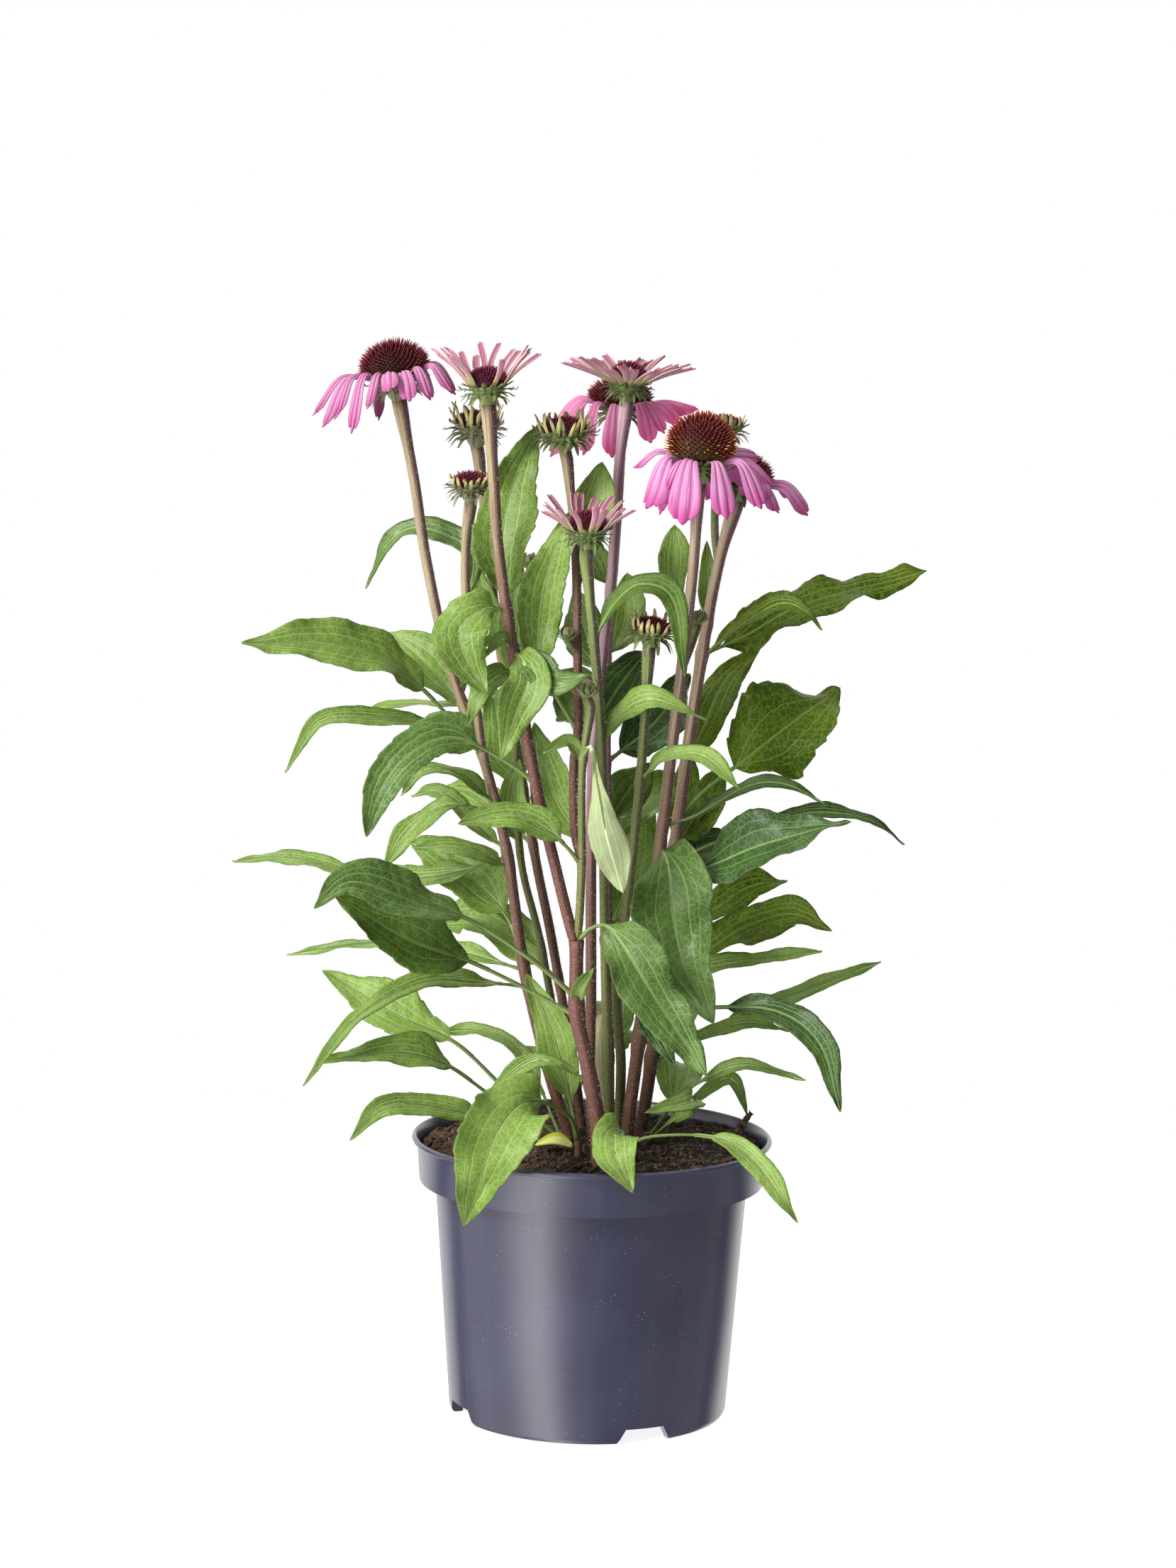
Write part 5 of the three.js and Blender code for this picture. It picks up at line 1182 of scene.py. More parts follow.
# The leaves that wear the glossy, backlit, dark and dusky looks get painted shade from them.
LEAVES: tuple[Leaf, ...] = (
    Leaf("left", 350, 27, 0.31, 55, ((-73, -4, 362), (-92, -14, 382), (-112, -26, 398), (-145, -40, 405),
        (-187, -52, 405))),
    Leaf("a", 372, 27, 0.1, 40, ((-84, 14, 389), (-98, 26, 402), (-111, 36, 412))),
    Leaf("left", 350, 11, 0.12, 45, ((-78, -12, 359), (-93, -14, 364), (-118, -18, 367), (-146, -20, 364),
        (-164, -18, 337))),
    Leaf("a", 374, 9, 0.1, 30, ((-88, 26, 375), (-105, 40, 374), (-122, 52, 372))),
    Leaf("b", 334, 24, 0.3, 60, ((-50, -52, 346), (-76, -62, 357), (-98, -72, 349), (-113, -78, 330),
        (-121, -82, 304)), Look.DUSKY),
    Leaf("b", 424, 28, 0.12, 75, ((-62, -56, 424), (-73, -62, 414), (-70, -68, 399), (-59, -74, 380))),
    Leaf("b", 393, 12, 0.12, 60, ((-54, -58, 389), (-63, -62, 380), (-68, -64, 364))),
    Leaf("b", 402, 22, 0.08, 80, ((-40, -58, 397), (-38, -64, 386), (-44, -70, 368), (-51, -74, 346))),
    Leaf("b", 397, 17, 0.1, 70, ((-35, -60, 397), (-24, -66, 387), (-6, -70, 391)), Look.DUSKY),
    Leaf("b", 404, 8, 0.1, 50, ((-51, -54, 409), (-60, -55, 400))),
    Leaf("d", 425, 13, 0.1, 40, ((-67, 10, 452), (-80, 18, 462), (-98, 24, 466), (-112, 28, 457),
        (-123, 30, 434)), Look.DUSKY),
    Leaf("b", 420, 29, 0.12, 95, ((-50, -36, 438), (-52, -28, 462), (-46, -16, 492), (-33, -8, 521))),
    Leaf("e", 361, 23, 0.33, 90, ((-24, -40, 382), (-32, -38, 400), (-31, -34, 430), (-25, -34, 455),
        (-18, -36, 475))),
    Leaf("c", 400, 18, 0.1, 90, ((-61, 22, 422), (-66, 16, 450))),
    Leaf("c", 330, 24, 0.1, 85, ((-50, 60, 352), (-56, 84, 386))),
    Leaf("left", 322, 11, 0.12, 40, ((-66, -10, 334), (-82, -20, 341), (-94, -24, 338), (-103, -26, 326))),
    Leaf("left", 298, 11, 0.12, 40, ((-62, 16, 310), (-74, 24, 322), (-86, 30, 329), (-98, 38, 326))),
    Leaf("left", 316, 15, 0.3, 40, ((-70, -4, 322), (-84, -5, 319), (-98, -6, 307), (-112, -6, 288))),
    Leaf("left", 288, 12, 0.12, 50, ((-60, -8, 296), (-76, -12, 300), (-97, -12, 299))),
    Leaf("left", 295, 16, 0.12, 35, ((-75, 12, 286), (-100, 24, 283), (-130, 36, 286), (-160, 46, 293),
        (-191, 52, 290))),
    Leaf("main", 221, 27, 0.46, 50, ((-30, -52, 238), (-66, -60, 261), (-95, -74, 270), (-128, -88, 280),
        (-148, -96, 266)), Look.DUSKY),
    Leaf("main", 211, 30, 0.44, 60, ((-40, -44, 227), (-66, -46, 239), (-98, -58, 250),
        (-137, -72, 273)), Look.DARK),
    Leaf("left", 240, 29, 0.3, 65, ((-46, 14, 262), (-62, 22, 280), (-80, 32, 294), (-98, 44, 302))),
    Leaf("left", 235, 11, 0.1, 40, ((-80, 24, 246), (-118, 40, 248), (-162, 50, 241))),
    Leaf("crown_left", 144, 28, 0.5, 45, ((-45, -6, 170), (-72, 4, 195), (-100, 16, 208), (-126, 28, 223),
        (-143, 36, 233)), Look.LIME),
    Leaf("left", 226, 12, 0.12, 40, ((-60, -6, 228), (-90, -26, 228), (-125, -50, 208), (-153, -72, 171))),
    Leaf("crown_left", 143, 18, 0.5, 45, ((-50, -16, 165), (-78, -28, 184), (-105, -42, 190),
        (-145, -56, 184))),
    Leaf("crown_left", 144, 10, 0.3, 40, ((-36, 10, 188), (-58, 26, 202), (-84, 40, 201))),
    Leaf("crown_left", 143, 14, 0.42, 60, ((-40, -24, 158), (-60, -34, 157), (-92, -48, 162),
        (-112, -58, 159), (-128, -64, 142))),
    Leaf("crown_front", 143, 38, 0.3, 70, ((-13, -46, 158), (-34, -66, 165), (-49, -90, 150),
        (-58, -106, 125), (-67, -112, 97)), Look.LIME),
    Leaf("crown_front", 144, 20, 0.25, 85, ((-15, -36, 180), (-24, -30, 208), (-36, -24, 233)), Look.LIME),
    Leaf("main", 175, 9, 0.15, 45, ((-20, -54, 186), (-36, -52, 184), (-61, -50, 162))),
    Leaf("l", 292, 17, 0.25, 60, ((-24, -58, 308), (-45, -62, 317), (-73, -62, 312))),
    Leaf("main", 216, 7, 0.1, 80, ((-8, -56, 226), (-1, -58, 236))),
    Leaf("main", 250, 30, 0.2, 60, ((-2, -54, 258), (7, -62, 258), (20, -76, 240), (36, -88, 215),
        (60, -98, 180)), Look.DUSKY),
    Leaf("h", 300, 40, 0.04, 85, ((37, -30, 292), (41, -44, 262), (48, -54, 236),
        (63, -62, 208)), Look.DUSKY),
    Leaf("k", 230, 13, 0.15, 70, ((18, -30, 227), (25, -42, 211)), Look.GLOSSY_SHADE),
    Leaf("h", 201, 14, 0.15, 60, ((30, -28, 207), (43, -42, 186)), Look.GLOSSY_SHADE),
    Leaf("i", 262, 9, 0.1, 60, ((55, 4, 241), (62, -2, 208))),
    Leaf("l", 348, 18, 0.06, -70, ((-4, -58, 353), (0.5, -62, 330), (5, -62, 306), (14, -58, 277)),
        Look.PALE, widest=0.7),
    Leaf("l", 346, 7, 0.1, 60, ((-16, -56, 356), (-29, -58, 350))),
    Leaf("j", 356, 14, 0.08, 45, ((12, -33, 372), (28, -42, 379), (56, -46, 369)), Look.LIME),
    Leaf("k", 337, 12, 0.12, 45, ((34, -36, 348), (54, -44, 350), (74, -48, 333)), Look.LIME),
    Leaf("j", 410, 13, 0.1, 50, ((6, -46, 428), (20, -52, 439), (37, -54, 431),
        (44, -54, 391)), Look.DARK),
    Leaf("e", 430, 22, 0.1, 90, ((-9, -20, 460), (-1, -8, 502)), widest=0.6),
    Leaf("f", 437, 13, 0.1, 85, ((-2, 6, 450), (-8, 10, 464))),
    Leaf("f", 300, 22, 0.1, 88, ((-22, 24, 326), (-34, 44, 366))),
    Leaf("f", 362, 26, 0.12, 85, ((9, 14, 384), (24, 26, 404)), Look.GLOSSY_SHADE),
    Leaf("h", 420, 16, 0.1, 88, ((38, -14, 440), (37, -12, 470)), widest=0.64),
    Leaf("i", 403, 27, 0.1, 45, ((75, 28, 413), (100, 34, 428), (130, 40, 438), (150, 46, 443),
        (168, 50, 449)), Look.BACKLIT),
    Leaf("i", 401, 12, 0.12, 40, ((73, 14, 419), (92, 6, 430), (105, 0, 427),
        (115, -4, 417)), Look.BACKLIT),
    Leaf("i", 418, 10, 0.1, 88, ((55, 30, 436), (54, 32, 462))),
    Leaf("i", 340, 21, 0.12, 60, ((55, 36, 366), (64, 56, 388), (83, 76, 408)), Look.BACKLIT),
    Leaf("i", 318, 50, 0.36, 60, ((56, 24, 332), (72, 30, 345), (98, 40, 366),
        (125, 52, 387)), Look.BACKLIT),
    Leaf("h", 312, 8, 0.15, 45, ((50, -14, 318), (77, -16, 334), (97, -18, 336),
        (119, -20, 326)), Look.GLOSSY_SHADE),
    Leaf("i", 300, 22, 0.12, 60, ((54, 36, 322), (66, 52, 346)), Look.BACKLIT),
    Leaf("i", 302, 18, 0.1, 85, ((46, 40, 324), (48, 62, 351)), Look.BACKLIT),
    Leaf("h", 288, 33, 0.15, 45, ((56, -28, 291), (82, -42, 302), (110, -56, 311),
        (132, -64, 317)), Look.GLOSSY_SHADE),
    Leaf("i", 296, 9, 0.3, 40, ((80, 12, 312), (112, 16, 321), (142, 20, 318),
        (161, 22, 305)), Look.GLOSSY_SHADE),
    Leaf("i", 290, 20, 0.1, 60, ((54, 34, 302), (72, 44, 308)), Look.GLOSSY_SHADE),
    Leaf("i", 253, 20, 0.2, 50, ((57, 24, 266), (80, 34, 281), (100, 40, 285)), Look.BACKLIT),
    Leaf("i", 236, 22, 0.2, 45, ((60, 8, 248), (78, 2, 260), (102, -4, 267), (124, -8, 259)), Look.BACKLIT),
    Leaf("i", 242, 18, 0.2, 45, ((60, 34, 250), (82, 50, 257), (105, 64, 262)), Look.BACKLIT),
    Leaf("h", 232, 12, 0.15, 40, ((55, -10, 237), (85, -12, 243), (119, -14, 248))),
    Leaf("i", 190, 12, 0.3, 40, ((65, 26, 205), (85, 34, 215), (115, 44, 229), (150, 54, 243))),
    Leaf("h", 201, 17, 0.38, 50, ((45, -24, 213), (66, -38, 217), (97, -54, 215), (119, -68, 198),
        (131, -76, 162)), Look.GLOSSY_SHADE),
    Leaf("i", 188, 10, 0.2, 40, ((55, 16, 200), (80, 24, 209), (103, 32, 205))),
    Leaf("h", 196, 13, 0.2, 60, ((42, -4, 206), (58, -4, 224))),
    Leaf("crown_right", 144, 9, 0.45, 40, ((45, -4, 168), (62, -14, 180), (82, -24, 186), (112, -36, 179))),
    Leaf("crown_right", 143, 13, 0.3, 60, ((44, -12, 158), (54, -20, 167), (42, -34, 164), (28, -40, 160))),
    Leaf("crown_right", 143, 8, 0.4, 45, ((52, 10, 165), (72, 16, 179), (82, 18, 160))),
    Leaf("crown_rim", 142, 24, 0.3, 62, ((17, -60, 149), (12, -76, 147), (13, -90, 136),
        (22, -101, 117)), Look.LIME),
    Leaf("crown_rim", 142, 13, 0.42, 50, ((32, -52, 147), (58, -60, 148), (76, -70, 143), (90, -80, 130),
        (110, -88, 102)), Look.LIME),
    Leaf("c", 300, 18, 0.1, 60, ((-50, 54, 316), (-70, 78, 330), (-88, 98, 326))),
    Leaf("c", 230, 26, 0.15, 50, ((-38, 52, 246), (-62, 76, 262), (-92, 98, 258))),
    Leaf("m", 246, 12, 0.1, 45, ((-42, 30, 262), (-58, 36, 270))),
    Leaf("m", 380, 16, 0.1, 88, ((-46, 20, 412), (-43, 14, 455))),
    Leaf("g", 300, 28, 0.15, 45, ((20, 54, 320), (36, 74, 330), (58, 92, 318))),
    Leaf("g", 345, 28, 0.15, 75, ((28, 50, 366), (47, 76, 393)), Look.GLOSSY_SHADE),
    Leaf("g", 400, 22, 0.12, 80, ((12, 54, 418), (13, 76, 445))),
    Leaf("g", 255, 26, 0.1, 85, ((18, 60, 290), (24, 86, 345))),
    Leaf("g", 362, 30, 0.12, 85, ((-8, 46, 376), (-25, 58, 393)), Look.DARK),
    Leaf("g", 392, 24, 0.12, 88, ((-6, 46, 408), (-14, 56, 436)), Look.DUSKY),
    Leaf("g", 312, 24, 0.12, 85, ((14, 42, 328), (27, 54, 346)), Look.DARK),
    Leaf("g", 230, 30, 0.2, 40, ((14, 56, 250), (18, 78, 262), (20, 104, 250))),
    Leaf("m", 300, 16, 0.1, 80, ((-45, 12, 322), (-41, 10, 346))),
    Leaf("c", 170, 26, 0.3, 45, ((0, 64, 192), (14, 88, 206), (26, 112, 196))),
    Leaf("crown_right", 144, 26, 0.35, 45, ((41, 28, 164), (46, 58, 186), (46, 92, 182))),
    Leaf("g", 190, 26, 0.2, 45, ((10, 62, 208), (9, 88, 220), (6, 112, 210))),
    Leaf("c", 360, 24, 0.15, 55, ((-43, 66, 378), (-38, 94, 392))),
    Leaf("i", 215, 24, 0.2, 45, ((40, 50, 232), (50, 80, 240), (58, 104, 228))),
    Leaf("m", 172, 12, 0.2, 50, ((-24, 24, 186), (-38, 30, 194))),
)

SKINS: dict[str, Skin] = {
    "main": Skin.RUSSET, "b": Skin.RUSSET, "e": Skin.RUSSET, "f": Skin.PLUM, "g": Skin.PLUM,
    "a": Skin.HAY, "c": Skin.HAY, "d": Skin.HAY, "left": Skin.HAY, "j": Skin.GREEN, "k": Skin.GREEN,
    "l": Skin.GREEN, "m": Skin.GREEN, "n": Skin.GREEN, "o": Skin.GREEN, "p": Skin.GREEN,
}


# ---------------------------------------------------------------- heads


@dataclass(frozen=True)
class Strap:
    """A narrow blade of a head, such as a petal, a ray, a stub or a bract.

    Args:
        widths: Its widths at even steps from its foot to its tip, in millimetres.
        edges: How far its edges lift, as a share of its width.
        taper: How much shorter it is at its corners than at its middle, as a share of its length.
        notch: How deep the notches in its tip are, as a share of its length.
        groove: How deep its two grooves are.
        columns: How many faces it has across.
        rows: How many faces it has along.
    """

    widths: tuple[float, ...]
    edges: float
    taper: float = 0.1
    notch: float = 0.0
    groove: float = 0.0
    columns: int = 8
    rows: int = 18

    def grow(
        self,
        growth: Growth,
        points: Sequence[Vector],
        outward: Vector,
        seed: int,
        coat_index: int = 0,
        twist: float = 0.0,
    ) -> None:
        """Lays the strap along points.

        Args:
            growth: The piece it becomes part of.
            points: What it runs through, in building coordinates.
            outward: The way its upper face looks.
            seed: What its own irregularities are drawn from.
            coat_index: Which of the piece's materials it wears.
            twist: How far it turns about its own length, in radians.
        """
        line = Route(points)
        steps = np.linspace(0, 1, len(self.widths))
        outline = np.polyfit(steps, self.widths, len(self.widths) - 1)
        own = chance(seed)
        out = np.array(outward)

        def surface(u: np.ndarray, v: np.ndarray) -> Surface:
            across = 2 * u - 1
            reach = np.abs(across)
            cut = self.taper * reach**2.4 + self.notch * bell(reach - 0.4, 0.16)
            blade = v * (1 - cut)
            heading = line.along(blade)
            side = unit(np.cross(heading, out))
            normal = np.cross(side, heading)
            turn = (twist * blade)[:, None]
            cosine, sine = np.cos(turn), np.sin(turn)
            side, normal = side * cosine + normal * sine, normal * cosine - side * sine
            half = np.maximum(np.polyval(outline, blade), 0.3) / 2
            wave = 0.05 * half * np.sin(blade * 8 + 6 * own) * across
            lift = self.edges * 2 * half * reach**2 + wave - self.groove * bell(reach - 0.36, 0.13)
            laid = line.at(blade) + side * (across * half)[:, None] + normal * lift[:, None]
            shape = np.stack([across, blade, own + 0 * blade], axis=-1)
            return Surface(laid, shape, shape)

        growth.sheet(self.columns, self.rows, surface, coat_index)


@dataclass(frozen=True)
class Head:
    """A head at the end of its stem.

    Args:
        stem: The stem it ends.
        tilt: Its lean toward +X and toward the front, in degrees.
        cup: The height of its green cup.
        radius: The radius of its cone or dome.
        height: The height of its cone or dome.
    """

    stem: str
    tilt: tuple[float, float]
    cup: float
    radius: float
    height: float

    GAP = 0.3
    DISC = 1.6

    def seat(self, elevation: Elevation) -> Matrix:
        """Takes the head's own frame, with Z along its axis, to building coordinates."""
        sideways, forward = (math.radians(a) for a in self.tilt)
        axis = Vector((math.sin(sideways), -math.sin(forward), 1)).normalized()
        turn = UP.rotation_difference(axis).to_matrix().to_4x4()
        return Matrix.Translation(elevation.place(STEMS[self.stem].route[-1])) @ turn

    def part_seed(self, index: int) -> int:
        """What the irregularities of one of its petals, rays or stubs are drawn from."""
        return 100 * ord(self.stem) + index

    def turned(
        self, elevation: Elevation, share: np.ndarray, radius: np.ndarray, rise: np.ndarray
    ) -> np.ndarray:
        """Points of a body turned about the head's axis.

        Args:
            elevation: The drawing it is measured on.
            share: The shares of a full turn.
            radius: The radii there.
            rise: The heights there.

        Returns:
            The points in building coordinates, one row each.
        """
        own = np.column_stack([rim(2 * math.pi * share, radius, rise), 0 * share + 1])
        return (own @ np.array(self.seat(elevation)).T)[:, :3]

    def lay(
        self,
        growth: Growth,
        elevation: Elevation,
        strap: Strap,
        points: Sequence[Vector],
        outward: Vector,
        seed: int,
        coat_index: int = 0,
        twist: float = 0.0,
    ) -> None:
        """Lays a strap that is given in the head's own frame.

        Args:
            growth: The piece it becomes part of.
            elevation: The drawing it is measured on.
            strap: The strap.
            points: What it runs through.
            outward: The way its upper face looks.
            seed: What its own irregularities are drawn from.
            coat_index: Which of the piece's materials it wears.
            twist: How far it turns about its own length, in radians.
        """
        seat = self.seat(elevation)
        way = (seat.to_3x3() @ outward).normalized()
        strap.grow(growth, [seat @ point for point in points], way, seed, coat_index, twist)

    @property
    def lift(self) -> float:
        """The height over the end of the stem that its petals grow at."""
        return self.cup + self.GAP

    @property
    def brim(self) -> float:
        """The radius of the top of its cup."""
        return self.radius * 0.92

    def grow_cup(self, growth: Growth, elevation: Elevation, coat_index: int, seed: int) -> None:
        """Grows the green cup and its rows of bracts.

        Args:
            growth: The piece it becomes part of.
            elevation: The drawing it is measured on.
            coat_index: Which of the piece's materials the bracts wear.
            seed: What its own irregularities are drawn from.
        """
        neck = STEMS[self.stem].top
        brim = self.brim
        heights = np.array([-4, -1.5, self.cup * 0.3, self.cup * 0.65, self.cup, self.cup + 0.2])
        radii = np.array([neck * 0.96, neck * 1.2, brim * 0.52, brim * 0.8, brim * 0.93, brim * 0.5])
        rings = 14

        def surface(u: np.ndarray, v: np.ndarray) -> Surface:
            share = np.clip((v * rings - 1) / (rings - 2), 0, 1)
            ends = (v * rings > 0.5) & (v * rings < rings - 0.5)
            station = share * (len(heights) - 1)
            radius = np.interp(station, range(len(radii)), radii) * ends
            rise = np.interp(station, range(len(heights)), heights)
            shape = np.stack([0 * u + 0.3, share * 0.3, 0 * u + 0.3], axis=-1)
            return Surface(self.turned(elevation, u, radius, rise), shape, shape)

        growth.sheet(24, rings, surface, coat_index, closed=True)
        for row, (count, foot, rise, length, droop) in enumerate(self.bract_rows()):
            for i in range(count):
                angle = 2 * math.pi * (i + 0.5 * row + 0.3 * chance(seed + i)) / count
                self.grow_bract(growth, elevation, coat_index, seed + 40 * row + i,
                    angle, foot, rise, length, droop)

    def bract_rows(self) -> list[tuple[int, float, float, float, float]]:
        """Its rows of bracts, as their number, foot radius, foot height, length and droop."""
        brim, cup = self.brim, self.cup
        count = max(10, round(brim))
        return [
            (count, brim * 0.62, cup * 0.44, brim * 0.3 + 4.0, 0.6),
            (count + 2, brim * 0.74, cup * 0.6, brim * 0.32 + 4.6, 0.3),
            (count + 4, brim * 0.86, cup * 0.76, brim * 0.3 + 4.4, -0.05),
            (count + 6, brim * 0.96, cup * 0.92, brim * 0.2 + 3.0, -0.5),
        ]

    def grow_bract(
        self,
        growth: Growth,
        elevation: Elevation,
        coat_index: int,
        seed: int,
        angle: float,
        foot: float,
        rise: float,
        length: float,
        droop: float,
    ) -> None:
        """Lays out one bract.

        Args:
            growth: The piece it becomes part of.
            elevation: The drawing it is measured on.
            coat_index: Which of the piece's materials it wears.
            seed: What its own irregularities are drawn from.
            angle: Where it stands round the cup.
            foot: The radius it grows from.
            rise: The height it grows from.
            length: Its length.
            droop: How far its tip hangs, as a share of its length.
        """
        long = length * (0.82 + 0.36 * chance(seed + 7))
        hang = droop + 0.35 * (chance(seed + 9) - 0.5)
        curl = long * (0.4 * chance(seed + 13) - 0.12)
        sway = 0.3 * (chance(seed + 11) - 0.5)
        root = polar(angle, foot, rise)
        middle = polar(angle + sway * 0.3, foot + long * 0.5, rise + long * 0.08 - long * hang * 0.45)
        knee = polar(angle + sway * 0.7, foot + long * 0.82, rise - long * hang * 0.95)
        tip = polar(angle + sway, foot + long * 0.98, rise - long * hang * 1.15 + curl)
        width = min(3.0, 1.5 + 0.11 * self.brim)
        strap = Strap((width * 0.9, width, width * 0.72, 0.3), 0.2, taper=0.12, columns=4, rows=9)
        outward = polar(angle, 0.35, 1)
        self.lay(growth, elevation, strap, [root, middle, knee, tip], outward, seed, coat_index)

    def dome(self, elevation: Elevation, count: int, reach: float, base: float) -> tuple[np.ndarray, ...]:
        """Places for florets over the dome.

        Args:
            elevation: The drawing it is measured on.
            count: How many there are.
            reach: How far down past the shoulder they go.
            base: The height of the dome's foot.

        Returns:
            Their roots, the ways they point and their levels from foot to top.
        """
        i = np.arange(count)
        level = 1 - reach * (i + 0.5) / count
        around = np.sqrt(np.clip(1 - level**2, 0, 1))
        angle = i * GOLDEN_ANGLE
        rise = np.maximum(0, self.height * (0.2 + 0.8 * level))
        across, back = np.cos(angle) * around * self.radius, np.sin(angle) * around * self.radius
        own = np.stack([across, back, rise], axis=-1)
        core = np.array((0, 0, self.height * 0.12))
        ways = unit((own - core) / np.array((self.radius**2, self.radius**2, self.height**2)) ** 0.5)
        ways = unit(ways + np.array((0, 0, 0.2)))
        seat = np.array(self.seat(elevation))
        roots = own * 0.82 + np.array((0, 0, base + 0.08 * self.height))
        placed = roots @ seat[:3, :3].T + seat[:3, 3]
        return placed, ways @ seat[:3, :3].T, np.clip(rise / self.height, 0, 1)

    def grow_cone(self, elevation: Elevation, base: float, look: Cone, count: int, spike: float) -> None:
        """Builds the cone: a dark dome and the spikes that cover it.

        Args:
            elevation: The drawing it is measured on.
            base: The height of the dome's foot over the end of the stem.
            look: Its finish.
            count: How many spikes there are.
            spike: How long a spike is.
        """
        growth = Growth(f"dome_{self.stem}", [coat(look)])

        def surface(u: np.ndarray, v: np.ndarray) -> Surface:
            level = 1 - 1.25 * v
            ends = (v > 0.01) & (v < 0.99)
            around = np.sqrt(np.clip(1 - level**2, 0, 1)) * self.radius * 0.83 * ends
            rise = base + 0.84 * np.maximum(0, self.height * (0.2 + 0.8 * level)) + 0.08 * self.height
            rise = np.where(v > 0.99, base - 2.6, rise - 2.2 * ease(0.8, 0.9, v))
            shape = np.stack([0 * u, np.clip(level, 0, 1), 0 * u + 0.8], axis=-1)
            return Surface(self.turned(elevation, u, around, rise), shape, shape)

        growth.sheet(28, 14, surface, closed=True)
        growth.finish(elevation, outward=True)
        roots, ways, level = self.dome(elevation, count, 1.22, base)
        own = np.array([chance(i + 13) for i in range(count)])
        sway = np.array([[chance(i * 3 + k) - 0.5 for k in range(3)] for i in range(count)])
        long = spike * (0.85 + 0.3 * own)
        data = floret().copies(f"florets_{self.stem}", elevation, roots, ways + 0.14 * sway,
            0.5 + 0.16 * own, long, np.stack([level, own], axis=-1))
        settle(f"florets_{self.stem}", data, [coat(look)], [self.cone_node()])

    def cone_node(self) -> str:
        """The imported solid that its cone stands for."""
        return f"cone_{self.stem}"

    def slot_of_cone(self) -> str:
        """The name cone_ripe, for its cone."""
        return "cone_ripe"


@dataclass(frozen=True)
class Bloom(Head):
    """A full bloom with drooping petals, as the drawn places and widths of their tips."""

    petals: tuple[tuple[float, float, float, float], ...] = ()
    look: Petal = Petal.PINK
    cone: Cone = Cone.DARK
    florets: int = 440
    arch: float = 1.7

    FACING = 0.9

    @property
    def brim(self) -> float:
        """The radius of the top of its cup."""
        return self.radius * 0.62

    def build(self, elevation: Elevation) -> None:
        """Builds the petals and the cone."""
        back = self.seat(elevation).inverted()
        growth = Growth(f"rays_{self.stem}", [coat(self.look), coat(self.look, True)])
        middle = self.lift + self.DISC / 2
        for i, (x, y, z, width) in enumerate(self.petals):
            seed = self.part_seed(i)
            tip = back @ elevation.place((x, y, z))
            angle, reach = math.atan2(tip.y, tip.x), math.hypot(tip.x, tip.y)
            drop = (tip.z - middle) * 0.08
            foot = polar(angle, self.radius * 0.6, middle + 0.1 * (i % 3))
            bend = self.radius * 0.95 + (reach - self.radius) * (0.34 + 0.12 * chance(seed + 2))
            sway = 0.14 * (chance(seed + 4) - 0.5)
            shoulder = polar(angle + sway, bend, middle + drop + self.arch + 1.4 * chance(seed))
            wide = width * (0.86 + 0.2 * chance(seed + 6))
            strap = Strap((wide * 0.24, wide * 0.62, wide * 1.08, wide * 0.8), -0.34 * chance(seed + 3),
                taper=0.16, notch=0.035 + 0.04 * chance(seed + 5), groove=0.7, columns=16, rows=28)
            outward = polar(angle, 0.8, 1) + FRONT * (self.FACING * abs(math.cos(angle)))
            self.lay(growth, elevation, strap, [foot, shoulder, tip], outward, seed,
                twist=0.8 * (chance(seed + 8) - 0.5))
        growth.finish(elevation, [f"petals_{self.stem}"], thickness=0.4)
        self.grow_cone(elevation, self.cup + self.DISC + 0.4, self.cone, self.florets, 4.6)


@dataclass(frozen=True)
class Opening(Head):
    """An opening head whose young rays stand up and out."""

    rays: int = 20
    reach: float = 28
    rise: float = 14
    front: float = 1.0
    broad: float = 1.0
    florets: int = 210

    def build(self, elevation: Elevation) -> None:
        """Builds the rays and the cone."""
        growth = Growth(f"rays_{self.stem}", [coat(Petal.YOUNG, True), coat(Petal.YOUNG)])
        for i in range(self.rays):
            seed = self.part_seed(i)
            angle = 2 * math.pi * (i + 0.6 * chance(seed + 50)) / self.rays
            if math.sin(angle) < -0.6 and chance(seed + 21) > self.front:
                continue
            reach = self.reach * (0.78 + 0.32 * chance(seed + 80))
            rise = self.rise * (0.72 + 0.5 * chance(seed + 110))
            foot = polar(angle, self.radius * 0.9, self.lift + 0.3 * (i % 2))
            bend = self.radius + (reach - self.radius) * 0.42
            shoulder = polar(angle + 0.05, bend, self.lift + rise * 0.52)
            tip = polar(angle + 0.22 * (chance(seed + 60) - 0.5), reach, self.lift + rise)
            wide = self.broad * (0.85 + 0.3 * chance(seed + 31))
            strap = Strap((2.2 * wide, 2.6 * wide, 3.2 * wide, 2.5 * wide), 0.16 + 0.16 * chance(seed),
                taper=0.07, notch=0.07, groove=0.2, columns=8, rows=16)
            self.lay(growth, elevation, strap, [foot, shoulder, tip], polar(angle, -0.4, 1), seed,
                twist=0.9 * (chance(seed + 8) - 0.5))
        growth.finish(elevation, [f"petals_{self.stem}"], thickness=0.4)
        self.grow_cone(elevation, self.cup + self.DISC + 0.4, Cone.YOUNG, self.florets, 2.6)

    def slot_of_cone(self) -> str:
        """The name cone_young, for its cone."""
        return "cone_young"


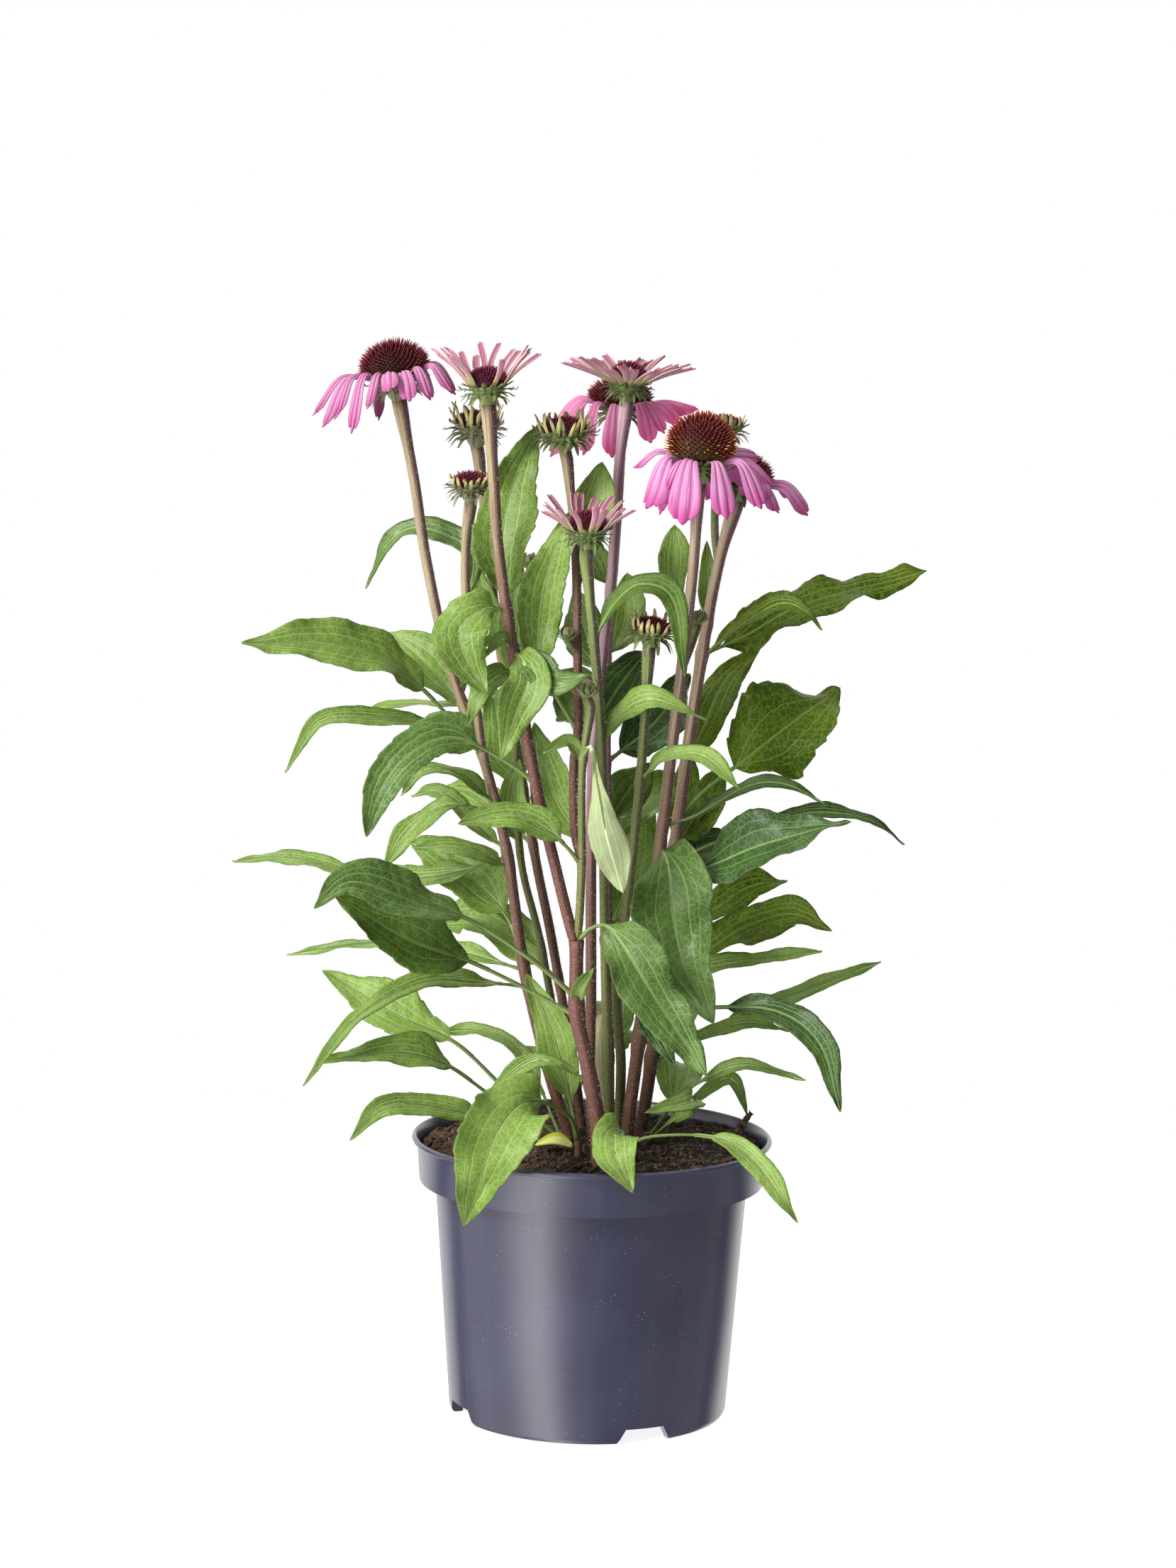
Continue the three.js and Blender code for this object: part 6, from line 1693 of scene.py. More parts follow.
@dataclass(frozen=True)
class Bud(Head):
    """A closed head with short stubs round a low dome."""

    stubs: int = 24
    rise: float = 6
    florets: int = 200

    def build(self, elevation: Elevation) -> None:
        """Builds the stubs and the dome."""
        growth = Growth(f"stubs_{self.stem}", [coat(Petal.STUB, True), coat(Petal.STUB)])
        for i in range(self.stubs):
            seed = self.part_seed(i)
            angle = 2 * math.pi * (i + 0.4 * chance(seed)) / self.stubs
            rise = self.rise * (0.7 + 0.6 * chance(seed + 5))
            lean = 0.5 * (chance(seed + 15) - 0.5)
            foot = polar(angle, self.radius * (0.78 + 0.14 * (i % 2)), self.lift - 1)
            middle = polar(angle + lean * 0.4, self.radius * (0.94 + 0.12 * (i % 2)), self.lift + rise * 0.5)
            tip = polar(angle + lean, self.radius * (0.9 + 0.34 * chance(seed + 9)), self.lift + rise)
            strap = Strap((1.3, 1.6, 1.4, 0.6), 0.26, taper=0.14, columns=4, rows=8)
            self.lay(growth, elevation, strap, [foot, middle, tip], polar(angle, -1, 0.3), seed)
        growth.finish(elevation, thickness=0.5)
        self.grow_cone(elevation, self.lift + 0.4, Cone.YOUNG, self.florets, 2.2)

    def cone_node(self) -> str:
        """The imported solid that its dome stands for."""
        return f"bud_{self.stem}"

    def slot_of_cone(self) -> str:
        """The name bud, for its dome."""
        return "bud"


@dataclass(frozen=True)
class SmallBud(Head):
    """A small green bud at the end of a side shoot, closed in its sepals."""

    SEPALS = 6
    SEPAL_ROWS = 3

    def grow_cup(self, growth: Growth, elevation: Elevation, coat_index: int, seed: int) -> None:
        """Grows the bud and its sepals.

        Args:
            growth: The piece it becomes part of.
            elevation: The drawing it is measured on.
            coat_index: Which of the piece's materials it wears.
            seed: What its own irregularities are drawn from.
        """
        neck = STEMS[self.stem].top

        def surface(u: np.ndarray, v: np.ndarray) -> Surface:
            ends = (v > 0.01) & (v < 0.99)
            belly = neck + (self.radius * 0.8 - neck) * np.sin(np.clip(v * 1.35, 0, 1) * math.pi / 2)
            radius = belly * np.sqrt(np.clip(1.02 - np.clip(v - 0.35, 0, 1) ** 2 / 0.43, 0, 1)) * ends
            shape = np.stack([0 * u + 0.3, v * 0.8, 0 * u + 0.5], axis=-1)
            return Surface(self.turned(elevation, u, radius, v * (self.height + 2) - 2), shape, shape)

        growth.sheet(16, 12, surface, coat_index, closed=True)
        for i in range(self.SEPALS * self.SEPAL_ROWS):
            row, mark = i // self.SEPALS, seed + i
            angle = 2 * math.pi * ((i % self.SEPALS) + 0.5 * row + 0.3 * chance(mark)) / self.SEPALS
            foot = polar(angle, self.radius * (0.55 + 0.1 * row), self.height * 0.12 * row)
            middle = polar(angle, self.radius * (1.25 - 0.1 * row), self.height * (0.3 + 0.15 * row))
            tip = polar(angle, (self.radius + 2.2) * (1.05 - 0.3 * row), self.height * (0.62 + 0.22 * row))
            strap = Strap((2.6, 2.8, 1.9, 0.4), 0.15, taper=0.12, columns=4, rows=7)
            self.lay(growth, elevation, strap, [foot, middle, tip], polar(angle, -0.7, 1), mark, coat_index)


HEADS: tuple[Head, ...] = (
    Bloom("a", (-9, 2), 10.5, 18, 17, petals=(
        (-151, 2, 523, 5), (-146, -12, 517, 6.5), (-138, -18, 524, 5), (-131, -20, 514, 6.5),
        (-123, -28, 527, 5.5), (-112, -26, 536, 9.5), (-101, -24, 531, 9.5), (-91, -18, 534, 7),
        (-79, -6, 537, 7), (-77, 12, 535, 7), (-90, 34, 532, 9), (-117, 40, 521, 8),
        (-140, 26, 521, 6)), arch=4.4),
    # This head's petals wear the far finish, which is painted light.
    Bloom("g", (2, 4), 9.5, 16.5, 11, petals=(
        (48, 30, 530, 9), (42, 22, 527, 7), (38, 14, 522, 8), (31, 9, 517, 8), (24, 6, 512, 10),
        (4, 6, 504, 10), (-11, 9, 505, 9), (-28, 18, 504, 9), (-30, 38, 516, 9), (-16, 58, 520, 9),
        (6, 66, 522, 9), (28, 60, 524, 9)), look=Petal.FAR, florets=360, arch=2.4),
    Bloom("h", (3, 6), 11, 18.2, 22, petals=(
        (15, -18, 499, 6), (22, -44, 478, 17), (33, -54, 488, 6), (29, -24, 475, 8), (41, -60, 470, 15),
        (64, -58, 473, 13), (82, -46, 479, 10), (88, -30, 492, 8), (80, -6, 506, 11), (72, 6, 490, 10),
        (54, 8, 484, 10), (36, 4, 486, 10)), look=Petal.DEEP, cone=Cone.RIPE, florets=440),
    Bloom("i", (8, 4), 9, 16, 13, petals=(
        (106, 22, 476, 12), (91, 5, 477, 9), (84, 4, 484, 7), (75, 8, 485, 8), (61, 12, 484, 8),
        (53, 30, 483, 9), (61, 48, 485, 9), (78, 54, 485, 9), (97, 42, 486, 9)), look=Petal.DEEP,
        florets=360),
    Opening("b", (-3, 3), 9.5, 10, 7, rays=24, reach=27, rise=17, front=0.4),
    Opening("f", (3, 4), 9, 9.5, 9, rays=24, reach=33, rise=12, broad=1.35),
    Opening("j", (0, 5), 8.5, 9.5, 8, rays=22, reach=24, rise=15, front=0.5),
    Bud("c", (0, 6), 11, 12, 6, rise=9),
    Bud("d", (-4, 8), 8, 9.5, 5, stubs=20, rise=4.5),
    Bud("e", (-2, 8), 9, 12.5, 6, rise=9),
    Bud("k", (6, 10), 8, 10, 5, stubs=20, rise=7),
    Bud("o", (4, 0), 8, 10, 5, rise=6),
    SmallBud("l", (0, 5), 0, 6, 9),
    SmallBud("m", (0, 5), 0, 5, 8),
    SmallBud("n", (0, 5), 0, 4.5, 7),
    SmallBud("p", (0, 5), 0, 4, 7),
)

NODES = ("stem_main", "stem_left", "stem_c", "stem_m", "stem_j", "stem_f", "stem_g", "stem_k", "stem_h",
    "stem_i", "leaves_left", "leaves_right", "leaves_front", "leaves_rim")


@dataclass
class Shoot:
    """Everything green that grows as one: its stems, stalks, bracts, blades and hairs."""

    node: str
    elevation: Elevation
    hairs_per_mm: float = 3.0

    SIDES = 14
    RING_STEP = 5.0

    def stems(self) -> dict[str, Stem]:
        """Its stems by name."""
        return {name: stem for name, stem in STEMS.items() if stem.node == self.node}

    def build(self) -> None:
        """Builds its pieces."""
        self.build_stalks()
        self.build_blades()
        self.build_hairs()

    def thickness(
        self, stem: Stem, name: str, line: Route
    ) -> Callable[[np.ndarray, np.ndarray], np.ndarray]:
        """How thick a stem is, with its ribs, its nodes and its neck.

        Args:
            stem: The stem.
            name: Its name.
            line: The line it runs along.

        Returns:
            What takes the angle round it and the share along it to its radius.
        """
        joints = [leaf.height for leaf in LEAVES if leaf.stem == name]
        drawn = [STEMS[name].join(self.elevation, height).z for height in joints]
        crowned = any(head.stem == name for head in HEADS)
        turn = 6 * chance(len(name) + ord(name[-1]))

        def radius(angle: np.ndarray, share: np.ndarray) -> np.ndarray:
            plain = (stem.foot + (stem.top - stem.foot) * share) * (0.55 if name.startswith("crown") else 1)
            rise = line.at(share)[:, 2]
            swell = sum((0.16 * bell(rise - z, 3.5) for z in drawn), 0 * share)
            neck = 0.5 * ease(line.length - 30, line.length, share * line.length) * crowned
            ribs = 0.04 * np.cos(6 * angle + turn + share * 2)
            return plain * (1 + swell + neck + ribs)

        return radius

    def build_stalks(self) -> None:
        """Builds the stems with their leaf stalks, cups and bracts."""
        skins = [*Skin, *Bract]
        growth = Growth(f"{self.node}_stalks", [coat(kind) for kind in skins])
        names = self.stems()
        for name, stem in names.items():
            line = stem.line(self.elevation)
            skin = skins.index(SKINS.get(name, Skin.OLIVE))
            rings = max(8, round(line.length / self.RING_STEP))
            growth.tube(line, self.thickness(stem, name, line), self.SIDES, rings, skin)
        for leaf in LEAVES:
            if leaf.stem in names:
                leaf.grow_stalk(growth, self.elevation, skins.index(Skin.STALK))
        for i, head in enumerate(HEADS):
            if head.stem in names:
                look = Bract.DUSKY if head.stem in "adc" else Bract.LEAFY
                head.grow_cup(growth, self.elevation, skins.index(look), 700 + 60 * i)
        growth.finish(self.elevation, [self.node])

    def build_blades(self) -> None:
        """Builds the leaf blades."""
        looks = list(Look)
        coats = [coat(look, under) for look in looks for under in (False, True)]
        growth = Growth(f"{self.node}_blades", coats)
        found = False
        for seed, leaf in enumerate(LEAVES):
            if leaf.stem in self.stems():
                leaf.grow_blade(growth, self.elevation, seed, 2 * looks.index(leaf.look))
                found = True
        if found:
            growth.finish(self.elevation, thickness=Leaf.THICKNESS)

    def build_hairs(self) -> None:
        """Builds the fine bristles that stand out from the stems."""
        places, ways = [], []
        for name, stem in self.stems().items():
            if name.startswith("crown"):
                continue
            line = stem.line(self.elevation)
            count = round(line.length * self.hairs_per_mm)
            rng = np.random.default_rng(ord(name[0]) * 7 + len(name))
            share, angle = rng.uniform(0.02, 0.99, count), rng.uniform(0, 2 * math.pi, count)
            heading = line.along(share)
            right, front = round_frame(heading)
            out = right * np.cos(angle)[:, None] + front * np.sin(angle)[:, None]
            radius = self.thickness(stem, name, line)(angle, share) * 0.97
            above = line.at(share)[:, 2] > Soil.LEVEL + 2
            places.append((line.at(share) + out * radius[:, None])[above])
            ways.append((out + heading * 0.35 + rng.normal(0, 0.25, (count, 3)))[above])
        if not places:
            return
        origins, headings = np.concatenate(places), np.concatenate(ways)
        rng = np.random.default_rng(len(origins))
        name = f"{self.node}_hairs"
        data = bristle().copies(name, self.elevation, origins, headings, np.full(len(origins), 0.1),
            rng.uniform(0.7, 1.7, len(origins)))
        settle(name, data, [hair_paint()])


# ---------------------------------------------------------------- pot and soil


@cache
def hair_paint() -> bpy.types.Material:
    """The whitish bristles of the stems."""
    return plain_paint("bristle", (0.6, 0.58, 0.48), (0.8, 0.78, 0.7), 0.6, 300)


def spun(name: str, profile: Sequence[tuple[float, float]], steps: int) -> bmesh.types.BMesh:
    """A body turned about the pot's axis.

    Args:
        name: What it is, for the log.
        profile: Its outline from the axis round to the axis again, as radii and heights.
        steps: How many sides it has.

    Returns:
        The turned mesh, in millimetres.
    """
    turned = bmesh.new()
    corners = [turned.verts.new((radius, 0, height)) for radius, height in profile]
    edges = [turned.edges.new(pair) for pair in zip(corners, corners[1:])]
    bmesh.ops.spin(turned, geom=corners + edges, axis=(0, 0, 1), cent=(0, 0, 0), steps=steps,
        angle=2 * math.pi, use_merge=True)
    bmesh.ops.remove_doubles(turned, verts=turned.verts[:], dist=1e-3)
    bmesh.ops.recalc_face_normals(turned, faces=turned.faces[:])
    log.info("turned %s: %d faces", name, len(turned.faces))
    return turned


@dataclass
class Pot:
    """The nursery pot: a turned shell with a deep band, a rolled lip, notched foot and drain holes."""

    elevation: Elevation
    height: float = 147.4
    lip_radius: float = 95.0
    lip_height: float = 3.2
    band_top: float = 92.1
    band_foot: float = 90.9
    band_height: float = 23.9
    body_top: float = 82.5
    base: float = 73.3
    wall: float = 1.8
    foot_height: float = 8.6
    notch_width: float = 31.0
    notch_top: float = 21.0
    notches: int = 4
    first_notch: float = 24.0
    drain_radius: float = 5.0
    drain_circle: float = 42.0
    steps: int = 144

    def profile(self) -> list[tuple[float, float]]:
        """Its outline, from the middle of its underside out, up and back down inside."""
        top, shelf = self.height, self.height - self.band_height
        lean = (self.body_top - self.base) / shelf
        inner_foot = self.base + lean * self.foot_height - self.wall
        lip = top - self.lip_height
        foot, base, body, wall = self.foot_height, self.base, self.body_top, self.wall
        low, high, rolled = self.band_foot, self.band_top, self.lip_radius
        return [
            (0, foot), (inner_foot - 4.5, foot), (inner_foot - 3.8, foot - 0.8),
            (base - 6.4, 0.5), (base - 5.8, 0), (base - 2.4, 0), (base - 0.9, 0.5),
            (base - 0.2, 1.8), (base + lean * 2.6, 2.6), (base + lean * 60, 60),
            (body - 0.1, shelf - 0.6), (body + 0.5, shelf - 0.1), (low - 0.9, shelf),
            (low - 0.2, shelf + 0.25), (low, shelf + 1), (high, lip - 0.7),
            (high + 0.3, lip - 0.1), (rolled - 1.2, lip + 0.2), (rolled - 0.4, lip + 0.6),
            (rolled, lip + 1.4), (rolled - 0.2, top - 0.9), (rolled - 0.9, top - 0.25),
            (rolled - 1.6, top), (rolled - 2.3, top - 0.3), (rolled - 3, top - 1.4),
            (rolled - 4, top - 4), (high - wall, top - 7.5),
            (low - wall, shelf + wall + 0.6), (low - wall - 0.7, shelf + wall),
            (body - wall, shelf + wall - 0.3), (body - wall - 0.2, shelf - 0.6),
            (inner_foot + 0.4, foot + wall + 1), (inner_foot - 0.8, foot + wall),
            (0, foot + wall),
        ]

    def cutter(self) -> bpy.types.Object:
        """The body that its notches and drain holes are cut with."""
        cut = bmesh.new()
        for i in range(self.notches):
            turn = Matrix.Rotation(math.radians(self.first_notch + 360 / self.notches * i), 4, "Z")
            made = bmesh.ops.create_cube(cut, size=1)
            for corner in made["verts"]:
                high = corner.co.z > 0
                width = self.notch_top if high else self.notch_width
                level = self.foot_height - 0.6 if high else -1
                corner.co = (corner.co.x * width, corner.co.y * 26 - self.base, level)
            bmesh.ops.transform(cut, matrix=turn, verts=made["verts"])
            aside = Matrix.Rotation(math.radians(45 + 90 * i), 4, "Z")
            hole = aside @ Matrix.Translation((self.drain_circle, 0, 9))
            bmesh.ops.create_cone(cut, cap_ends=True, segments=28, radius1=self.drain_radius,
                radius2=self.drain_radius, depth=12, matrix=hole)
        return set_out("pot_cutter", to_data(cut, "pot_cutter", self.elevation))

    def build(self) -> None:
        """Builds the pot."""
        shell = spun("pot", self.profile(), self.steps)
        for face in shell.faces:
            face.smooth = True
        for edge in shell.edges:
            edge.smooth = len(edge.link_faces) != 2 or edge.calc_face_angle(0) < math.radians(32)
        rough = set_out("pot_uncut", to_data(shell, "pot_uncut", self.elevation))
        cutter = self.cutter()
        cut = rough.modifiers.new("cut", "BOOLEAN")
        cut.operation = "DIFFERENCE"
        cut.solver = "EXACT"
        cut.object = cutter
        depsgraph = bpy.context.evaluated_depsgraph_get()
        carved = bpy.data.meshes.new_from_object(rough.evaluated_get(depsgraph))
        carved.name = "pot_shell"
        for spare in (cutter, rough):
            bpy.data.objects.remove(spare, do_unlink=True)
        settle("pot_shell", carved, [pot_paint()], ["pot"])


@dataclass
class Soil:
    """The root ball, with the crumbs and fibres that lie on it."""

    elevation: Elevation
    pot: Pot
    seed: int = 11
    crumbs: int = 2200
    fibres: int = 900
    steps: int = 120

    LEVEL = 141.6
    RINGS = 44

    def height_at(self, x: float, y: float) -> float:
        """The height of its top at a place."""
        place = Vector((x, y, 0))
        clump = noise.fractal(place * 0.055, 1.0, 2.1, 3)
        lumps = noise.fractal(place * 0.22, 0.9, 2.2, 3)
        mound = 2.2 * math.exp(-((x - 4) ** 2 + (y + 6) ** 2) / 1800)
        heap = 3.2 * math.exp(-((x + 62) ** 2 + (y + 8) ** 2) / 700)
        return self.LEVEL - 0.4 + 2.0 * clump + 1.7 * lumps + mound + heap

    def build(self) -> None:
        """Builds the root ball and what lies on it."""
        pot = self.pot
        shelf = pot.height - pot.band_height
        slack = pot.wall + 0.9
        floor = pot.foot_height + pot.wall + 0.4
        edge = pot.band_top - slack - 0.4
        lean = (pot.body_top - pot.base) / shelf
        profile = [(0, floor), (pot.base + lean * floor - slack, floor), (pot.body_top - slack, shelf + 2.2),
            (pot.band_foot - slack - 0.2, shelf + 2.2), (edge, self.LEVEL - 2)]
        profile += [(edge * (1 - i / self.RINGS), self.LEVEL) for i in range(self.RINGS + 1)]
        ball = spun("soil", profile, self.steps)
        for corner in ball.verts:
            if corner.co.z > self.LEVEL - 0.1:
                corner.co.z = self.height_at(corner.co.x, corner.co.y)
        for face in ball.faces:
            face.smooth = True
        settle("soil_ball", to_data(ball, "soil_ball", self.elevation), [soil_paint()], ["soil"])
        self.scatter("soil_crumbs", crumb(3), self.crumbs, (0.3, 1.8), 0.7,
            plain_paint("soil_crumb", (0.02, 0.013, 0.01), (0.1, 0.06, 0.04), 0.9, 500))
        self.scatter("soil_chips", crumb(31), 90, (0.4, 1.5), 0.5,
            plain_paint("soil_chip", (0.12, 0.08, 0.05), (0.3, 0.22, 0.14), 0.85, 500))
        self.scatter("soil_fibres", bristle(), self.fibres, (0.12, 0.22), 9.0,
            plain_paint("soil_fibre", (0.1, 0.06, 0.035), (0.28, 0.18, 0.1), 0.85, 300), flat=True)

    def scatter(
        self,
        name: str,
        stamp: Stamp,
        count: int,
        sizes: tuple[float, float],
        length: float,
        material: bpy.types.Material,
        flat: bool = False,
    ) -> None:
        """Strews copies of a small shape over the soil.

        Args:
            name: The piece's name.
            stamp: The shape.
            count: How many copies there are.
            sizes: The smallest and largest of their widths.
            length: How long they are, in times their width or, where they lie flat, in millimetres.
            material: Their finish.
            flat: Whether they lie flat.
        """
        rng = np.random.default_rng(self.seed + count)
        reach = np.sqrt(rng.uniform(0, 1, count)) * (self.pot.band_top - 5)
        angle = rng.uniform(0, 2 * math.pi, count)
        x, y = reach * np.cos(angle), reach * np.sin(angle)
        z = np.array([self.height_at(a, b) for a, b in zip(x, y)])
        widths = rng.uniform(*sizes, count)
        headings = rng.normal(0, 1, (count, 3))
        lengths = widths * (length + 0.5 * rng.uniform(0, 1, count))
        if flat:
            headings[:, 2] = rng.uniform(-0.1, 0.35, count)
            lengths = length * rng.uniform(0.3, 1, count)
        origins = np.stack([x, y, z + (0.2 if flat else 0) + 0.1 * widths], axis=-1)
        data = stamp.copies(name, self.elevation, origins, headings, widths, lengths)
        settle(name, data, [material])


@dataclass
class Debris:
    """Last year's cut stem, the bark that leans on the rim and a yellowed leaf on the soil."""

    elevation: Elevation
    x: float = 4.8
    y: float = 3.0
    radius: float = 4.0
    foot: float = 126.0
    top: float = 211.0

    SLIVERS = 7

    def build(self) -> None:
        """Builds the three pieces."""
        self.build_stub()
        self.build_bark()
        self.build_leaf()

    def build_stub(self) -> None:
        """Builds the cut stem with its hollow top and its shredded rim."""
        growth = Growth("cut_stem", [stub_paint()])
        hollow = 5.0

        def surface(u: np.ndarray, v: np.ndarray) -> Surface:
            angle = 2 * math.pi * u
            outside = v < 0.8
            climb = self.foot + (self.top - self.foot) * v / 0.8
            rise = np.where(outside, climb, self.top - hollow * (v - 0.8) / 0.2)
            shred = 1.6 * np.sin(angle * 3 + 1) + 0.8 * np.sin(angle * 7)
            rise = rise + shred * ease(self.top - 8, self.top, rise) * (v < 0.9)
            wide = self.radius * (1 - 0.05 * v) * (1 + 0.04 * np.cos(7 * angle) + 0.02 * np.cos(13 * angle))
            radius = np.where(outside, wide, self.radius * (0.9 - 2.2 * (v - 0.8)))
            radius = radius * ((v > 0.005) & (v < 0.995))
            points = rim(angle, radius, rise) + np.array((self.x, self.y, 0))
            shape = np.stack([np.cos(angle), np.sin(angle), rise], axis=-1)
            return Surface(points, shape, shape)

        growth.sheet(28, 60, surface, closed=True)
        growth.finish(self.elevation, ["stub"], outward=True)

    def build_bark(self) -> None:
        """Builds the splinter of bark that leans on the rim."""
        skin = plain_paint("bark", (0.028, 0.016, 0.012), (0.13, 0.08, 0.05), 0.9, 260)
        growth = Growth("bark_splinter", [skin])
        line = Route([Vector((68, 9, 137)), Vector((77, 14, 147)), Vector((84.5, 18, 157))])

        def radius(angle: np.ndarray, share: np.ndarray) -> np.ndarray:
            chip = 1 + 0.3 * np.sin(angle * 3 + share * 14) + 0.2 * np.sin(angle * 5 - share * 29)
            return (1.1 + 2.3 * (1 - share)) * chip * (0.55 + 0.45 * np.cos(angle) ** 2)

        def sliver(angle: np.ndarray, share: np.ndarray) -> np.ndarray:
            return 0.7 * (1.1 - share) * (0.6 + 0.4 * np.cos(angle) ** 2)

        growth.tube(line, radius, 16, 24)
        for i in range(self.SLIVERS):
            root = line.at(np.array([0.35 + 0.6 * chance(i + 3)]))[0]
            way = Vector((chance(i + 7) - 0.35, 0.6 * chance(i + 11) - 0.3, chance(i + 17) - 0.15))
            tip = Vector(root) + way.normalized() * (2.5 + 3.5 * chance(i + 19))
            bow = (Vector(root) + tip) / 2 + Vector((0, 0, 0.4))
            growth.tube(Route([Vector(root), bow, tip]), sliver, 6, 6)
        growth.finish(self.elevation, outward=True)

    def build_leaf(self) -> None:
        """Builds the yellowed leaf that lies on the soil."""
        growth = Growth("fallen_leaf", [coat(Look.YELLOW), coat(Look.YELLOW, True)])
        points = [self.elevation.place(p) for p in ((-10, -26, 141), (-19, -28, 144), (-30, -26, 141.5))]
        strap = Strap((3.0, 9.5, 8.5, 1.5), 0.16, taper=0.1, groove=0.2, columns=10, rows=16)
        strap.grow(growth, points, Vector((0.1, -0.5, 1)).normalized(), 5)
        growth.finish(self.elevation, thickness=0.4)


def stub_paint() -> bpy.types.Material:
    """The pale, fibrous, weathered skin of last year's stem."""
    paint = Paint("cut_stem_skin")
    ring, _, _, height = paint.attribute("shape")
    fibre = paint.cloud(paint.scaled(ring, (3.4, 3.4, 0.02)), 3.0, 4)
    blotch = paint.cloud(paint.scaled(ring, (0.9, 0.9, 0.03)), 1.7, 3)
    pale = paint.mix(paint.slope(fibre, 0.35, 0.65), (0.24, 0.26, 0.12), (0.5, 0.5, 0.3))
    greyed = paint.mix(paint.slope(blotch, 0.45, 0.65, 0, 0.6), pale, (0.2, 0.17, 0.12))
    colour = paint.mix(paint.slope(height, 203, 211, 0, 0.6), greyed, (0.3, 0.24, 0.14))
    paint.relief(fibre, 0.5, 1.0)
    return paint.wear(colour, 0.72, 0.3)


# ---------------------------------------------------------------- the studio


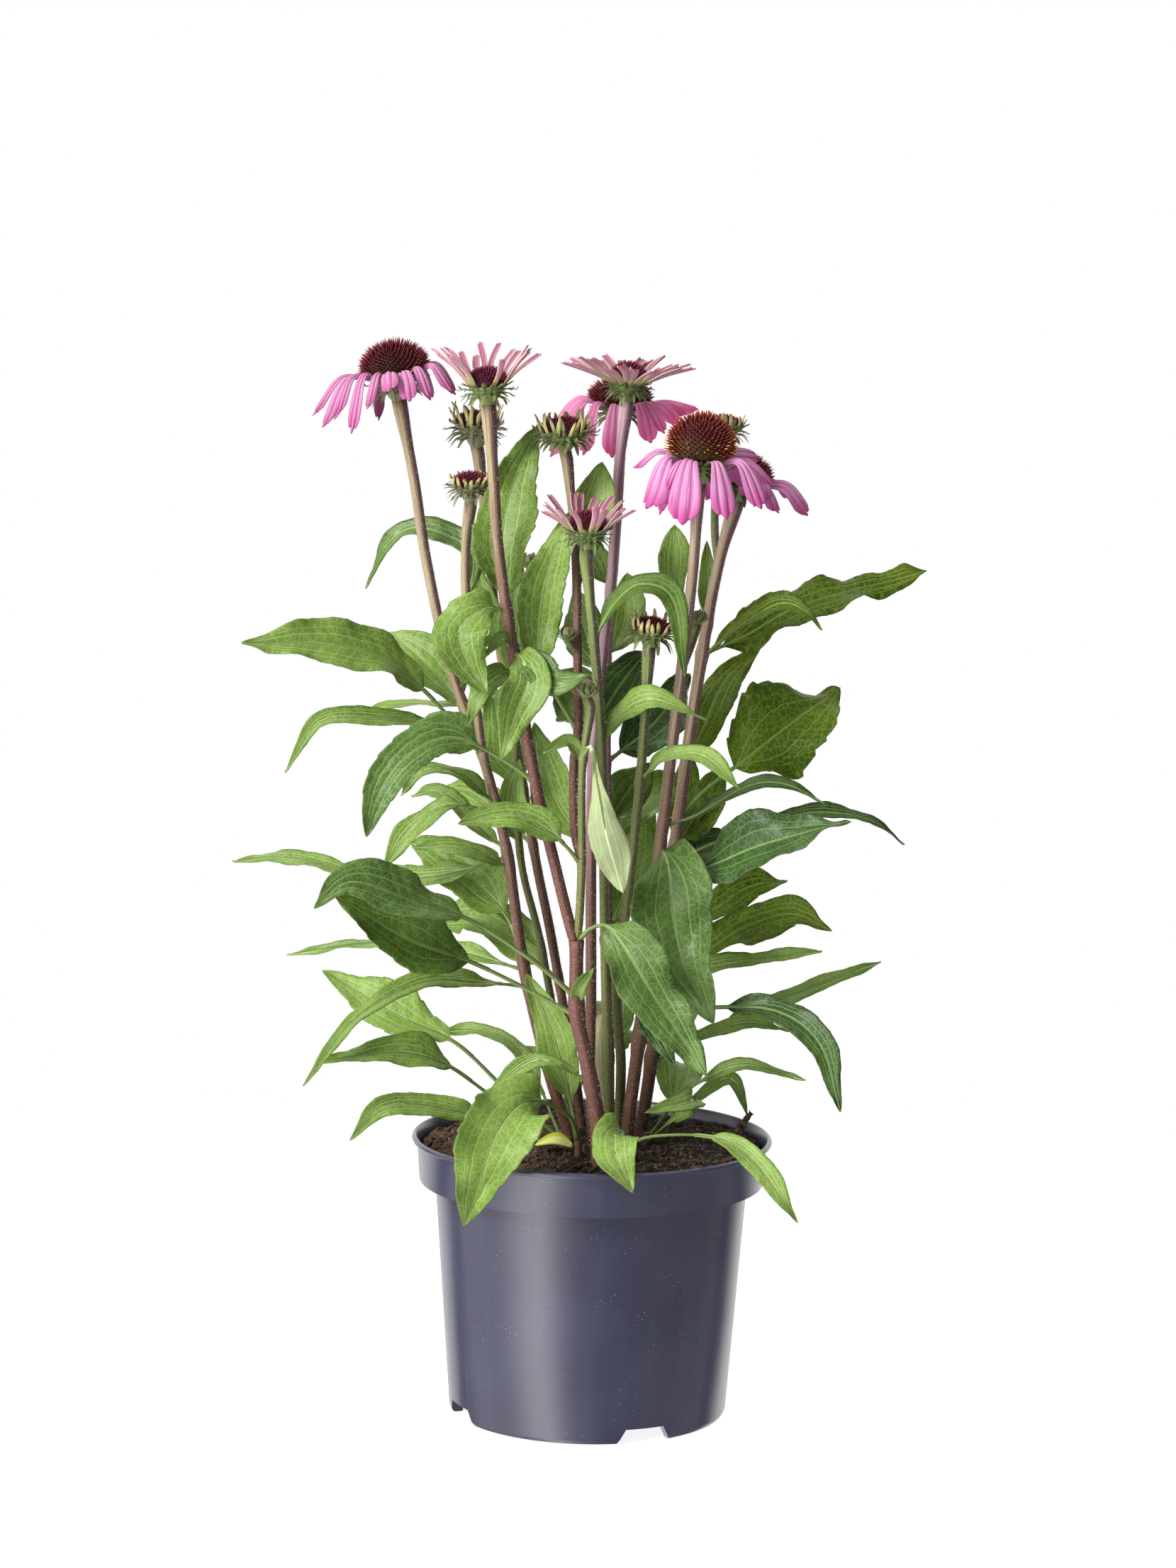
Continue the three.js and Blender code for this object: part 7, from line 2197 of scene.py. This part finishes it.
@dataclass
class Studio:
    """The pale floor, the soft light and the camera."""

    elevation: Elevation
    dip: float = 7.275
    roll: float = 1.02
    lens: float = 93.82
    sensor: float = 36.0

    FLOOR_REACH = 1.6
    # How bright the light is at azimuths from the viewer, in degrees.
    SKY = ((-180, 1.2), (-150, 1.4), (-136, 1.1), (-128, 0.1), (-119, 0.1), (-112, 1.0), (-91, 0.95),
        (-73, 1.2), (-64, 1.8), (-53, 3.3), (-37, 4.2), (-24, 1.7), (-14, 0.8), (0, 0.42), (20, 0.3),
        (95, 0.26), (108, 0.4), (116, 0.3), (121, 0.05), (129, 0.05), (136, 0.8), (150, 1.4), (180, 1.2))
    BRIGHTEST = 4.2
    TOP = 1.05
    KEY_PLACE = (-1.4, -1.1, 1.6)
    KEY_SIZE = 0.7
    KEY_POWER = 45.0
    KEY_AIM = (0, 0, 0.3)
    LOW_SKY = 38  # the ring of light ends at this elevation, in degrees,
    HIGH_SKY = 65  # and the even light overhead begins at this one
    PAPER_GLOW = 0.82

    def build(self) -> None:
        """Builds the floor, the light and the camera."""
        self.build_floor()
        self.build_light()
        self.build_key()
        self.build_camera()

    def build_floor(self) -> None:
        """Lays a pale disc that fades into the white around it."""
        disc = bmesh.new()
        bmesh.ops.create_circle(disc, cap_ends=True, segments=64, radius=self.FLOOR_REACH)
        data = bpy.data.meshes.new("floor")
        disc.to_mesh(data)
        disc.free()
        floor = set_out("floor", data)
        floor.location = (self.elevation.axis_x, self.elevation.axis_y, -0.0005)
        floor.visible_glossy = False
        data.materials.append(self.floor_paint())

    def floor_paint(self) -> bpy.types.Material:
        """White paper that glows a little, so that only the soft shadow at the pot's foot shows."""
        paint = Paint("floor_paper")
        parts = paint.node("ShaderNodeSeparateXYZ")
        paint.feed(parts.inputs[0], paint.place())
        away = paint.sum("SQRT", paint.sum("ADD", paint.sum("POWER", parts.outputs[0], 2),
            paint.sum("POWER", parts.outputs[1], 2)))
        paper = paint.node("ShaderNodeBsdfDiffuse")
        paper.inputs["Color"].default_value = (0.9, 0.9, 0.9, 1)
        light = paint.node("ShaderNodeEmission")
        light.inputs["Strength"].default_value = self.PAPER_GLOW
        both = paint.node("ShaderNodeAddShader")
        paint.feed(both.inputs[0], paper.outputs[0])
        paint.feed(both.inputs[1], light.outputs[0])
        clear = paint.node("ShaderNodeBsdfTransparent")
        fade = paint.node("ShaderNodeMixShader")
        paint.feed(fade.inputs[0], paint.slope(away, 0.2, 0.8))
        paint.feed(fade.inputs[1], both.outputs[0])
        paint.feed(fade.inputs[2], clear.outputs[0])
        paint.feed(paint.output.inputs["Surface"], fade.outputs[0])
        return paint.material

    def build_light(self) -> None:
        """Lights the plant by a ring of soft boxes, on plain white."""
        world = bpy.data.worlds.new("studio")
        bpy.context.scene.world = world
        world.use_nodes = True
        tree = world.node_tree
        tree.nodes.clear()
        link = tree.links.new

        def step(kind: str, **settings: object) -> bpy.types.Node:
            made = tree.nodes.new(kind)
            for key, value in settings.items():
                setattr(made, key, value)
            return made

        parts = step("ShaderNodeSeparateXYZ")
        link(step("ShaderNodeTexCoord").outputs["Generated"], parts.inputs[0])
        ahead = step("ShaderNodeMath", operation="MULTIPLY")
        link(parts.outputs[1], ahead.inputs[0])
        ahead.inputs[1].default_value = -1
        round_it = step("ShaderNodeMath", operation="ARCTAN2")
        link(parts.outputs[0], round_it.inputs[0])
        link(ahead.outputs[0], round_it.inputs[1])
        share = step("ShaderNodeMapRange")
        link(round_it.outputs[0], share.inputs["Value"])
        share.inputs["From Min"].default_value = -math.pi
        share.inputs["From Max"].default_value = math.pi
        ring = step("ShaderNodeValToRGB")
        link(share.outputs["Result"], ring.inputs[0])
        self.fill_ring(ring.color_ramp)
        boost = step("ShaderNodeMath", operation="MULTIPLY")
        link(ring.outputs["Color"], boost.inputs[0])
        boost.inputs[1].default_value = self.BRIGHTEST
        high = step("ShaderNodeMapRange", interpolation_type="SMOOTHSTEP")
        link(parts.outputs[2], high.inputs["Value"])
        high.inputs["From Min"].default_value = math.sin(math.radians(self.LOW_SKY))
        high.inputs["From Max"].default_value = math.sin(math.radians(self.HIGH_SKY))
        sky = step("ShaderNodeMix", data_type="FLOAT")
        link(high.outputs["Result"], sky.inputs[0])
        link(boost.outputs[0], sky.inputs[2])
        sky.inputs[3].default_value = self.TOP
        seen = step("ShaderNodeLightPath")
        light = step("ShaderNodeBackground")
        link(sky.outputs[0], light.inputs["Strength"])
        light.inputs["Color"].default_value = (1, 0.985, 0.965, 1)
        white = step("ShaderNodeBackground")
        white.inputs["Color"].default_value = (1, 1, 1, 1)
        both = step("ShaderNodeMixShader")
        link(seen.outputs["Is Camera Ray"], both.inputs[0])
        link(light.outputs[0], both.inputs[1])
        link(white.outputs[0], both.inputs[2])
        link(both.outputs[0], step("ShaderNodeOutputWorld").inputs["Surface"])

    def build_key(self) -> None:
        """Hangs a soft box high on the left, aimed at the middle of the plant."""
        data = bpy.data.lights.new("key", "AREA")
        data.size = self.KEY_SIZE
        data.energy = self.KEY_POWER
        data.color = (1, 0.985, 0.95)
        key = set_out("key", data)
        key.location = self.KEY_PLACE
        key.rotation_euler = (Vector(self.KEY_AIM) - key.location).to_track_quat("-Z", "Y").to_euler()

    def fill_ring(self, ramp: bpy.types.ColorRamp) -> None:
        """Sets how bright the light is round the plant, by the azimuth from the viewer."""
        stops = [((azimuth + 180) / 360, level / self.BRIGHTEST) for azimuth, level in self.SKY]
        while len(ramp.elements) > 1:
            ramp.elements.remove(ramp.elements[0])
        ramp.elements[0].position = stops[0][0]
        ramp.elements[0].color = (stops[0][1],) * 3 + (1,)
        for position, level in stops[1:]:
            ramp.elements.new(position).color = (level, level, level, 1)

    def build_camera(self) -> None:
        """Sets the camera at the eye of the drawing."""
        data = bpy.data.cameras.new("eye")
        data.sensor_fit = "VERTICAL"
        data.sensor_height = self.sensor
        data.lens = self.lens
        data.clip_start = 0.1
        data.clip_end = 50
        data.dof.use_dof = False
        eye = set_out("eye", data)
        place = self.elevation.to_frame() @ Vector((self.elevation.eye_x, -self.elevation.distance,
            self.elevation.eye_z))
        pitch = Matrix.Rotation(math.radians(90 - self.dip), 4, "X")
        roll = Matrix.Rotation(math.radians(self.roll), 4, "Z")
        eye.matrix_world = Matrix.Translation(place) @ (pitch @ roll)
        bpy.context.scene.camera = eye
        bpy.context.scene.view_settings.view_transform = "Standard"


def corners(box: tuple[Vector, Vector]) -> list[list[float]]:
    """A box as plain lists of numbers."""
    return [[float(value) for value in corner] for corner in box]


def main() -> None:
    """Builds the plant in its pot and sets it in the studio."""
    logging.basicConfig(level=logging.INFO, format="%(message)s")
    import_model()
    low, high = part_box("pot")
    elevation = Elevation(*((low + high) / 2).xy)
    pot = Pot(elevation)
    pot.build()
    Soil(elevation, pot).build()
    Debris(elevation).build()
    for node in NODES:
        Shoot(node, elevation).build()
    for head in HEADS:
        if not isinstance(head, SmallBud):
            head.build(elevation)
    Studio(elevation).build()


if __name__ == "__main__":
    main()
